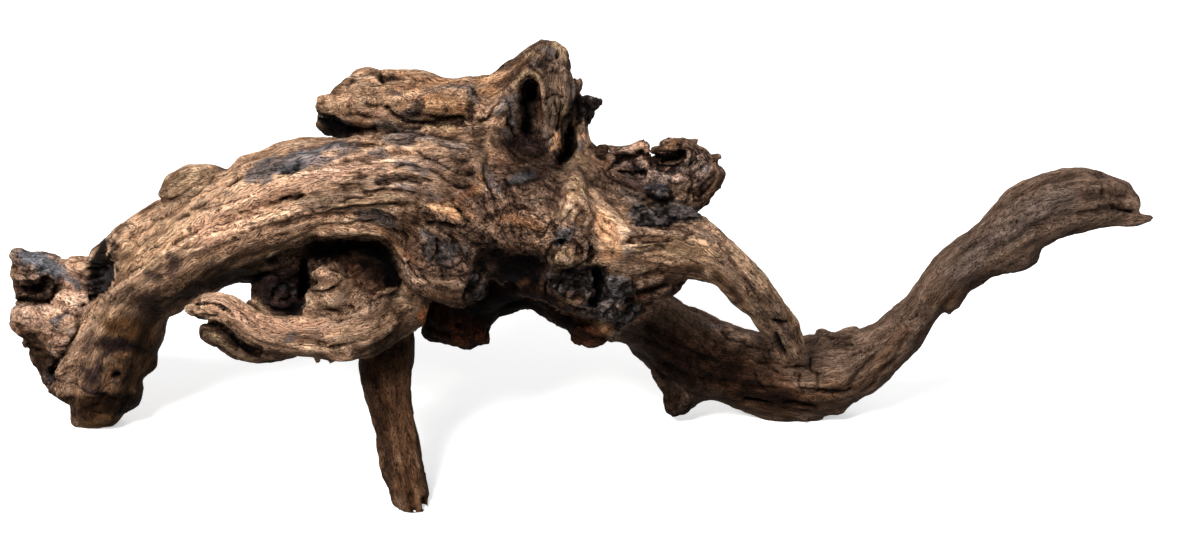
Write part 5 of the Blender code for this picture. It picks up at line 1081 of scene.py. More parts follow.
    ("ochre", 0.8, 3, [(600, 326, 5), (610, 329, 6), (595, 332, 5)]), ("rust", 0.5, 3, [(590, 320, 5), (588, 330, 4)]), ("umber", 0.9, 3, [(595, 340, 6), (588, 343, 5)]),
    ("brown", 0.7, 4, [(640, 290, 6), (650, 286, 6), (662, 282, 5), (642, 302, 6)]), ("rust", 0.5, 3, [(645, 296, 4), (636, 300, 4)]), ("rose", 0.7, 1.5, [(674, 280, 3)]),
    ("dark", 0.95, 5, [(545, 300, 10), (560, 315, 10), (575, 330, 8), (555, 322, 8)]),
    # root that curls to the left, what lies in the hollow; the black in its splits and in the hollow is painted shade,
    # the blue arcs on the twisted knob are painted glints
    ("rose", 0.8, 6, [(215, 300, 7), (240, 312, 9), (265, 325, 10), (300, 328, 10), (335, 325, 9)]), ("tan", 0.7, 5, [(340, 335, 8), (365, 328, 8), (385, 322, 7)]),
    ("black", 0.95, 0.8, [(197, 305, 1.2), (206, 303, 1.2), (216, 304, 1.2), (226, 309, 1.2)]), ("black", 0.95, 1.2, [(196, 316, 2), (206, 316, 2), (216, 315, 1.5)]), ("umber", 0.7, 2, [(192, 308, 2), (200, 299, 2)]),
    ("umber", 0.7, 1, [(222, 312, 1.2), (235, 324, 1.2), (250, 340, 1.2), (262, 350, 1.2)]), ("slate", 0.85, 2, [(287, 340, 4), (292, 336, 5)]), ("rust", 0.6, 1.5, [(278, 346, 3)]), ("slate", 0.6, 2, [(318, 334, 3)]),
    ("moss", 0.7, 2, [(206, 334, 4), (216, 338, 4), (228, 346, 4), (242, 357, 4), (256, 364, 3)]), ("black", 0.95, 2, [(216, 324, 3), (228, 330, 4), (240, 342, 4), (250, 352, 3)]), ("dark", 0.8, 2, [(210, 326, 3), (222, 336, 3), (236, 350, 3)]),
    ("dark", 0.85, 1.5, [(244, 300, 2), (253, 305, 2), (258, 311, 1.5)]), ("pale", 0.7, 1, [(258, 303, 1), (261, 311, 1.2)]),
    ("black", 0.9, 2, [(268, 306, 3), (280, 311, 3), (295, 312, 3), (303, 306, 3)]), ("purple", 0.9, 3, [(262, 282, 6), (272, 280, 6), (290, 300, 8)]), ("blue", 0.95, 1.5, [(272, 286, 2), (280, 289, 2.2), (288, 285, 2.2), (294, 291, 2)]),
    ("black", 1.0, 1.5, [(270, 298, 3.5)]), ("black", 1.0, 1.5, [(284, 281, 3), (289, 288, 2)]), ("rust", 0.5, 1.5, [(277, 300, 2)]), ("purple", 0.8, 2, [(276, 276, 3), (285, 272, 3)]),
    ("black", 0.98, 3, [(303, 270, 5), (305, 285, 5), (302, 297, 4)]), ("black", 0.95, 4, [(315, 253, 6), (330, 256, 6), (318, 262, 6)]), ("black", 0.97, 4, [(376, 245, 6), (388, 260, 8), (393, 278, 8), (392, 294, 6)]),
    ("black", 0.6, 5, [(368, 262, 8), (375, 280, 8)]), ("purple", 0.85, 4, [(300, 246, 5), (320, 240, 5), (345, 238, 5), (360, 242, 5)]), ("umber", 0.75, 4, [(350, 262, 7), (352, 275, 8), (345, 288, 8)]),
    ("rose", 0.8, 2, [(318, 276, 5), (326, 272, 6), (330, 281, 4)]), ("black", 0.9, 0.9, [(312, 291, 1.2), (323, 292, 1.3), (333, 287, 1.2)]), ("umber", 0.7, 2, [(316, 298, 4), (322, 304, 5), (314, 306, 3)]),
    ("brown", 0.6, 4, [(345, 300, 7), (360, 304, 7), (375, 300, 6)]), ("brown", 0.6, 4, [(338, 310, 5), (352, 318, 5), (368, 318, 5)]), ("rose", 0.6, 2, [(340, 321, 2), (350, 323, 2), (368, 313, 3)]),
    ("umber", 0.85, 3, [(398, 310, 7), (405, 322, 6), (395, 335, 6)]), ("brown", 0.7, 3, [(370, 345, 6), (385, 338, 6), (350, 352, 5)]), ("umber", 0.7, 2, [(345, 358, 4), (318, 356, 3)]),
    # leg, belly, chin; the dark under the jaw and on the belly and chin is painted shade, the leg's umber partly its
    # own colour, partly painted shade
    ("umber", 0.9, 6, [(385, 365, 14), (395, 400, 14), (402, 440, 12), (408, 490, 10)]), ("dark", 0.6, 5, [(372, 380, 5), (380, 420, 5), (388, 460, 5), (392, 500, 4)]), ("dark", 0.7, 4, [(380, 352, 8), (400, 348, 8)]),
    ("dark", 0.95, 5, [(430, 318, 6), (445, 325, 8), (462, 335, 8), (478, 325, 7)]), ("black", 0.8, 5, [(455, 312, 6), (480, 312, 7), (500, 300, 8), (530, 295, 8)]),
    # long branch; the dark on its underside, under the loose flakes, under the shelf and by the nub is painted shade
    ("grey", 0.8, 5, [(662, 304, 7), (685, 314, 7), (710, 322, 5), (740, 332, 5)]), ("dark", 0.9, 7, [(650, 335, 12), (690, 350, 16), (730, 362, 16), (700, 375, 16), (670, 370, 14)]), ("dark", 0.8, 6, [(745, 350, 8), (765, 348, 8), (750, 385, 8)]),
    ("slate", 0.7, 1.5, [(700, 324, 2), (715, 326, 3), (726, 326, 2)]), ("dark", 0.8, 1.5, [(690, 305, 2), (696, 310, 2)]), ("grey", 0.6, 5, [(760, 372, 8), (785, 378, 10), (812, 380, 10)]), ("dark", 0.9, 3, [(770, 398, 4), (790, 402, 4), (812, 406, 4)]),
    ("umber", 0.7, 5, [(735, 398, 5), (760, 408, 6), (790, 414, 5)]), ("umber", 0.7, 4, [(840, 395, 6), (850, 385, 6), (870, 380, 6), (890, 350, 6), (905, 330, 6)]), ("dark", 0.85, 2, [(825, 336, 2), (838, 340, 2), (850, 336, 2)]),
    ("dark", 0.9, 3, [(668, 398, 6), (680, 405, 5)]), ("slate", 0.4, 8, [(960, 270, 12), (1000, 235, 12), (1060, 200, 14)]), ("dark", 0.7, 2, [(1100, 206, 2), (1115, 208, 3), (1128, 210, 2)]), ("umber", 0.6, 3, [(930, 300, 5), (955, 300, 4), (990, 270, 4)]),
]
# cracks on the front, narrow and black: (deep mm, path)
CRACKS = [
    (1.5, [(88, 264, 1.4), (99, 263, 1.0)]), (1.5, [(88, 270, 1.2), (99, 268, 0.9)]), (2.0, [(88, 278, 1.6), (104, 275, 1.0)]), (1.8, [(89, 285, 1.4), (103, 282, 1.0)]), (1.5, [(89, 291, 1.2), (101, 288, 0.9)]), (2.0, [(90, 297, 1.4), (104, 294, 1.0)]),
    (1.2, [(20, 300, 1.4), (30, 303, 1.4), (46, 302, 1.2), (54, 297, 1)]), (1.0, [(12, 301, 1), (20, 301, 1.2)]), (1.0, [(20, 281, 0.8), (34, 281, 0.8), (48, 278, 0.8)]),
    (1.2, [(62, 310, 0.9), (72, 314, 1.0), (80, 318, 0.9)]), (1.2, [(55, 348, 0.9), (66, 346, 1.0), (74, 340, 0.9)]), (0.9, [(70, 382, 0.9), (90, 393, 0.9), (108, 394, 0.9)]), (0.9, [(85, 408, 0.9), (100, 404, 0.9)]),
    (2.0, [(228, 185, 1.2), (235, 181, 1.6), (241, 176, 1.2)]), (1.6, [(191, 209, 1.0), (198, 206, 1.4), (205, 203, 0.9)]), (1.2, [(152, 221, 0.9), (160, 218, 1.2)]), (1.3, [(177, 218, 1.0), (188, 214, 1.2)]),
    (1.6, [(172, 244, 0.8), (181, 239, 1.0), (191, 234, 1.3), (196, 231, 0.9)]), (1.4, [(189, 228, 1.4)]), (1.6, [(280, 201, 1.0), (288, 198, 1.4), (296, 199, 1.4), (303, 196, 1.2)]),
    (0.8, [(200, 209, 0.8), (230, 202, 0.8), (250, 196, 0.8)]), (0.8, [(240, 213, 0.8), (262, 207, 0.8), (280, 202, 0.8)]), (0.8, [(210, 228, 0.8), (235, 220, 0.8), (262, 213, 0.8)]), (0.8, [(290, 218, 0.8), (312, 210, 0.8), (330, 206, 0.8)]),
    (0.9, [(200, 236, 0.8), (222, 229, 0.8), (248, 225, 0.8), (275, 218, 0.8)]), (0.8, [(150, 250, 0.8), (165, 242, 0.8)]), (0.8, [(160, 258, 0.8), (180, 250, 0.8), (205, 245, 0.8)]), (0.8, [(130, 272, 0.8), (145, 264, 0.8), (158, 256, 0.8)]),
    (0.8, [(162, 193, 0.9), (176, 184, 0.9), (190, 172, 0.9)]), (0.8, [(170, 200, 0.9), (188, 190, 0.9), (204, 176, 0.9)]), (0.8, [(188, 199, 0.9), (203, 190, 0.9), (214, 178, 0.9)]),
    (1.0, [(340, 163, 0.9), (355, 160, 0.9), (372, 163, 0.9)]), (1.0, [(395, 168, 0.9), (408, 165, 0.9), (420, 168, 0.9)]), (1.4, [(376, 184, 1.0), (388, 184, 1.1), (402, 181, 1.0), (420, 184, 0.9)]), (1.2, [(380, 176, 1.0), (400, 174, 1.2), (418, 176, 1.1), (432, 182, 0.9)]),
    (1.2, [(353, 180, 1.0), (362, 178, 1.0), (368, 176, 0.9)]), (1.0, [(345, 173, 0.9), (362, 172, 0.9)]), (1.0, [(358, 193, 0.9), (375, 191, 0.9), (390, 188, 0.9)]), (1.2, [(392, 190, 0.9), (402, 191, 1.1), (415, 194, 0.9)]), (1.0, [(338, 202, 0.9), (355, 197, 0.9), (372, 194, 0.9)]),
    (1.6, [(455, 174, 1.0), (464, 177, 1.4), (474, 173, 1.2)]), (1.6, [(452, 184, 1.0), (462, 187, 1.4), (472, 186, 1.2)]), (1.2, [(425, 158, 0.9), (440, 163, 1.0), (450, 170, 0.9)]), (1.0, [(415, 150, 0.9), (428, 156, 0.9)]), (1.0, [(438, 145, 0.9), (452, 148, 0.9), (465, 150, 0.9)]),
    (1.0, [(430, 170, 0.9), (442, 176, 0.9), (450, 184, 0.9)]), (1.0, [(455, 158, 0.9), (466, 160, 0.9)]), (0.8, [(330, 211, 0.8), (350, 208, 0.9), (365, 206, 0.9), (390, 204, 1.0), (402, 207, 0.9)]),
    (0.9, [(362, 222, 0.8), (378, 221, 0.8), (390, 226, 0.8), (398, 235, 0.8)]), (0.9, [(372, 212, 0.8), (388, 213, 0.8), (397, 220, 0.8)]), (1.0, [(385, 240, 0.9), (396, 252, 0.9), (404, 264, 0.9)]),
    (1.6, [(428, 224, 1.2), (440, 222, 1.2), (455, 226, 1.2)]), (1.4, [(450, 202, 1.4), (456, 207, 1.2), (462, 213, 1.2)]), (1.4, [(436, 238, 1), (438, 250, 1.2), (431, 260, 1.2)]), (1.2, [(436, 263, 1), (450, 268, 1), (462, 262, 0.9)]), (1.2, [(446, 232, 0.9), (456, 240, 1.0), (462, 250, 1.0)]),
    (1.4, [(418, 270, 0.9), (424, 278, 1.1), (430, 284, 0.9)]), (1.2, [(440, 268, 0.9), (444, 280, 1.0)]), (1.6, [(466, 288, 1.2), (464, 298, 1.3), (468, 305, 1)]), (1.4, [(478, 268, 1.2), (473, 280, 1.2), (468, 290, 1.2)]),
    (1.4, [(365, 102, 0.9), (370, 106, 1.2), (380, 105, 1.0), (388, 108, 1.0)]), (1.8, [(386, 107, 1.0), (395, 114, 1.3), (405, 121, 1.2), (415, 124, 1.0)]), (1.2, [(345, 116, 0.9), (356, 115, 1.0), (370, 118, 0.9)]), (1.2, [(398, 127, 0.9), (412, 129, 1.0), (424, 125, 0.9)]),
    (1.2, [(384, 134, 1.0), (396, 131, 1.0), (410, 132, 1.0), (425, 133, 0.9)]), (1.2, [(430, 133, 0.9), (445, 138, 1.0), (462, 142, 0.9), (480, 146, 0.9)]), (1.6, [(381, 72, 1.0), (382, 82, 1.2)]), (1.4, [(384, 81, 1.0), (395, 79, 1.1), (404, 79, 0.9)]),
    (1.2, [(472, 88, 0.9), (478, 96, 1.0)]), (1.2, [(472, 118, 1.0), (482, 121, 1.0), (489, 117, 1.0), (492, 110, 0.9)]), (1.6, [(492, 112, 0.9), (494, 106, 1.0), (500, 101, 0.9)]), (1.8, [(508, 118, 1.0), (511, 128, 1.2), (516, 136, 1.0)]),
    (1.2, [(529, 66, 0.9), (537, 72, 1.2), (542, 77, 1.0)]), (1.0, [(546, 60, 1.0), (552, 60, 0.9)]), (1.4, [(557, 50, 1.2), (557, 58, 1.2)]), (1.2, [(548, 97, 0.9), (555, 94, 1.0), (563, 97, 0.9)]), (1.0, [(549, 88, 0.8), (548, 100, 0.8), (550, 114, 0.8), (549, 128, 0.8)]),
    (1.0, [(555, 100, 0.9), (556, 114, 0.9), (554, 128, 0.9)]), (1.0, [(562, 104, 0.8), (560, 118, 0.9), (557, 130, 0.8)]), (1.6, [(543, 140, 1.0), (548, 138, 1.0), (554, 134, 1.0)]),
    (0.9, [(483, 172, 0.9), (485, 180, 0.9), (490, 190, 0.9), (496, 201, 0.8)]), (1.2, [(505, 206, 0.9), (512, 204, 0.9), (518, 209, 1.0), (527, 207, 0.9), (534, 211, 0.9)]), (0.9, [(540, 198, 0.8), (550, 199, 0.9), (556, 202, 0.8)]),
    (0.8, [(528, 196, 0.8), (532, 204, 0.8), (536, 210, 0.8)]), (0.8, [(545, 184, 0.8), (552, 190, 0.8), (560, 188, 0.8)]), (0.8, [(512, 232, 0.8), (522, 236, 0.8), (532, 234, 0.8)]), (0.8, [(498, 224, 0.8), (506, 228, 0.8), (516, 226, 0.8)]), (0.8, [(476, 244, 0.8), (490, 243, 0.9), (496, 240, 0.8)]),
    (0.9, [(561, 222, 0.8), (567, 217, 0.9), (571, 210, 0.8), (579, 204, 0.8)]), (0.9, [(569, 227, 0.8), (575, 222, 0.9), (578, 215, 0.8), (585, 211, 0.8)]), (1.6, [(553, 245, 1.0), (546, 252, 1.2), (545, 265, 1.2)]), (1.6, [(573, 238, 1.2), (580, 246, 1.2), (583, 254, 1.0)]), (1.4, [(560, 272, 1.0), (572, 271, 1.2), (584, 264, 1.2), (593, 256, 1.0)]), (1.2, [(569, 247, 0.9), (566, 254, 1.0), (571, 259, 0.9)]),
    (0.8, [(590, 205, 0.8), (596, 218, 0.8), (602, 228, 0.8), (612, 235, 0.8)]), (0.8, [(594, 232, 0.8), (604, 244, 0.8), (614, 254, 0.8)]), (1.4, [(604, 172, 1.2), (612, 166, 1.2), (616, 162, 1)]), (1.4, [(602, 168, 1.2), (606, 176, 1.2)]),
    (1.2, [(624, 190, 0.9), (630, 194, 1.1), (638, 196, 1.0)]), (1.4, [(683, 164, 1.0), (688, 167, 1.0), (692, 162, 1.0), (695, 155, 0.9)]), (1.4, [(668, 180, 1.2), (676, 185, 1.2), (684, 181, 0.9)]), (1.2, [(690, 176, 0.9), (700, 180, 0.9)]), (1.2, [(705, 165, 0.9), (698, 170, 1.0), (692, 175, 0.9)]),
    (1.6, [(700, 196, 1.2), (707, 190, 1.2), (712, 184, 1.0)]), (1.2, [(624, 242, 0.9), (634, 242, 1.0)]), (1.2, [(643, 242, 0.9), (658, 241, 1.0), (672, 240, 0.9)]), (1.2, [(632, 248, 0.9), (648, 247, 0.9)]), (1.2, [(655, 246, 0.9), (664, 249, 1.0)]), (1.0, [(685, 236, 0.9), (695, 231, 0.9)]),
    (1.0, [(640, 258, 0.8), (660, 256, 0.8), (676, 262, 0.8)]), (1.0, [(720, 246, 0.8), (735, 262, 0.8), (750, 282, 0.8)]), (1.0, [(728, 258, 0.8), (745, 278, 0.8), (760, 302, 0.8)]), (1.8, [(774, 320, 1.2), (788, 321, 1.2)]), (2.4, [(776, 333, 1.4), (780, 343, 1.5), (784, 352, 1.2)]),
    (1.4, [(312, 290, 1.2), (322, 292, 1.4), (333, 288, 1.2)]), (1.2, [(330, 268, 0.9), (342, 272, 1.0), (348, 278, 0.9)]), (1.2, [(350, 305, 0.9), (354, 310, 1.0), (360, 307, 0.9)]), (1.4, [(326, 314, 0.9), (340, 320, 1.0), (352, 317, 0.9)]), (1.0, [(370, 300, 0.9), (371, 312, 0.9)]),
    (1.4, [(197, 304, 1.0), (210, 303, 1.2), (222, 306, 1.2), (234, 316, 1.0)]), (0.8, [(228, 322, 0.8), (244, 338, 0.8), (262, 350, 0.8)]), (0.8, [(236, 308, 0.8), (254, 322, 0.8), (274, 333, 0.8), (300, 335, 0.8)]), (1.0, [(338, 346, 0.9), (352, 343, 1.0), (370, 336, 0.9)]),
    (1.2, [(760, 361, 0.9), (768, 366, 1.0), (778, 372, 0.9)]), (1.4, [(783, 367, 0.9), (800, 366, 1.0), (806, 368, 0.9)]), (1.4, [(810, 358, 1.0), (809, 370, 1.1)]), (1.2, [(810, 371, 0.9), (822, 374, 1.0)]), (1.2, [(799, 374, 0.9), (799, 386, 1.0), (803, 392, 0.9)]), (1.2, [(818, 374, 0.9), (818, 388, 1.0)]),
    (1.2, [(755, 372, 0.9), (760, 384, 1.0), (768, 392, 0.9)]), (1.0, [(780, 380, 0.8), (792, 382, 0.9)]), (0.8, [(668, 340, 0.8), (700, 354, 0.9), (735, 366, 0.8)]), (1.6, [(800, 388, 1.0), (840, 392, 1.2), (852, 388, 1)]), (1.2, [(722, 333, 0.9), (728, 338, 1.0), (745, 342, 0.9)]),
]
# small ridges and cracks on the front: (sign, mm, softness, wobble, path)
STROKES = [
    ("-", 0.3, 1.2, 1.0, [(480, 170, 0.8), (485, 185, 0.8), (495, 200, 0.8), (500, 212, 0.8)]),
]

# torn, crumbly places and calm, smooth ones on the front
TORN = [
    (0.8, 10, [(400, 215, 20), (440, 235, 25), (470, 250, 22)]),
    (0.9, 10, [(500, 190, 20), (520, 240, 30), (560, 250, 25), (590, 270, 20)]),
    (0.6, 8, [(330, 110, 20), (400, 105, 25), (470, 110, 20)]),
    (0.6, 8, [(30, 270, 25), (40, 330, 25), (55, 375, 15)]),
    (0.8, 8, [(640, 175, 30), (690, 175, 25)]),
]
CALM = [
    (0.7, 6, [(606, 225, 12), (614, 255, 12)]),
    (0.6, 8, [(230, 320, 20), (300, 335, 20), (380, 325, 15)]),
]
# painted light and shade on the front, with tints of the wood's own colour: places painted lighter where light falls
# and darker where shade falls: (factor, or a factor for each colour, softness, path)
PAINTED_LIGHT_AND_SHADE = [
    (1.6, 3, [(612, 155, 5), (626, 153, 5)]), (1.6, 3, [(636, 149, 5), (648, 151, 5)]), (1.35, 4, [(688, 150, 6), (705, 166, 7), (712, 180, 6)]), (0.8, 6, [(640, 243, 7), (690, 247, 7)]),
    (1.5, 4, [(578, 275, 6), (590, 283, 6)]), (1.5, 4, [(612, 281, 6), (624, 283, 5)]), (1.5, 4, [(604, 311, 6), (620, 309, 7)]), (1.35, 4, [(640, 210, 6), (665, 210, 8), (690, 214, 6)]),
    (1.3, 10, [(150, 240, 22), (190, 225, 24), (235, 208, 24), (270, 196, 20)]), (1.05, 8, [(200, 240, 14), (240, 228, 14), (290, 212, 14), (330, 198, 12)]),
    (1.15, 8, [(310, 170, 16), (360, 170, 16), (420, 172, 14)]), (1.2, 5, [(420, 206, 8), (445, 210, 10), (460, 216, 7)]),
    (0.62, 8, [(512, 140, 14), (530, 150, 20), (545, 170, 14)]), (0.70, 6, [(520, 100, 8), (548, 105, 12), (562, 115, 10)]), (0.62, 8, [(410, 280, 10), (430, 290, 12), (455, 296, 12), (470, 290, 12)]), (0.7, 8, [(425, 255, 14), (450, 255, 16), (470, 262, 12)]),
    (1.25, 6, [(575, 205, 18), (570, 250, 16), (605, 230, 14)]), (0.42, 7, [(655, 348, 14), (700, 370, 20), (750, 382, 20), (780, 400, 10)]), (2.1, 4, [(662, 303, 7), (690, 315, 8), (720, 329, 7), (752, 340, 6)]), (1.4, 6, [(790, 380, 12), (830, 370, 12)]), (0.85, 10, [(900, 320, 26), (960, 270, 26), (1040, 220, 34), (1090, 205, 26)]),
    (0.66, 8, [(388, 360, 26), (395, 420, 24), (408, 500, 22)]), (0.75, 6, [(395, 312, 12), (385, 340, 14)]), (0.6, 7, [(275, 290, 26), (305, 285, 14)]), (0.45, 8, [(320, 252, 10), (350, 255, 12), (380, 268, 16), (390, 290, 12)]),
    (0.42, 9, [(150, 300, 10), (130, 330, 20), (120, 360, 28), (110, 390, 20)]), (0.42, 6, [(75, 405, 10), (100, 415, 18), (130, 402, 12)]), (0.25, 8, [(430, 325, 12), (450, 332, 16), (475, 330, 16), (505, 300, 14), (540, 310, 16), (565, 325, 12)]),
    (0.5, 6, [(190, 290, 10), (220, 280, 12), (255, 272, 10)]), (1.2, 5, [(20, 255, 8), (60, 275, 10), (75, 300, 10), (40, 318, 8), (25, 312, 6)]), (0.6, 5, [(30, 340, 8), (42, 360, 8), (50, 380, 7)]), (0.6, 4, [(30, 290, 8), (48, 290, 7)]),
    ((0.95, 0.80, 0.72), 8, [(655, 345, 16), (700, 365, 22), (760, 385, 22), (790, 400, 12)]), ((0.9, 0.6, 0.46), 8, [(500, 295, 10), (540, 305, 14), (575, 328, 14), (600, 335, 8)]), ((4.6, 2.6, 1.6), 6, [(430, 318, 10), (450, 332, 14), (478, 330, 12)]),
    ((0.62, 0.56, 0.46), 8, [(112, 322, 12), (130, 330, 14), (146, 345, 12), (140, 375, 12)]), ((0.66, 0.56, 0.48), 6, [(78, 405, 10), (100, 412, 16), (128, 402, 12)]), ((1.6, 1.55, 1.3), 3, [(84, 425, 4), (98, 425, 5), (110, 419, 4)]), ((1.3, 1.4, 1.5), 8, [(20, 256, 10), (40, 268, 14), (65, 285, 14), (78, 303, 10), (50, 315, 12), (25, 315, 10)]), ((1.25, 1.3, 1.4), 6, [(58, 342, 8), (66, 330, 8)]),
    ((1.12, 1.10, 1.12), 10, [(200, 234, 12), (240, 236, 14), (290, 230, 14), (325, 224, 12)]), ((1.12, 1.15, 1.22), 10, [(310, 165, 18), (370, 168, 20), (430, 172, 20)]), ((1.45, 1.6, 1.85), 6, [(625, 160, 12), (650, 175, 12), (690, 165, 14), (705, 180, 10)]),
    (0.72, 5, [(318, 285, 8), (332, 280, 9), (340, 296, 8)]), (1.3, 3, [(262, 254, 4), (285, 244, 4), (310, 234, 4), (340, 229, 4), (370, 230, 4), (392, 241, 4), (404, 257, 4), (416, 277, 4), (428, 296, 3)]), ((1.14, 1.14, 1.14), 10, [(190, 236, 12), (240, 226, 16), (290, 218, 16), (325, 214, 12)]), (0.3, 2.5, [(658, 160, 5), (668, 165, 5), (679, 162, 5)]), (1.9, 2, [(590, 99, 3), (596, 103, 3), (585, 110, 2)]), (1.7, 1.5, [(513, 180, 3), (522, 176, 3), (531, 173, 2)]), ((0.78, 0.76, 0.8), 4, [(505, 219, 5), (520, 221, 6), (536, 227, 4)]), ((1.3, 1.27, 1.2), 10, [(500, 215, 14), (530, 225, 16), (550, 240, 10)]), ((1.28, 1.3, 1.34), 8, [(600, 215, 14), (608, 245, 14), (575, 255, 12), (570, 210, 10), (625, 235, 12)]), ((1.2, 1.2, 1.22), 8, [(210, 300, 12), (240, 320, 16), (280, 335, 16), (320, 335, 14)]),
    ((0.7, 0.6, 0.56), 6, [(345, 258, 12), (366, 276, 14), (384, 290, 10)]), ((1.5, 1.5, 1.5), 3, [(317, 100, 4), (330, 100, 5), (345, 99, 6)]), ((0.3, 0.28, 0.27), 2.5, [(321, 117, 3), (328, 122, 6), (340, 126, 7), (352, 129, 5)]), ((1.3, 1.25, 1.2), 7, [(388, 360, 22), (395, 420, 22), (408, 500, 20)]),
]
# broad worn faces, where layers and streaks stand out less: (amount, softness, path)
EVEN = [
    (0.8, 12, [(140, 260, 20), (180, 235, 24), (230, 212, 26), (280, 196, 26), (325, 190, 22)]), (0.6, 10, [(190, 245, 14), (250, 232, 14), (310, 222, 14)]), (0.5, 8, [(320, 172, 14), (370, 170, 12)]),
    (0.6, 8, [(230, 315, 14), (280, 330, 16), (340, 330, 14)]), (0.5, 10, [(690, 345, 20), (760, 375, 20), (860, 370, 18)]), (0.6, 10, [(900, 320, 20), (960, 260, 20), (1060, 205, 20)]), (0.6, 8, [(385, 370, 20), (400, 440, 20)]),
    (0.5, 8, [(330, 100, 12), (370, 92, 14), (440, 100, 16)]), (0.6, 8, [(604, 220, 16), (612, 250, 14)]), (0.5, 10, [(505, 160, 16), (540, 190, 18)]), (0.6, 8, [(700, 245, 14), (750, 290, 12)]),
]
# smooth bark and worn faces, where single fibres hardly show: (amount, softness, path)
SMOOTH = [
    (0.35, 8, [(150, 305, 12), (128, 335, 20), (118, 365, 26), (105, 395, 20), (95, 415, 14)]), (0.4, 6, [(30, 262, 12), (55, 272, 10)]), (0.5, 6, [(20, 315, 8), (40, 325, 10)]),
    (0.4, 8, [(600, 215, 12), (608, 245, 14)]), (0.5, 6, [(425, 245, 12), (450, 258, 14)]), (0.35, 6, [(500, 165, 20), (530, 190, 20), (545, 205, 14)]),
]

# ---------------------------------------------------------------- the form
def depth_at(g, px, py):
    """Depth of the front surface behind each station, mm."""
    px, py = np.atleast_1d(px).astype(float), np.atleast_1d(py).astype(float)
    W = np.arange(g.ax[2][-2], g.ax[2][1], -0.5)
    a = (px[:, None] - VIEW_MID[0]) * STEP * (1 - W / REACH)
    b = -(py[:, None] - VIEW_MID[1]) * STEP * (1 - W / REACH)
    i = np.clip(np.rint((a - g.lo[0]) / g.h).astype(int), 0, g.n[0] - 1)
    j = np.clip(np.rint((b - g.lo[1]) / g.h).astype(int), 0, g.n[1] - 1)
    k = np.clip(np.rint((W - g.lo[2]) / g.h).astype(int), 0, g.n[2] - 1)
    inside = g.F[i, j, k[None, :]] < 0
    hit = inside.any(1)
    w = W[inside.argmax(1)]
    return np.where(hit, w, np.nan)


def on_surface(g, pts, n=4):
    """Stations (across, down, radius) laid on the front surface: path in mm, and the depth there."""
    P = catmull(pts, n) if len(pts) > 1 else np.asarray(pts, float)
    w = depth_at(g, P[:, 0], P[:, 1])
    if np.isnan(w).all():
        return None, None
    w = np.where(np.isnan(w), np.nanmedian(w), w)
    if len(w) > 4:                                   # one smooth course, without jumps
        for _ in range(2):
            w[1:-1] = 0.5 * w[1:-1] + 0.25 * (w[:-2] + w[2:])
    return P, w


def raise_up(g, pts, lift, k=2.0):
    """A bead along the front surface that stands lift mm proud."""
    P, w = on_surface(g, pts)
    if P is None:
        return
    s = STEP * (1 - w / REACH)
    r = np.maximum(P[:, 2], 0.8) * s
    n = max(1, int(math.ceil(lift / (1.5 * r.min()))))
    for i in range(n):
        Q = np.stack([(P[:, 0] - VIEW_MID[0]) * s, -(P[:, 1] - VIEW_MID[1]) * s, w + lift * (i + 1) / n - r, r], -1)
        g.add(Q, k)


def carve(g, pts, deep, k=2.0):
    """A furrow or a hole in the front surface, deep mm into it."""
    P, w = on_surface(g, pts)
    if P is None:
        return
    s = STEP * (1 - w / REACH)
    r = np.maximum(P[:, 2], 0.8) * s
    n = max(1, int(math.ceil(deep / (1.5 * r.min()))))
    for i in range(n):
        Q = np.stack([(P[:, 0] - VIEW_MID[0]) * s, -(P[:, 1] - VIEW_MID[1]) * s, w - deep * (i + 1) / n + r, r], -1)
        g.cut(Q, k)


def shingle(g, x0, y0, x1, y1, r):
    """A loose layer that ends in a small step below it."""
    bow = 0.12 * math.hypot(x1 - x0, y1 - y0)
    mid = (0.5 * (x0 + x1), 0.5 * (y0 + y1) - bow * 0.4)
    raise_up(g, [(x0, y0, 0.5 * r), (mid[0], mid[1], r), (x1, y1, 0.5 * r)], 1.0, 2.0)
    carve(g, [(x0, y0 + r, 0.4 * r), (mid[0], mid[1] + 1.5 * r, 0.5 * r), (x1, y1 + r, 0.4 * r)], 1.5, 1.0)


def build_form(h):
    g = Field((-312, -142, -106), (294, 132, 78), h)
    for name, flat, k, pts in LIMBS:
        g.add(chain(pts), k, flat)
    for name, flat, k, pts in HOLLOWS:
        g.cut(chain(pts), k, flat)
    for name, flat, k, pts in INNER:
        g.add(chain(pts), k, flat)
    for name, flat, k, pts in SNAGS:
        g.add(chain(pts), k, flat)
    for kind, amount, k, pts in SCULPT:
        if kind == "+":
            raise_up(g, pts, amount, k)
        else:
            carve(g, pts, amount, k)
    for x0, y0, x1, y1, r in SHINGLES:
        shingle(g, x0, y0, x1, y1, r)
    g.roughen(15, 0.8, 11)
    g.roughen(7, 0.45, 12)
    up = (LIFT + g.ax[1][:, None] * C + g.ax[2][None, :] * S)[None].astype(np.float32)
    g.F = np.maximum(g.F, -up)                       # the feet are worn flat on the floor
    return g


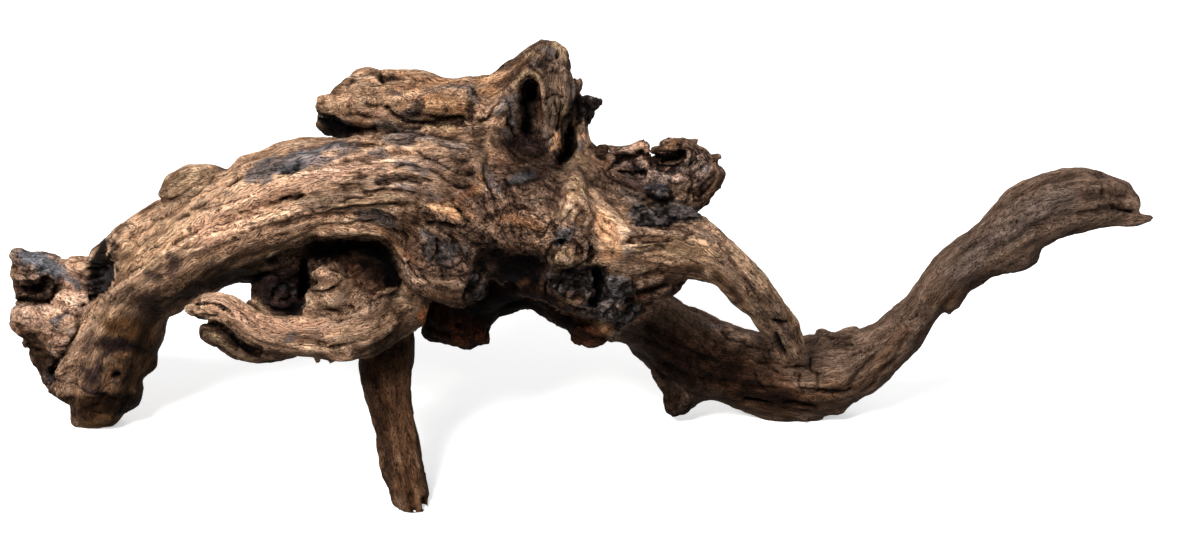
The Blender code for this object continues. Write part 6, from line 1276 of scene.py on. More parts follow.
# ---------------------------------------------------------------- the run of the grain
class Flow:
    """Direction of the grain through the piece, from the limbs and from strokes read in the front view."""
    def __init__(self, g, size=4.0):
        self.size = size
        self.lo = g.lo - size
        self.n = (np.ceil((np.array([g.ax[i][-1] for i in range(3)]) - self.lo) / size).astype(int) + 2)
        T = np.zeros(tuple(self.n) + (6,), np.float32)
        ax = [self.lo[i] + size * np.arange(self.n[i]) for i in range(3)]

        def put(Q, width, weight, use_radius):
            mid = 0.5 * (Q[1:] + Q[:-1]); d = Q[1:, :3] - Q[:-1, :3]
            L = np.linalg.norm(d, axis=1); ok = L > 1e-6
            for m, v in zip(mid[ok], (d / np.maximum(L, 1e-9)[:, None])[ok]):
                reach = (m[3] if use_radius else 0) + 3.0 * width
                a = np.clip(((m[:3] - reach - self.lo) / size).astype(int), 0, self.n)
                b = np.clip(((m[:3] + reach - self.lo) / size).astype(int) + 2, 0, self.n)
                x = ax[0][a[0]:b[0]][:, None, None] - m[0]; y = ax[1][a[1]:b[1]][None, :, None] - m[1]; z = ax[2][a[2]:b[2]][None, None, :] - m[2]
                r = np.sqrt(x * x + y * y + z * z)
                e = np.abs(r - m[3]) if use_radius else r
                w = (weight * np.exp(-(e / width) ** 2)).astype(np.float32)
                t = T[a[0]:b[0], a[1]:b[1], a[2]:b[2]]
                for c, (i, j) in enumerate(((0, 0), (1, 1), (2, 2), (0, 1), (0, 2), (1, 2))):
                    t[..., c] += w * np.float32(v[i] * v[j])
        for name, flat, k, pts in LIMBS:
            if len(pts) > 1:
                put(chain(pts, 4), 7.0, 1.0, True)
        for width, weight, pts in GRAIN_RUNS:
            P, w = on_surface(g, [(x, y, 1) for x, y in pts], 4)
            if P is None:
                continue
            s = STEP * (1 - w / REACH)
            put(np.stack([(P[:, 0] - VIEW_MID[0]) * s, -(P[:, 1] - VIEW_MID[1]) * s, w, np.ones(len(w))], -1), width, weight, False)
        T[..., 0] += 1e-4
        for _ in range(2):
            for axis in range(3):
                T = 0.5 * T + 0.25 * (np.roll(T, 1, axis) + np.roll(T, -1, axis))
        M = np.zeros(tuple(self.n) + (3, 3), np.float32)
        for c, (i, j) in enumerate(((0, 0), (1, 1), (2, 2), (0, 1), (0, 2), (1, 2))):
            M[..., i, j] = T[..., c]; M[..., j, i] = T[..., c]
        need = M[..., 0, 0] + M[..., 1, 1] + M[..., 2, 2] > 2e-4
        V = np.zeros(tuple(self.n) + (3,), np.float32); V[..., 0] = 1
        val, vec = np.linalg.eigh(M[need])
        V[need] = vec[:, :, 2]
        self.V = V

    def at(self, P, d=None):
        """Direction at points, turned to agree with d."""
        q = (P - self.lo) / self.size
        i = np.clip(np.floor(q).astype(int), 0, self.n - 2)
        f = np.clip(q - i, 0, 1).astype(np.float32)
        if d is None:
            d = self.V[i[:, 0], i[:, 1], i[:, 2]]
        out = np.zeros((len(P), 3), np.float32)
        for dx in (0, 1):
            for dy in (0, 1):
                for dz in (0, 1):
                    w = (f[:, 0] if dx else 1 - f[:, 0]) * (f[:, 1] if dy else 1 - f[:, 1]) * (f[:, 2] if dz else 1 - f[:, 2])
                    v = self.V[i[:, 0] + dx, i[:, 1] + dy, i[:, 2] + dz]
                    s = np.sign((v * d).sum(1)); s[s == 0] = 1
                    out += (w * s)[:, None] * v
        return out / (np.linalg.norm(out, axis=1)[:, None] + 1e-9)

    def threads(self, P, steps):
        """Points along the grain through each of P, both ways, from the nearest to the farthest."""
        d0 = self.at(P)
        ends = [(P.astype(np.float32), d0), (P.astype(np.float32), -d0)]
        out = [P.astype(np.float32)]
        for ds in steps:
            for e in (0, 1):
                p, d = ends[e]
                m = self.at(p + 0.5 * ds * d, d)
                p = p + ds * m
                ends[e] = (p, m)
                out.append(p)
        return out


STEPS = [1.6] * 7 + [2.6] * 6 + [4.2] * 6           # mm from point to point along the grain
REACHES = [1.6] + [x for x in STEPS for _ in (0, 1)]


def streaks(threads, noise, size, off, n):
    """Noise drawn out along the grain over n steps each way, with even strength."""
    s = 0
    for p, w in zip(threads[:1 + 2 * n], REACHES):
        s = s + w * noise(p, size, off)
    s = s / s.std()
    return s - s.mean()


# ---------------------------------------------------------------- strokes read in the front view
class Front:
    def __init__(self, P, N):
        self.px, self.py = to_px(P)
        bx, by = np.floor(self.px / 3).astype(int), np.floor(self.py / 3).astype(int)
        Z = np.full((402, 180), -999.0)
        ok = (bx >= 0) & (bx < 402) & (by >= 0) & (by < 180)
        np.maximum.at(Z, (bx[ok], by[ok]), P[ok, 2])
        self.Z = Z
        self.see = np.zeros(len(P), bool)
        self.see[ok] = P[ok, 2] > Z[bx[ok], by[ok]] - 7.0
        self.see &= N[:, 2] > -0.35
        self.idx = np.nonzero(self.see)[0]
        self.x, self.y = self.px[self.idx], self.py[self.idx]

    def stroke(self, pts, soft, wob=None):
        """(vertices, closeness 0..1) of a painted path of (across, down, radius)."""
        Q = catmull(pts, 4) if len(pts) > 1 else np.asarray(pts, float)
        r = np.maximum(Q[:, 2], 0.3)
        lo = (Q[:, :2] - r[:, None]).min(0) - soft - 4; hi = (Q[:, :2] + r[:, None]).max(0) + soft + 4
        m = np.nonzero((self.x > lo[0]) & (self.x < hi[0]) & (self.y > lo[1]) & (self.y < hi[1]))[0]
        if not len(m):
            return self.idx[:0], np.zeros(0)
        x, y = self.x[m].copy(), self.y[m].copy()
        if wob is not None:
            x += wob[self.idx[m], 0]; y += wob[self.idx[m], 1]
        best = np.full(len(m), 1e9)
        if len(Q) == 1:
            best = np.hypot(x - Q[0, 0], y - Q[0, 1]) - r[0]
        for i in range(len(Q) - 1):
            ax_, ay = Q[i, :2]; dx, dy = Q[i + 1, :2] - Q[i, :2]
            t = np.clip(((x - ax_) * dx + (y - ay) * dy) / (dx * dx + dy * dy + 1e-9), 0, 1)
            d = np.hypot(x - ax_ - t * dx, y - ay - t * dy) - (r[i] + t * (r[i + 1] - r[i]))
            best = np.minimum(best, d)
        return self.idx[m], 1 - step(-soft, soft, best) if soft > 0 else (best < 0).astype(float)


def srgb(r, g, b):
    c = np.array([r, g, b], float) / 255.0
    return np.where(c <= 0.04045, c / 12.92, ((c + 0.055) / 1.055) ** 2.4)


# ---------------------------------------------------------------- how open each place is to sky and sun, for the painted shade
class Shelter:
    """Share of sky seen from a place, from a coarse picture of what is solid."""
    def __init__(self, g, size=3.0):
        k = max(1, int(round(size / g.h)))
        n = [(m // k) * k for m in g.F.shape]
        A = (g.F[:n[0], :n[1], :n[2]] < 0).astype(np.float32)
        A = A.reshape(n[0] // k, k, n[1] // k, k, n[2] // k, k).mean((1, 3, 5))
        self.A, self.h, self.lo = A, g.h * k, g.lo + g.h * (k - 1) / 2

    def solid(self, P, A=None):
        A = self.A if A is None else A
        q = (P - self.lo) / self.h
        i = np.rint(q).astype(int)
        ok = ((i >= 0) & (i < np.array(A.shape))).all(1)
        out = np.zeros(len(P), np.float32)
        i = i[ok]
        out[ok] = A[i[:, 0], i[:, 1], i[:, 2]]
        return out

    def blurred(self, times):
        A = self.A.copy()
        for _ in range(times):
            for ax in range(3):
                A = 0.5 * A + 0.25 * (np.roll(A, 1, ax) + np.roll(A, -1, ax))
        return A

    def open_to(self, P, N, dirs, reach=110.0):
        total = np.zeros(len(P)); wsum = np.zeros(len(P))
        start = P + N * self.h * 1.3
        for w, d in dirs:
            d = np.array(d, float); d /= np.linalg.norm(d)
            face = w * (0.15 + 0.85 * np.clip((N @ d + 0.25) / 1.25, 0, 1))
            depth = np.zeros(len(P)); t = self.h
            while t < reach:
                s = max(self.h, 0.22 * t)
                depth += self.solid(start + d * t) * s / 7.0
                t += s
            total += face * np.exp(-depth); wsum += w
        return total / wsum


def bands(x, n, edge=0.12):
    """Steps that rise over most of each band and stay level over its short last part, like peeled layers."""
    y = x * n
    f = y - np.floor(y)
    return (np.floor(y) + step(0.0, 1 - edge, f) * 1.0 - step(1 - edge, 1.0, f) * 0.0) / n, f


# ---------------------------------------------------------------- relief and colour, point by point
def finish_surface():
    g = build_form(GRAIN)
    P, Q = surface(g.F, g.lo, g.h)
    P, Q = biggest(P, Q)
    skin = Skin(len(P), Q)
    P = 0.5 * P + 0.5 * skin.blur(P, 1)
    for i, (na, nb) in enumerate(((Noise(31), Noise(34)), (Noise(32), Noise(35)), (Noise(33), Noise(36)))):
        P[:, i] += 0.7 * na(P, 11.0) + 0.4 * nb(P, 4.5)
    smooth = skin.blur(P, 6)
    N = skin.normals(smooth)
    rest = smooth.copy()

    flow = Flow(g)
    line = flow.threads(P, STEPS)
    na, nb, nc, nd = Noise(21), Noise(22), Noise(23), Noise(24)
    s_fine = streaks(line, na, 2.0, 0.0, 8)
    s_mid = streaks(line, nb, 3.4, 3.7, 13)
    s_wide = streaks(line, nc, 6.5, 9.1, 18)
    short = streaks(line, nd, 4.0, 4.4, 4)
    guide = np.stack([streaks(line, n, 5.0, o, 19) for n, o in ((na, 2.6), (nc, 5.2), (nd, 7.9))], 1)    # three numbers that stay the same along a fibre
    lump = na(P, 10.0, 5.0) + 0.5 * nb(P, 5.0, 2.0)
    chip = nd(P, 3.6, 6.0) + 0.6 * na(P, 2.1, 4.0)
    patch = nc(P, 28.0, 1.0) + 0.6 * na(P, 12.0, 8.0)
    spot = nb(P, 11.0, 3.0) + 0.7 * nd(P, 5.0, 9.0)
    grit = nb(P, 1.8, 7.0)
    fold = 1 - np.abs(nd(P, 15.0, 2.2) + 0.45 * nb(P, 7.5, 1.1) + 0.3 * short) * 2.2
    crease = 1 - np.abs(s_wide + 0.35 * lump) * 1.1
    crinkle = 1 - np.abs(short + 0.4 * chip) * 1.1

    # which wood lies here
    names = list(WOODS)
    share = np.zeros((len(P), len(names)))
    total = np.full(len(P), 1e-6)
    for name, flat, k, pts in LIMBS + INNER:
        Qc = chain(pts, 3)
        r = Qc[:, 3].max() + 12
        lo = Qc[:, :3].min(0) - r; hi = Qc[:, :3].max(0) + r
        m = np.nonzero(((P > lo) & (P < hi)).all(1))[0]
        if not len(m):
            continue
        best = np.full(len(m), 1e9); X = P[m]
        for a, b in (zip(Qc[:-1], Qc[1:]) if len(Qc) > 1 else [(Qc[0], Qc[0] + 1e-3)]):
            d = b[:3] - a[:3]
            t = np.clip(((X - a[:3]) @ d) / (d @ d + 1e-9), 0, 1)
            best = np.minimum(best, np.linalg.norm(X - a[:3] - t[:, None] * d, axis=1) - (a[3] + t * (b[3] - a[3])))
        w = np.exp(-np.clip(best, -4, 30) / 2.2)
        share[m, names.index(TONE_OF[name])] += w
        total[m] += w
    share /= total[:, None]
    share[:, names.index("brown")] += np.clip(1 - share.sum(1), 0, 1)

    front = Front(P, N)
    far = skin.blur((~front.see).astype(float), 6)     # the sides turned from the front view
    wob = np.stack([nb(P, 5.0, 1.5) + 0.6 * na(P, 2.2, 0.3), nc(P, 5.0, 4.5) + 0.6 * nb(P, 2.2, 6.3)], 1)

    def blend(i, wood, c):
        share[i] *= (1 - c)[:, None]
        share[i, names.index(wood)] += c
    every = np.arange(len(P))
    # stains and bare patches that follow no plan, more of them on the unseen side
    back = np.where(front.see, 0.5, 1.0)
    blend(every, "greybrown", step(0.45, 0.9, spot + 0.3 * patch) * 0.55)
    blend(every, "dark", step(0.55, 0.95, -spot + 0.35 * s_mid) * 0.55 * back)
    blend(every, "tan", step(0.0, 0.5, patch - 0.4 * spot) * 0.5 * far)
    blend(every, "orange", step(0.15, 0.6, spot - 0.5 * patch + 0.25 * s_wide) * 0.5 * far)
    blend(every, "char", step(0.6, 0.85, patch + 0.3 * chip) * 0.85 * np.where(front.see, 0.0, 1.0))
    blend(every, "black", step(0.7, 0.95, 0.3 * chip - patch) * 0.7 * np.where(front.see, 0.0, 1.0))
    for wood, amount, soft, shake, pts in PAINT:
        i, c = front.stroke(pts, soft, wob * shake)
        blend(i, wood, c * amount)

    for wood, amount, soft, pts in PATCHES:
        i, c = front.stroke(pts, soft, wob * (0.9 + 0.5 * soft))
        blend(i, wood, c * amount)
    split = np.zeros(len(P)); deep = np.zeros(len(P))
    for mm, pts in CRACKS:
        i, c = front.stroke(pts, 1.3, wob * 0.8)
        split[i] = np.maximum(split[i], c); deep[i] = np.maximum(deep[i], c * mm)
    blend(every, "black", 0.85 * split)

    W = {n: share[:, i] for i, n in enumerate(names)}
    crust = np.clip(W["char"] + 0.4 * W["black"] + 0.35 * W["blue"], 0, 1)
    calm = np.clip(W["grey"] + 0.3 * W["purple"] + 0.5 * W["umber"], 0, 1)
    torn = np.clip(W["brown"] + W["dark"] + 0.6 * W["greybrown"], 0, 1)
    for amount, soft, pts in TORN:
        i, c = front.stroke(pts, soft, wob * 2)
        torn[i] = np.clip(torn[i] + c * amount, 0, 1.4)
    rough = np.ones(len(P))
    for amount, soft, pts in SMOOTH:
        i, c = front.stroke(pts, soft, wob * 2)
        rough[i] *= 1 - c * amount
    even = np.zeros(len(P))
    for amount, soft, pts in EVEN:
        i, c = front.stroke(pts, soft, wob * 2)
        even[i] = np.maximum(even[i], c * amount)
    for amount, soft, pts in CALM:
        i, c = front.stroke(pts, soft, wob * 2)
        torn[i] *= 1 - c * amount

    # relief, mm
    peel, f_peel = bands(0.5 * s_wide + 0.5 * short + 0.3 * lump + 3.0, 1.5)
    relief = rough * (1.0 - 0.5 * crust) * (0.10 * s_fine + 0.18 * s_mid + 0.12 * short)
    relief += rough * (0.45 - 0.2 * calm - 0.25 * crust) * (1 - 0.5 * torn) * (1 - 0.5 * even) * (peel - 3.0)
    relief += torn * (1 - 0.4 * even) * (0.24 * np.maximum(fold, -1.2) + 0.26 * np.maximum(crease, -1) + 0.20 * np.maximum(crinkle, -1) + 0.05 * lump)
    relief += (0.16 - 0.06 * calm) * np.maximum(crease, -1) + 0.16 * lump + 0.06 * grit
    crack = np.exp(-(s_wide / 0.07) ** 2) * step(0.0, 0.5, patch + 0.5 * lump + 0.1)
    crack2 = np.exp(-((s_mid + 0.4 * chip) / 0.10) ** 2) * step(0.1, 0.6, lump + 0.3 * torn)
    relief -= (0.7 - 0.3 * calm) * crack + (0.4 - 0.1 * calm) * crack2
    tl = torn > 0.2
    f1, f2, wf = cells(P[tl] + 1.6 * np.stack([wob[tl, 0], wob[tl, 1], wob[tl, 0]], 1), 8.0, 9)
    plate = step(0.07, 0.01, f2 - f1)
    relief[tl] += torn[tl] * (0.5 * (wf - 0.5) - 0.6 * plate)
    craze = np.zeros(len(P)); craze[tl] = plate * np.clip(torn[tl], 0, 1)
    on = crust > 0.12
    X = P[on] + 1.5 * np.stack([wob[on, 0], wob[on, 1], wob[on, 0]], 1)
    X = X * np.array([0.75, 1.2, 1.0])
    d1, d2, who = cells(X, 6.5, 5)
    e1, e2, who2 = cells(X + 0.6 * chip[on][:, None], 3.0, 6)
    gap = np.maximum(step(0.16, 0.03, d2 - d1), 0.6 * step(0.14, 0.03, e2 - e1))
    relief[on] += crust[on] * (-0.9 * gap + 1.5 * (who - 0.5) + 0.7 * (who2 - 0.5) + 0.3 * (0.6 - e1))
    check = np.zeros(len(P)); check[on] = gap * crust[on]

    relief -= deep
    for kind, amount, soft, shake, pts in STROKES:
        i, c = front.stroke(pts, soft, wob * shake)
        relief[i] += (amount if kind == "+" else -amount) * c

    up = to_world(P)[:, 2] * 1000
    hold = step(0.2, 3.0, up)                          # the worn flats stay flat
    N2 = skin.normals(skin.blur(P, 3))
    relief = relief * (1 + 0.5 * far)
    P2 = P + N2 * (relief * hold)[:, None]

    # painted shade: what is hidden from the sky and from the side the lamps shine from, and what lies in tight hollows,
    # is painted darker and warmer
    sh = Shelter(g)
    upv = np.array([0, C, S]); fwd = np.array([0, -S, C]); lef = np.array([-1.0, 0, 0])
    dirs = [(0.8, upv), (1.0, upv + 0.8 * fwd), (0.6, upv + lef), (0.35, upv - lef), (0.7, upv + 0.6 * lef + 1.0 * fwd), (0.3, upv - 0.6 * fwd), (0.3, fwd)]
    N3 = skin.normals(skin.blur(P2, 4))
    light = sh.open_to(P2, N3, dirs)
    light = skin.blur(light, 3)
    round_ = 1 - np.clip(sh.solid(P2 + N3 * 7, sh.blurred(3)) * 1.7, 0, 1)
    tight = 1 - np.clip(sh.solid(P2 + N3 * 4, sh.blurred(1)) * 1.5, 0, 1)

    # colour follows the relief: raised and rounded places lighter, furrows, cracks and gaps darker; this is partly
    # painted highlight and painted shade in the hollows of the relief
    flat_r = skin.blur(relief, 2)
    hi_pass = relief - skin.blur(relief, 8)
    mid_pass = flat_r - skin.blur(relief, 30)
    form = skin.blur(((P2 - skin.blur(P2, 24)) * N2).sum(1), 3)
    key = 0.52 + 0.20 * hi_pass / 0.5 + 0.08 * mid_pass / 0.5 + 0.07 * np.clip(form, -3, 3) + 0.06 * s_mid + 0.05 * s_fine + 0.07 * patch + 0.06 * chip
    key -= 0.45 * crack + 0.3 * crack2 + 0.5 * check + 0.3 * craze
    key = np.clip(0.57 + (key - 0.57) * (1 - 0.45 * even), 0, 1)
    ridge = np.array([srgb(*WOODS[n][0]) for n in names]); mid = np.array([srgb(*WOODS[n][1]) for n in names]); low = np.array([srgb(*WOODS[n][2]) for n in names])
    ck, cm, cl = share @ ridge, share @ mid, share @ low
    t = key[:, None]
    colour = np.where(t > 0.5, cm + (ck - cm) * (t - 0.5) * 2, cl + (cm - cl) * t * 2)
    vary = 1 + 0.10 * na(P, 6.0, 3.3) + 0.08 * nc(P, 17.0, 6.1)
    # painted shade from the share of sky and light seen, the roundness and the tightness of each place; the sides
    # turned from the front view get a lighter, flatter one
    painted_shade = np.clip(0.14 + 1.3 * light, 0, 1) ** 1.15 * (0.35 + 0.65 * round_) * (0.5 + 0.5 * tight)
    painted_shade = painted_shade * (1 - far) + far * (0.55 * painted_shade + 0.47)
    colour = colour * (vary * painted_shade)[:, None]
    # shaded places are painted warmer
    shade_warmth = (1 - painted_shade)[:, None] * np.array([0.06, 0.0, -0.06])
    colour = np.clip(colour * (1 + shade_warmth), 0.0015, 1)
    fibre = np.clip(1.0 - 0.55 * calm - 0.45 * crust - 0.15 * torn, 0.2, 1) * rough
    # painted highlights and painted shade, and tints, from the table above
    for gain, soft, pts in PAINTED_LIGHT_AND_SHADE:
        i, c = front.stroke(pts, soft, wob * 3)
        colour[i] *= 1 + (np.array(gain) - 1) * c[:, None]
    return dict(P=P2, Q=Q, rest=rest, colour=colour, crust=crust, calm=calm, torn=torn, fibre=fibre, guide=guide, N=N)


def turn(v):
    return np.stack([v[:, 0], v[:, 1] * S - v[:, 2] * C, v[:, 1] * C + v[:, 2] * S], 1)


def make_mesh(d):
    quads = d["Q"]
    me = bpy.data.meshes.new("driftwood_root")
    co = to_world(d["P"])
    co[:, 2] = np.maximum(co[:, 2], 0.0)
    me.vertices.add(len(co)); me.vertices.foreach_set("co", co.astype(np.float32).ravel())
    me.loops.add(quads.size); me.loops.foreach_set("vertex_index", quads.astype(np.int32).ravel())
    me.polygons.add(len(quads)); me.polygons.foreach_set("loop_start", (np.arange(len(quads)) * 4).astype(np.int32))
    me.update(calc_edges=True)
    col = me.attributes.new("tone", "FLOAT_COLOR", "POINT")
    col.data.foreach_set("color", np.concatenate([d["colour"], np.ones((len(co), 1))], 1).astype(np.float32).ravel())
    for name in ("crust", "calm", "torn", "fibre"):
        a = me.attributes.new(name, "FLOAT", "POINT")
        a.data.foreach_set("value", d[name].astype(np.float32))
    for name, v in (("guide", d["guide"]), ("rest", d["rest"])):
        a = me.attributes.new(name, "FLOAT_VECTOR", "POINT")
        a.data.foreach_set("vector", v.astype(np.float32).ravel())
    me.validate()
    ob = bpy.data.objects.new("driftwood_root", me)
    bpy.context.scene.collection.objects.link(ob)
    n_tri = 2 * len(quads)
    if n_tri > FACES:
        vg = ob.vertex_groups.new(name="thin_out")
        wq = np.round(d["thin"] * 8).astype(int)
        for k in range(1, 9):
            i = np.nonzero(wq == k)[0]
            if len(i):
                vg.add(i.tolist(), k / 8, "REPLACE")
        m = ob.modifiers.new("thin_out", "DECIMATE")
        m.ratio = FACES / n_tri
        m.vertex_group = "thin_out"
        m.vertex_group_factor = 1.0
        m.use_collapse_triangulate = True
        dg = bpy.context.evaluated_depsgraph_get()
        new = bpy.data.meshes.new_from_object(ob.evaluated_get(dg), preserve_all_data_layers=True, depsgraph=dg)
        ob.modifiers.clear(); ob.vertex_groups.clear()
        ob.data = new
        bpy.data.meshes.remove(me)
        me = new
        me.name = "driftwood_root"
    me.shade_smooth()
    return ob


def wood_material():
    mat = bpy.data.materials.new("weathered_wood")
    mat.use_nodes = True
    nt = mat.node_tree
    nt.nodes.clear()
    L = nt.links

    def node(kind, **kw):
        n = nt.nodes.new(kind)
        for k, v in kw.items():
            setattr(n, k, v)
        return n

    def put(n, i, v):
        if v is None:
            return
        if isinstance(v, (int, float)):
            n.inputs[i].default_value = v
        elif isinstance(v, tuple):
            n.inputs[i].default_value = v
        else:
            L.new(v, n.inputs[i])

    def attr(name, out="Fac"):
        return node("ShaderNodeAttribute", attribute_name=name).outputs[out]

    def m(op, a, b=None, c=None):
        n = node("ShaderNodeMath", operation=op)
        for i, v in enumerate((a, b, c)):
            put(n, i, v)
        return n.outputs[0]

    def v(op, a, b=None, scale=None):
        n = node("ShaderNodeVectorMath", operation=op)
        put(n, 0, a); put(n, 1, b)
        if scale is not None:
            put(n, "Scale", scale)
        return n.outputs["Value"] if op in ("DOT_PRODUCT", "LENGTH", "DISTANCE") else n.outputs[0]

    def ramp(x, a, b):
        n = node("ShaderNodeMapRange", interpolation_type="SMOOTHSTEP")
        put(n, 0, x); put(n, 1, a); put(n, 2, b); put(n, 3, 0.0); put(n, 4, 1.0)
        return n.outputs[0]

    def noise_node(vec, scale, detail, rough=0.6):
        n = node("ShaderNodeTexNoise")
        put(n, "Vector", vec); put(n, "Scale", scale); put(n, "Detail", detail); put(n, "Roughness", rough)
        return n

    def noise(vec, scale, detail, rough=0.6):
        return noise_node(vec, scale, detail, rough).outputs[0]

    def node_colour(n):
        return n.outputs["Color"]

    P = v("SCALE", node("ShaderNodeTexCoord").outputs["Object"], scale=1000.0)     # mm
    guide = attr("guide", "Vector")

    def along_grain(k, length, shift):
        """A place that hardly changes along a fibre: k across the grain, 1 / length along it."""
        return v("ADD", v("ADD", v("SCALE", guide, scale=k), v("SCALE", P, scale=1.0 / length)), (shift, shift * 1.7, shift * 0.6))

    hair = noise(along_grain(4.2, 15.0, 3.0), 1.0, 1.0, 0.6)       # single fibres
    dash = noise(along_grain(2.8, 26.0, 53.0), 1.0, 2.0, 0.6)     # dark slits between them
    cord = noise(along_grain(1.1, 28.0, 11.0), 1.0, 2.0, 0.6)      # bundles of fibres
    split = noise(along_grain(0.8, 22.0, 23.0), 1.0, 2.0, 0.55)    # long cracks follow its level lines
    flake = noise(along_grain(0.45, 9.0, 37.0), 1.0, 4.0, 0.6)     # torn layers
    grit = noise(P, 1.1, 2.0, 0.75)
    cloud = noise(P, 0.12, 4.0, 0.6)

    def cracked(vec):
        """How near a place is to the border of its flake, and the flake's own number."""
        e = node("ShaderNodeTexVoronoi", feature="DISTANCE_TO_EDGE")
        put(e, "Vector", vec); put(e, "Scale", 1.0)
        c = node("ShaderNodeTexVoronoi", feature="F1")
        put(c, "Vector", vec); put(c, "Scale", 1.0)
        s = node("ShaderNodeSeparateColor")
        L.new(c.outputs["Color"], s.inputs[0])
        return e.outputs["Distance"], s.outputs[0]

    def level(x, at, width):
        return m("SUBTRACT", 1.0, ramp(m("ABSOLUTE", m("SUBTRACT", x, at)), 0.0, width))

    fibre = attr("fibre"); crust = attr("crust"); torn = attr("torn"); calm = attr("calm")
    lines = m("MAXIMUM", m("MULTIPLY", level(split, 0.5, 0.022), ramp(cloud, 0.36, 0.56)), m("MULTIPLY", level(cord, 0.42, 0.02), ramp(cloud, 0.62, 0.44)))
    lines = m("MAXIMUM", m("MULTIPLY", lines, m("MULTIPLY_ADD", torn, -0.4, 1.0)), m("MULTIPLY", level(flake, 0.5, 0.018), m("MULTIPLY_ADD", torn, 0.5, 0.4)))

    ragged = v("SCALE", v("SUBTRACT", node_colour(noise_node(P, 0.45, 3.0, 0.65)), (0.5, 0.5, 0.5)), scale=1.1)
    rim, own = cracked(v("ADD", along_grain(0.55, 9.0, 61.0), ragged))
    rim2, own2 = cracked(v("ADD", along_grain(1.1, 5.0, 83.0), ragged))
    plates = m("MULTIPLY", m("SUBTRACT", 1.0, ramp(rim, 0.0, 0.055)), m("MULTIPLY_ADD", torn, 0.85, 0.04))
    chips = m("MULTIPLY", m("SUBTRACT", 1.0, ramp(rim2, 0.0, 0.07)), m("MULTIPLY", ramp(cloud, 0.40, 0.62), m("MULTIPLY_ADD", torn, 0.85, 0.06)))
    lines = m("MAXIMUM", lines, m("MAXIMUM", plates, chips))

    slit = m("MULTIPLY", ramp(dash, 0.45, 0.33), fibre)
    part = m("MULTIPLY", m("SUBTRACT", hair, 0.5), m("MULTIPLY", fibre, 5.2))
    part = m("ADD", part, m("MULTIPLY", m("SUBTRACT", cord, 0.5), m("MULTIPLY_ADD", fibre, 0.8, 0.2)))
    part = m("ADD", part, m("MULTIPLY", m("SUBTRACT", flake, 0.5), 0.5))
    part = m("ADD", part, m("MULTIPLY", m("SUBTRACT", own, 0.5), m("MULTIPLY_ADD", torn, 0.30, 0.08)))
    part = m("ADD", part, m("MULTIPLY", m("SUBTRACT", own2, 0.5), m("MULTIPLY_ADD", torn, 0.26, 0.10)))
    part = m("ADD", part, m("MULTIPLY", m("SUBTRACT", grit, 0.5), m("MULTIPLY_ADD", torn, 2.2, 1.9)))
    part = m("ADD", part, m("MULTIPLY", m("SUBTRACT", cloud, 0.5), 0.5))
    gain = m("MULTIPLY", m("MINIMUM", m("MAXIMUM", m("ADD", part, 1.31), 0.08), 1.45), m("SUBTRACT", 1.0, m("MULTIPLY", lines, 0.75)))
    gain = m("MULTIPLY", gain, m("SUBTRACT", 1.0, m("MULTIPLY", slit, 0.55)))
    base = v("SCALE", attr("tone", "Color"), scale=gain)

    out = node("ShaderNodeOutputMaterial")
    bsdf = node("ShaderNodeBsdfPrincipled")
    L.new(bsdf.outputs[0], out.inputs[0])
    L.new(base, bsdf.inputs["Base Color"])
    L.new(m("ADD", m("MULTIPLY", crust, -0.25), m("MULTIPLY_ADD", grit, 0.2, 0.72)), bsdf.inputs["Roughness"])
    bsdf.inputs["Specular IOR Level"].default_value = 0.04

    height = m("ADD", m("MULTIPLY", hair, m("MULTIPLY", fibre, 0.7)), m("MULTIPLY", cord, m("MULTIPLY", fibre, 0.5)))
    height = m("ADD", height, m("MULTIPLY", flake, 0.8))
    height = m("ADD", height, m("MULTIPLY", grit, m("MULTIPLY_ADD", torn, 0.45, 0.35)))
    height = m("ADD", height, m("MULTIPLY", m("ADD", own, own2), m("MULTIPLY_ADD", torn, 0.55, 0.1)))
    height = m("SUBTRACT", height, m("MULTIPLY", m("ADD", lines, slit), 0.8))
    bump = node("ShaderNodeBump")
    bump.inputs["Strength"].default_value = 0.8
    bump.inputs["Distance"].default_value = 0.0014
    L.new(height, bump.inputs["Height"])
    L.new(bump.outputs[0], bsdf.inputs["Normal"])
    return mat


# ---------------------------------------------------------------- the piece
data = finish_surface()
data["thin"] = 0.25 + 0.75 * (1 - step(-0.5, 0.2, data["N"][:, 2]))      # the front keeps the finest mesh
root = make_mesh(data)
root.data.materials.append(wood_material())
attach(root, "root")
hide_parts("driftwood")


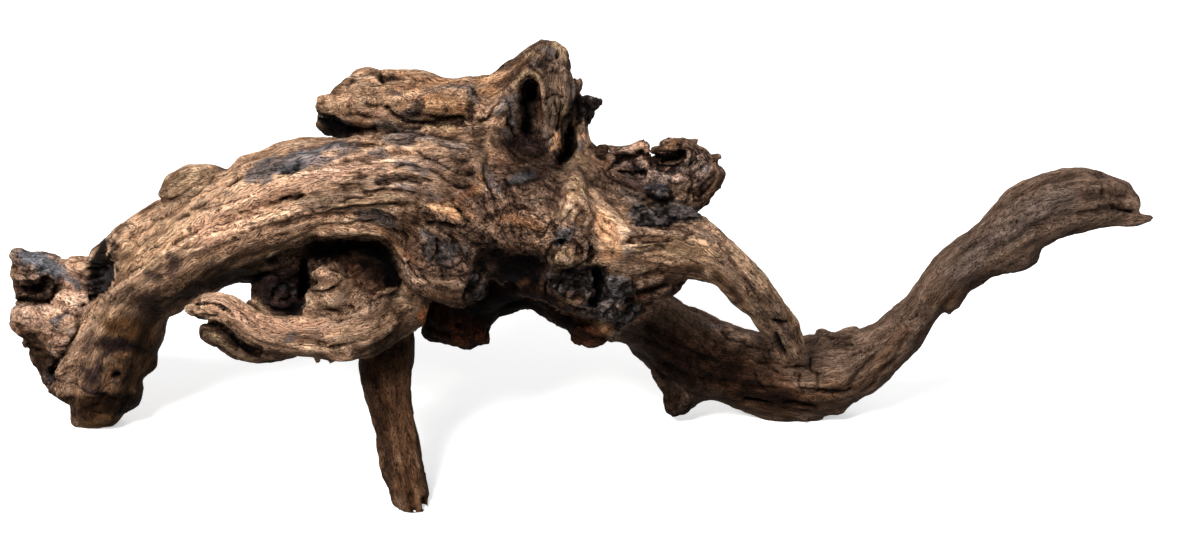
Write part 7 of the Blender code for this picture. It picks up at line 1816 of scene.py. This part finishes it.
# ---------------------------------------------------------------- floor, light and camera
def plain(name, colour, roughness):
    m = bpy.data.materials.new(name)
    m.use_nodes = True
    b = m.node_tree.nodes["Principled BSDF"]
    b.inputs["Base Color"].default_value = (*colour, 1)
    b.inputs["Roughness"].default_value = roughness
    b.inputs["Specular IOR Level"].default_value = 0.1
    b.inputs["Emission Color"].default_value = (1, 1, 1, 1)
    b.inputs["Emission Strength"].default_value = 0.45
    return m


bpy.ops.mesh.primitive_plane_add(size=24.0, location=(0, 0, 0))
floor = bpy.context.object
floor.name = "floor"
floor.data.materials.append(plain("floor", (0.93, 0.93, 0.93), 0.9))
floor.visible_diffuse = False                     # keeps its glare off the wood's underside


def area(name, at, to, size, power, colour=(1, 1, 1)):
    l = bpy.data.lights.new(name, "AREA")
    l.energy = power; l.size = size; l.color = colour
    o = bpy.data.objects.new(name, l)
    o.location = at
    o.rotation_euler = (Vector(to) - Vector(at)).to_track_quat("-Z", "Y").to_euler()
    bpy.context.scene.collection.objects.link(o)
    return o


area("key", (-0.75, -1.2, 1.4), (0, 0, 0.1), 0.55, 46, (1.0, 0.98, 0.95))
area("fill", (1.3, -1.3, 0.9), (0, 0, 0.1), 1.2, 5, (0.95, 0.97, 1.0))
area("back", (0.4, 1.5, 1.3), (0, 0, 0.1), 1.0, 13)
world = bpy.data.worlds.new("soft_white")
world.use_nodes = True
world.node_tree.nodes["Background"].inputs[0].default_value = (1, 1, 1, 1)
world.node_tree.nodes["Background"].inputs[1].default_value = 0.35
bpy.context.scene.world = world
bpy.context.scene.view_settings.view_transform = "Standard"

target = Vector((-FOOTPRINT_MID[0] * 0.001, -FOOTPRINT_MID[1] * 0.001, LIFT * 0.001))
cam = bpy.data.cameras.new("camera")
cam.sensor_width = 36.0
cam.lens = 36.0 * REACH / (1200 * STEP)
cam.clip_start = 0.05
cam.clip_end = 30
eye = bpy.data.objects.new("camera", cam)
eye.location = target + Vector((0, -C, S)) * REACH * 0.001
eye.rotation_euler = (target - eye.location).to_track_quat("-Z", "Y").to_euler()
bpy.context.scene.collection.objects.link(eye)
bpy.context.scene.camera = eye
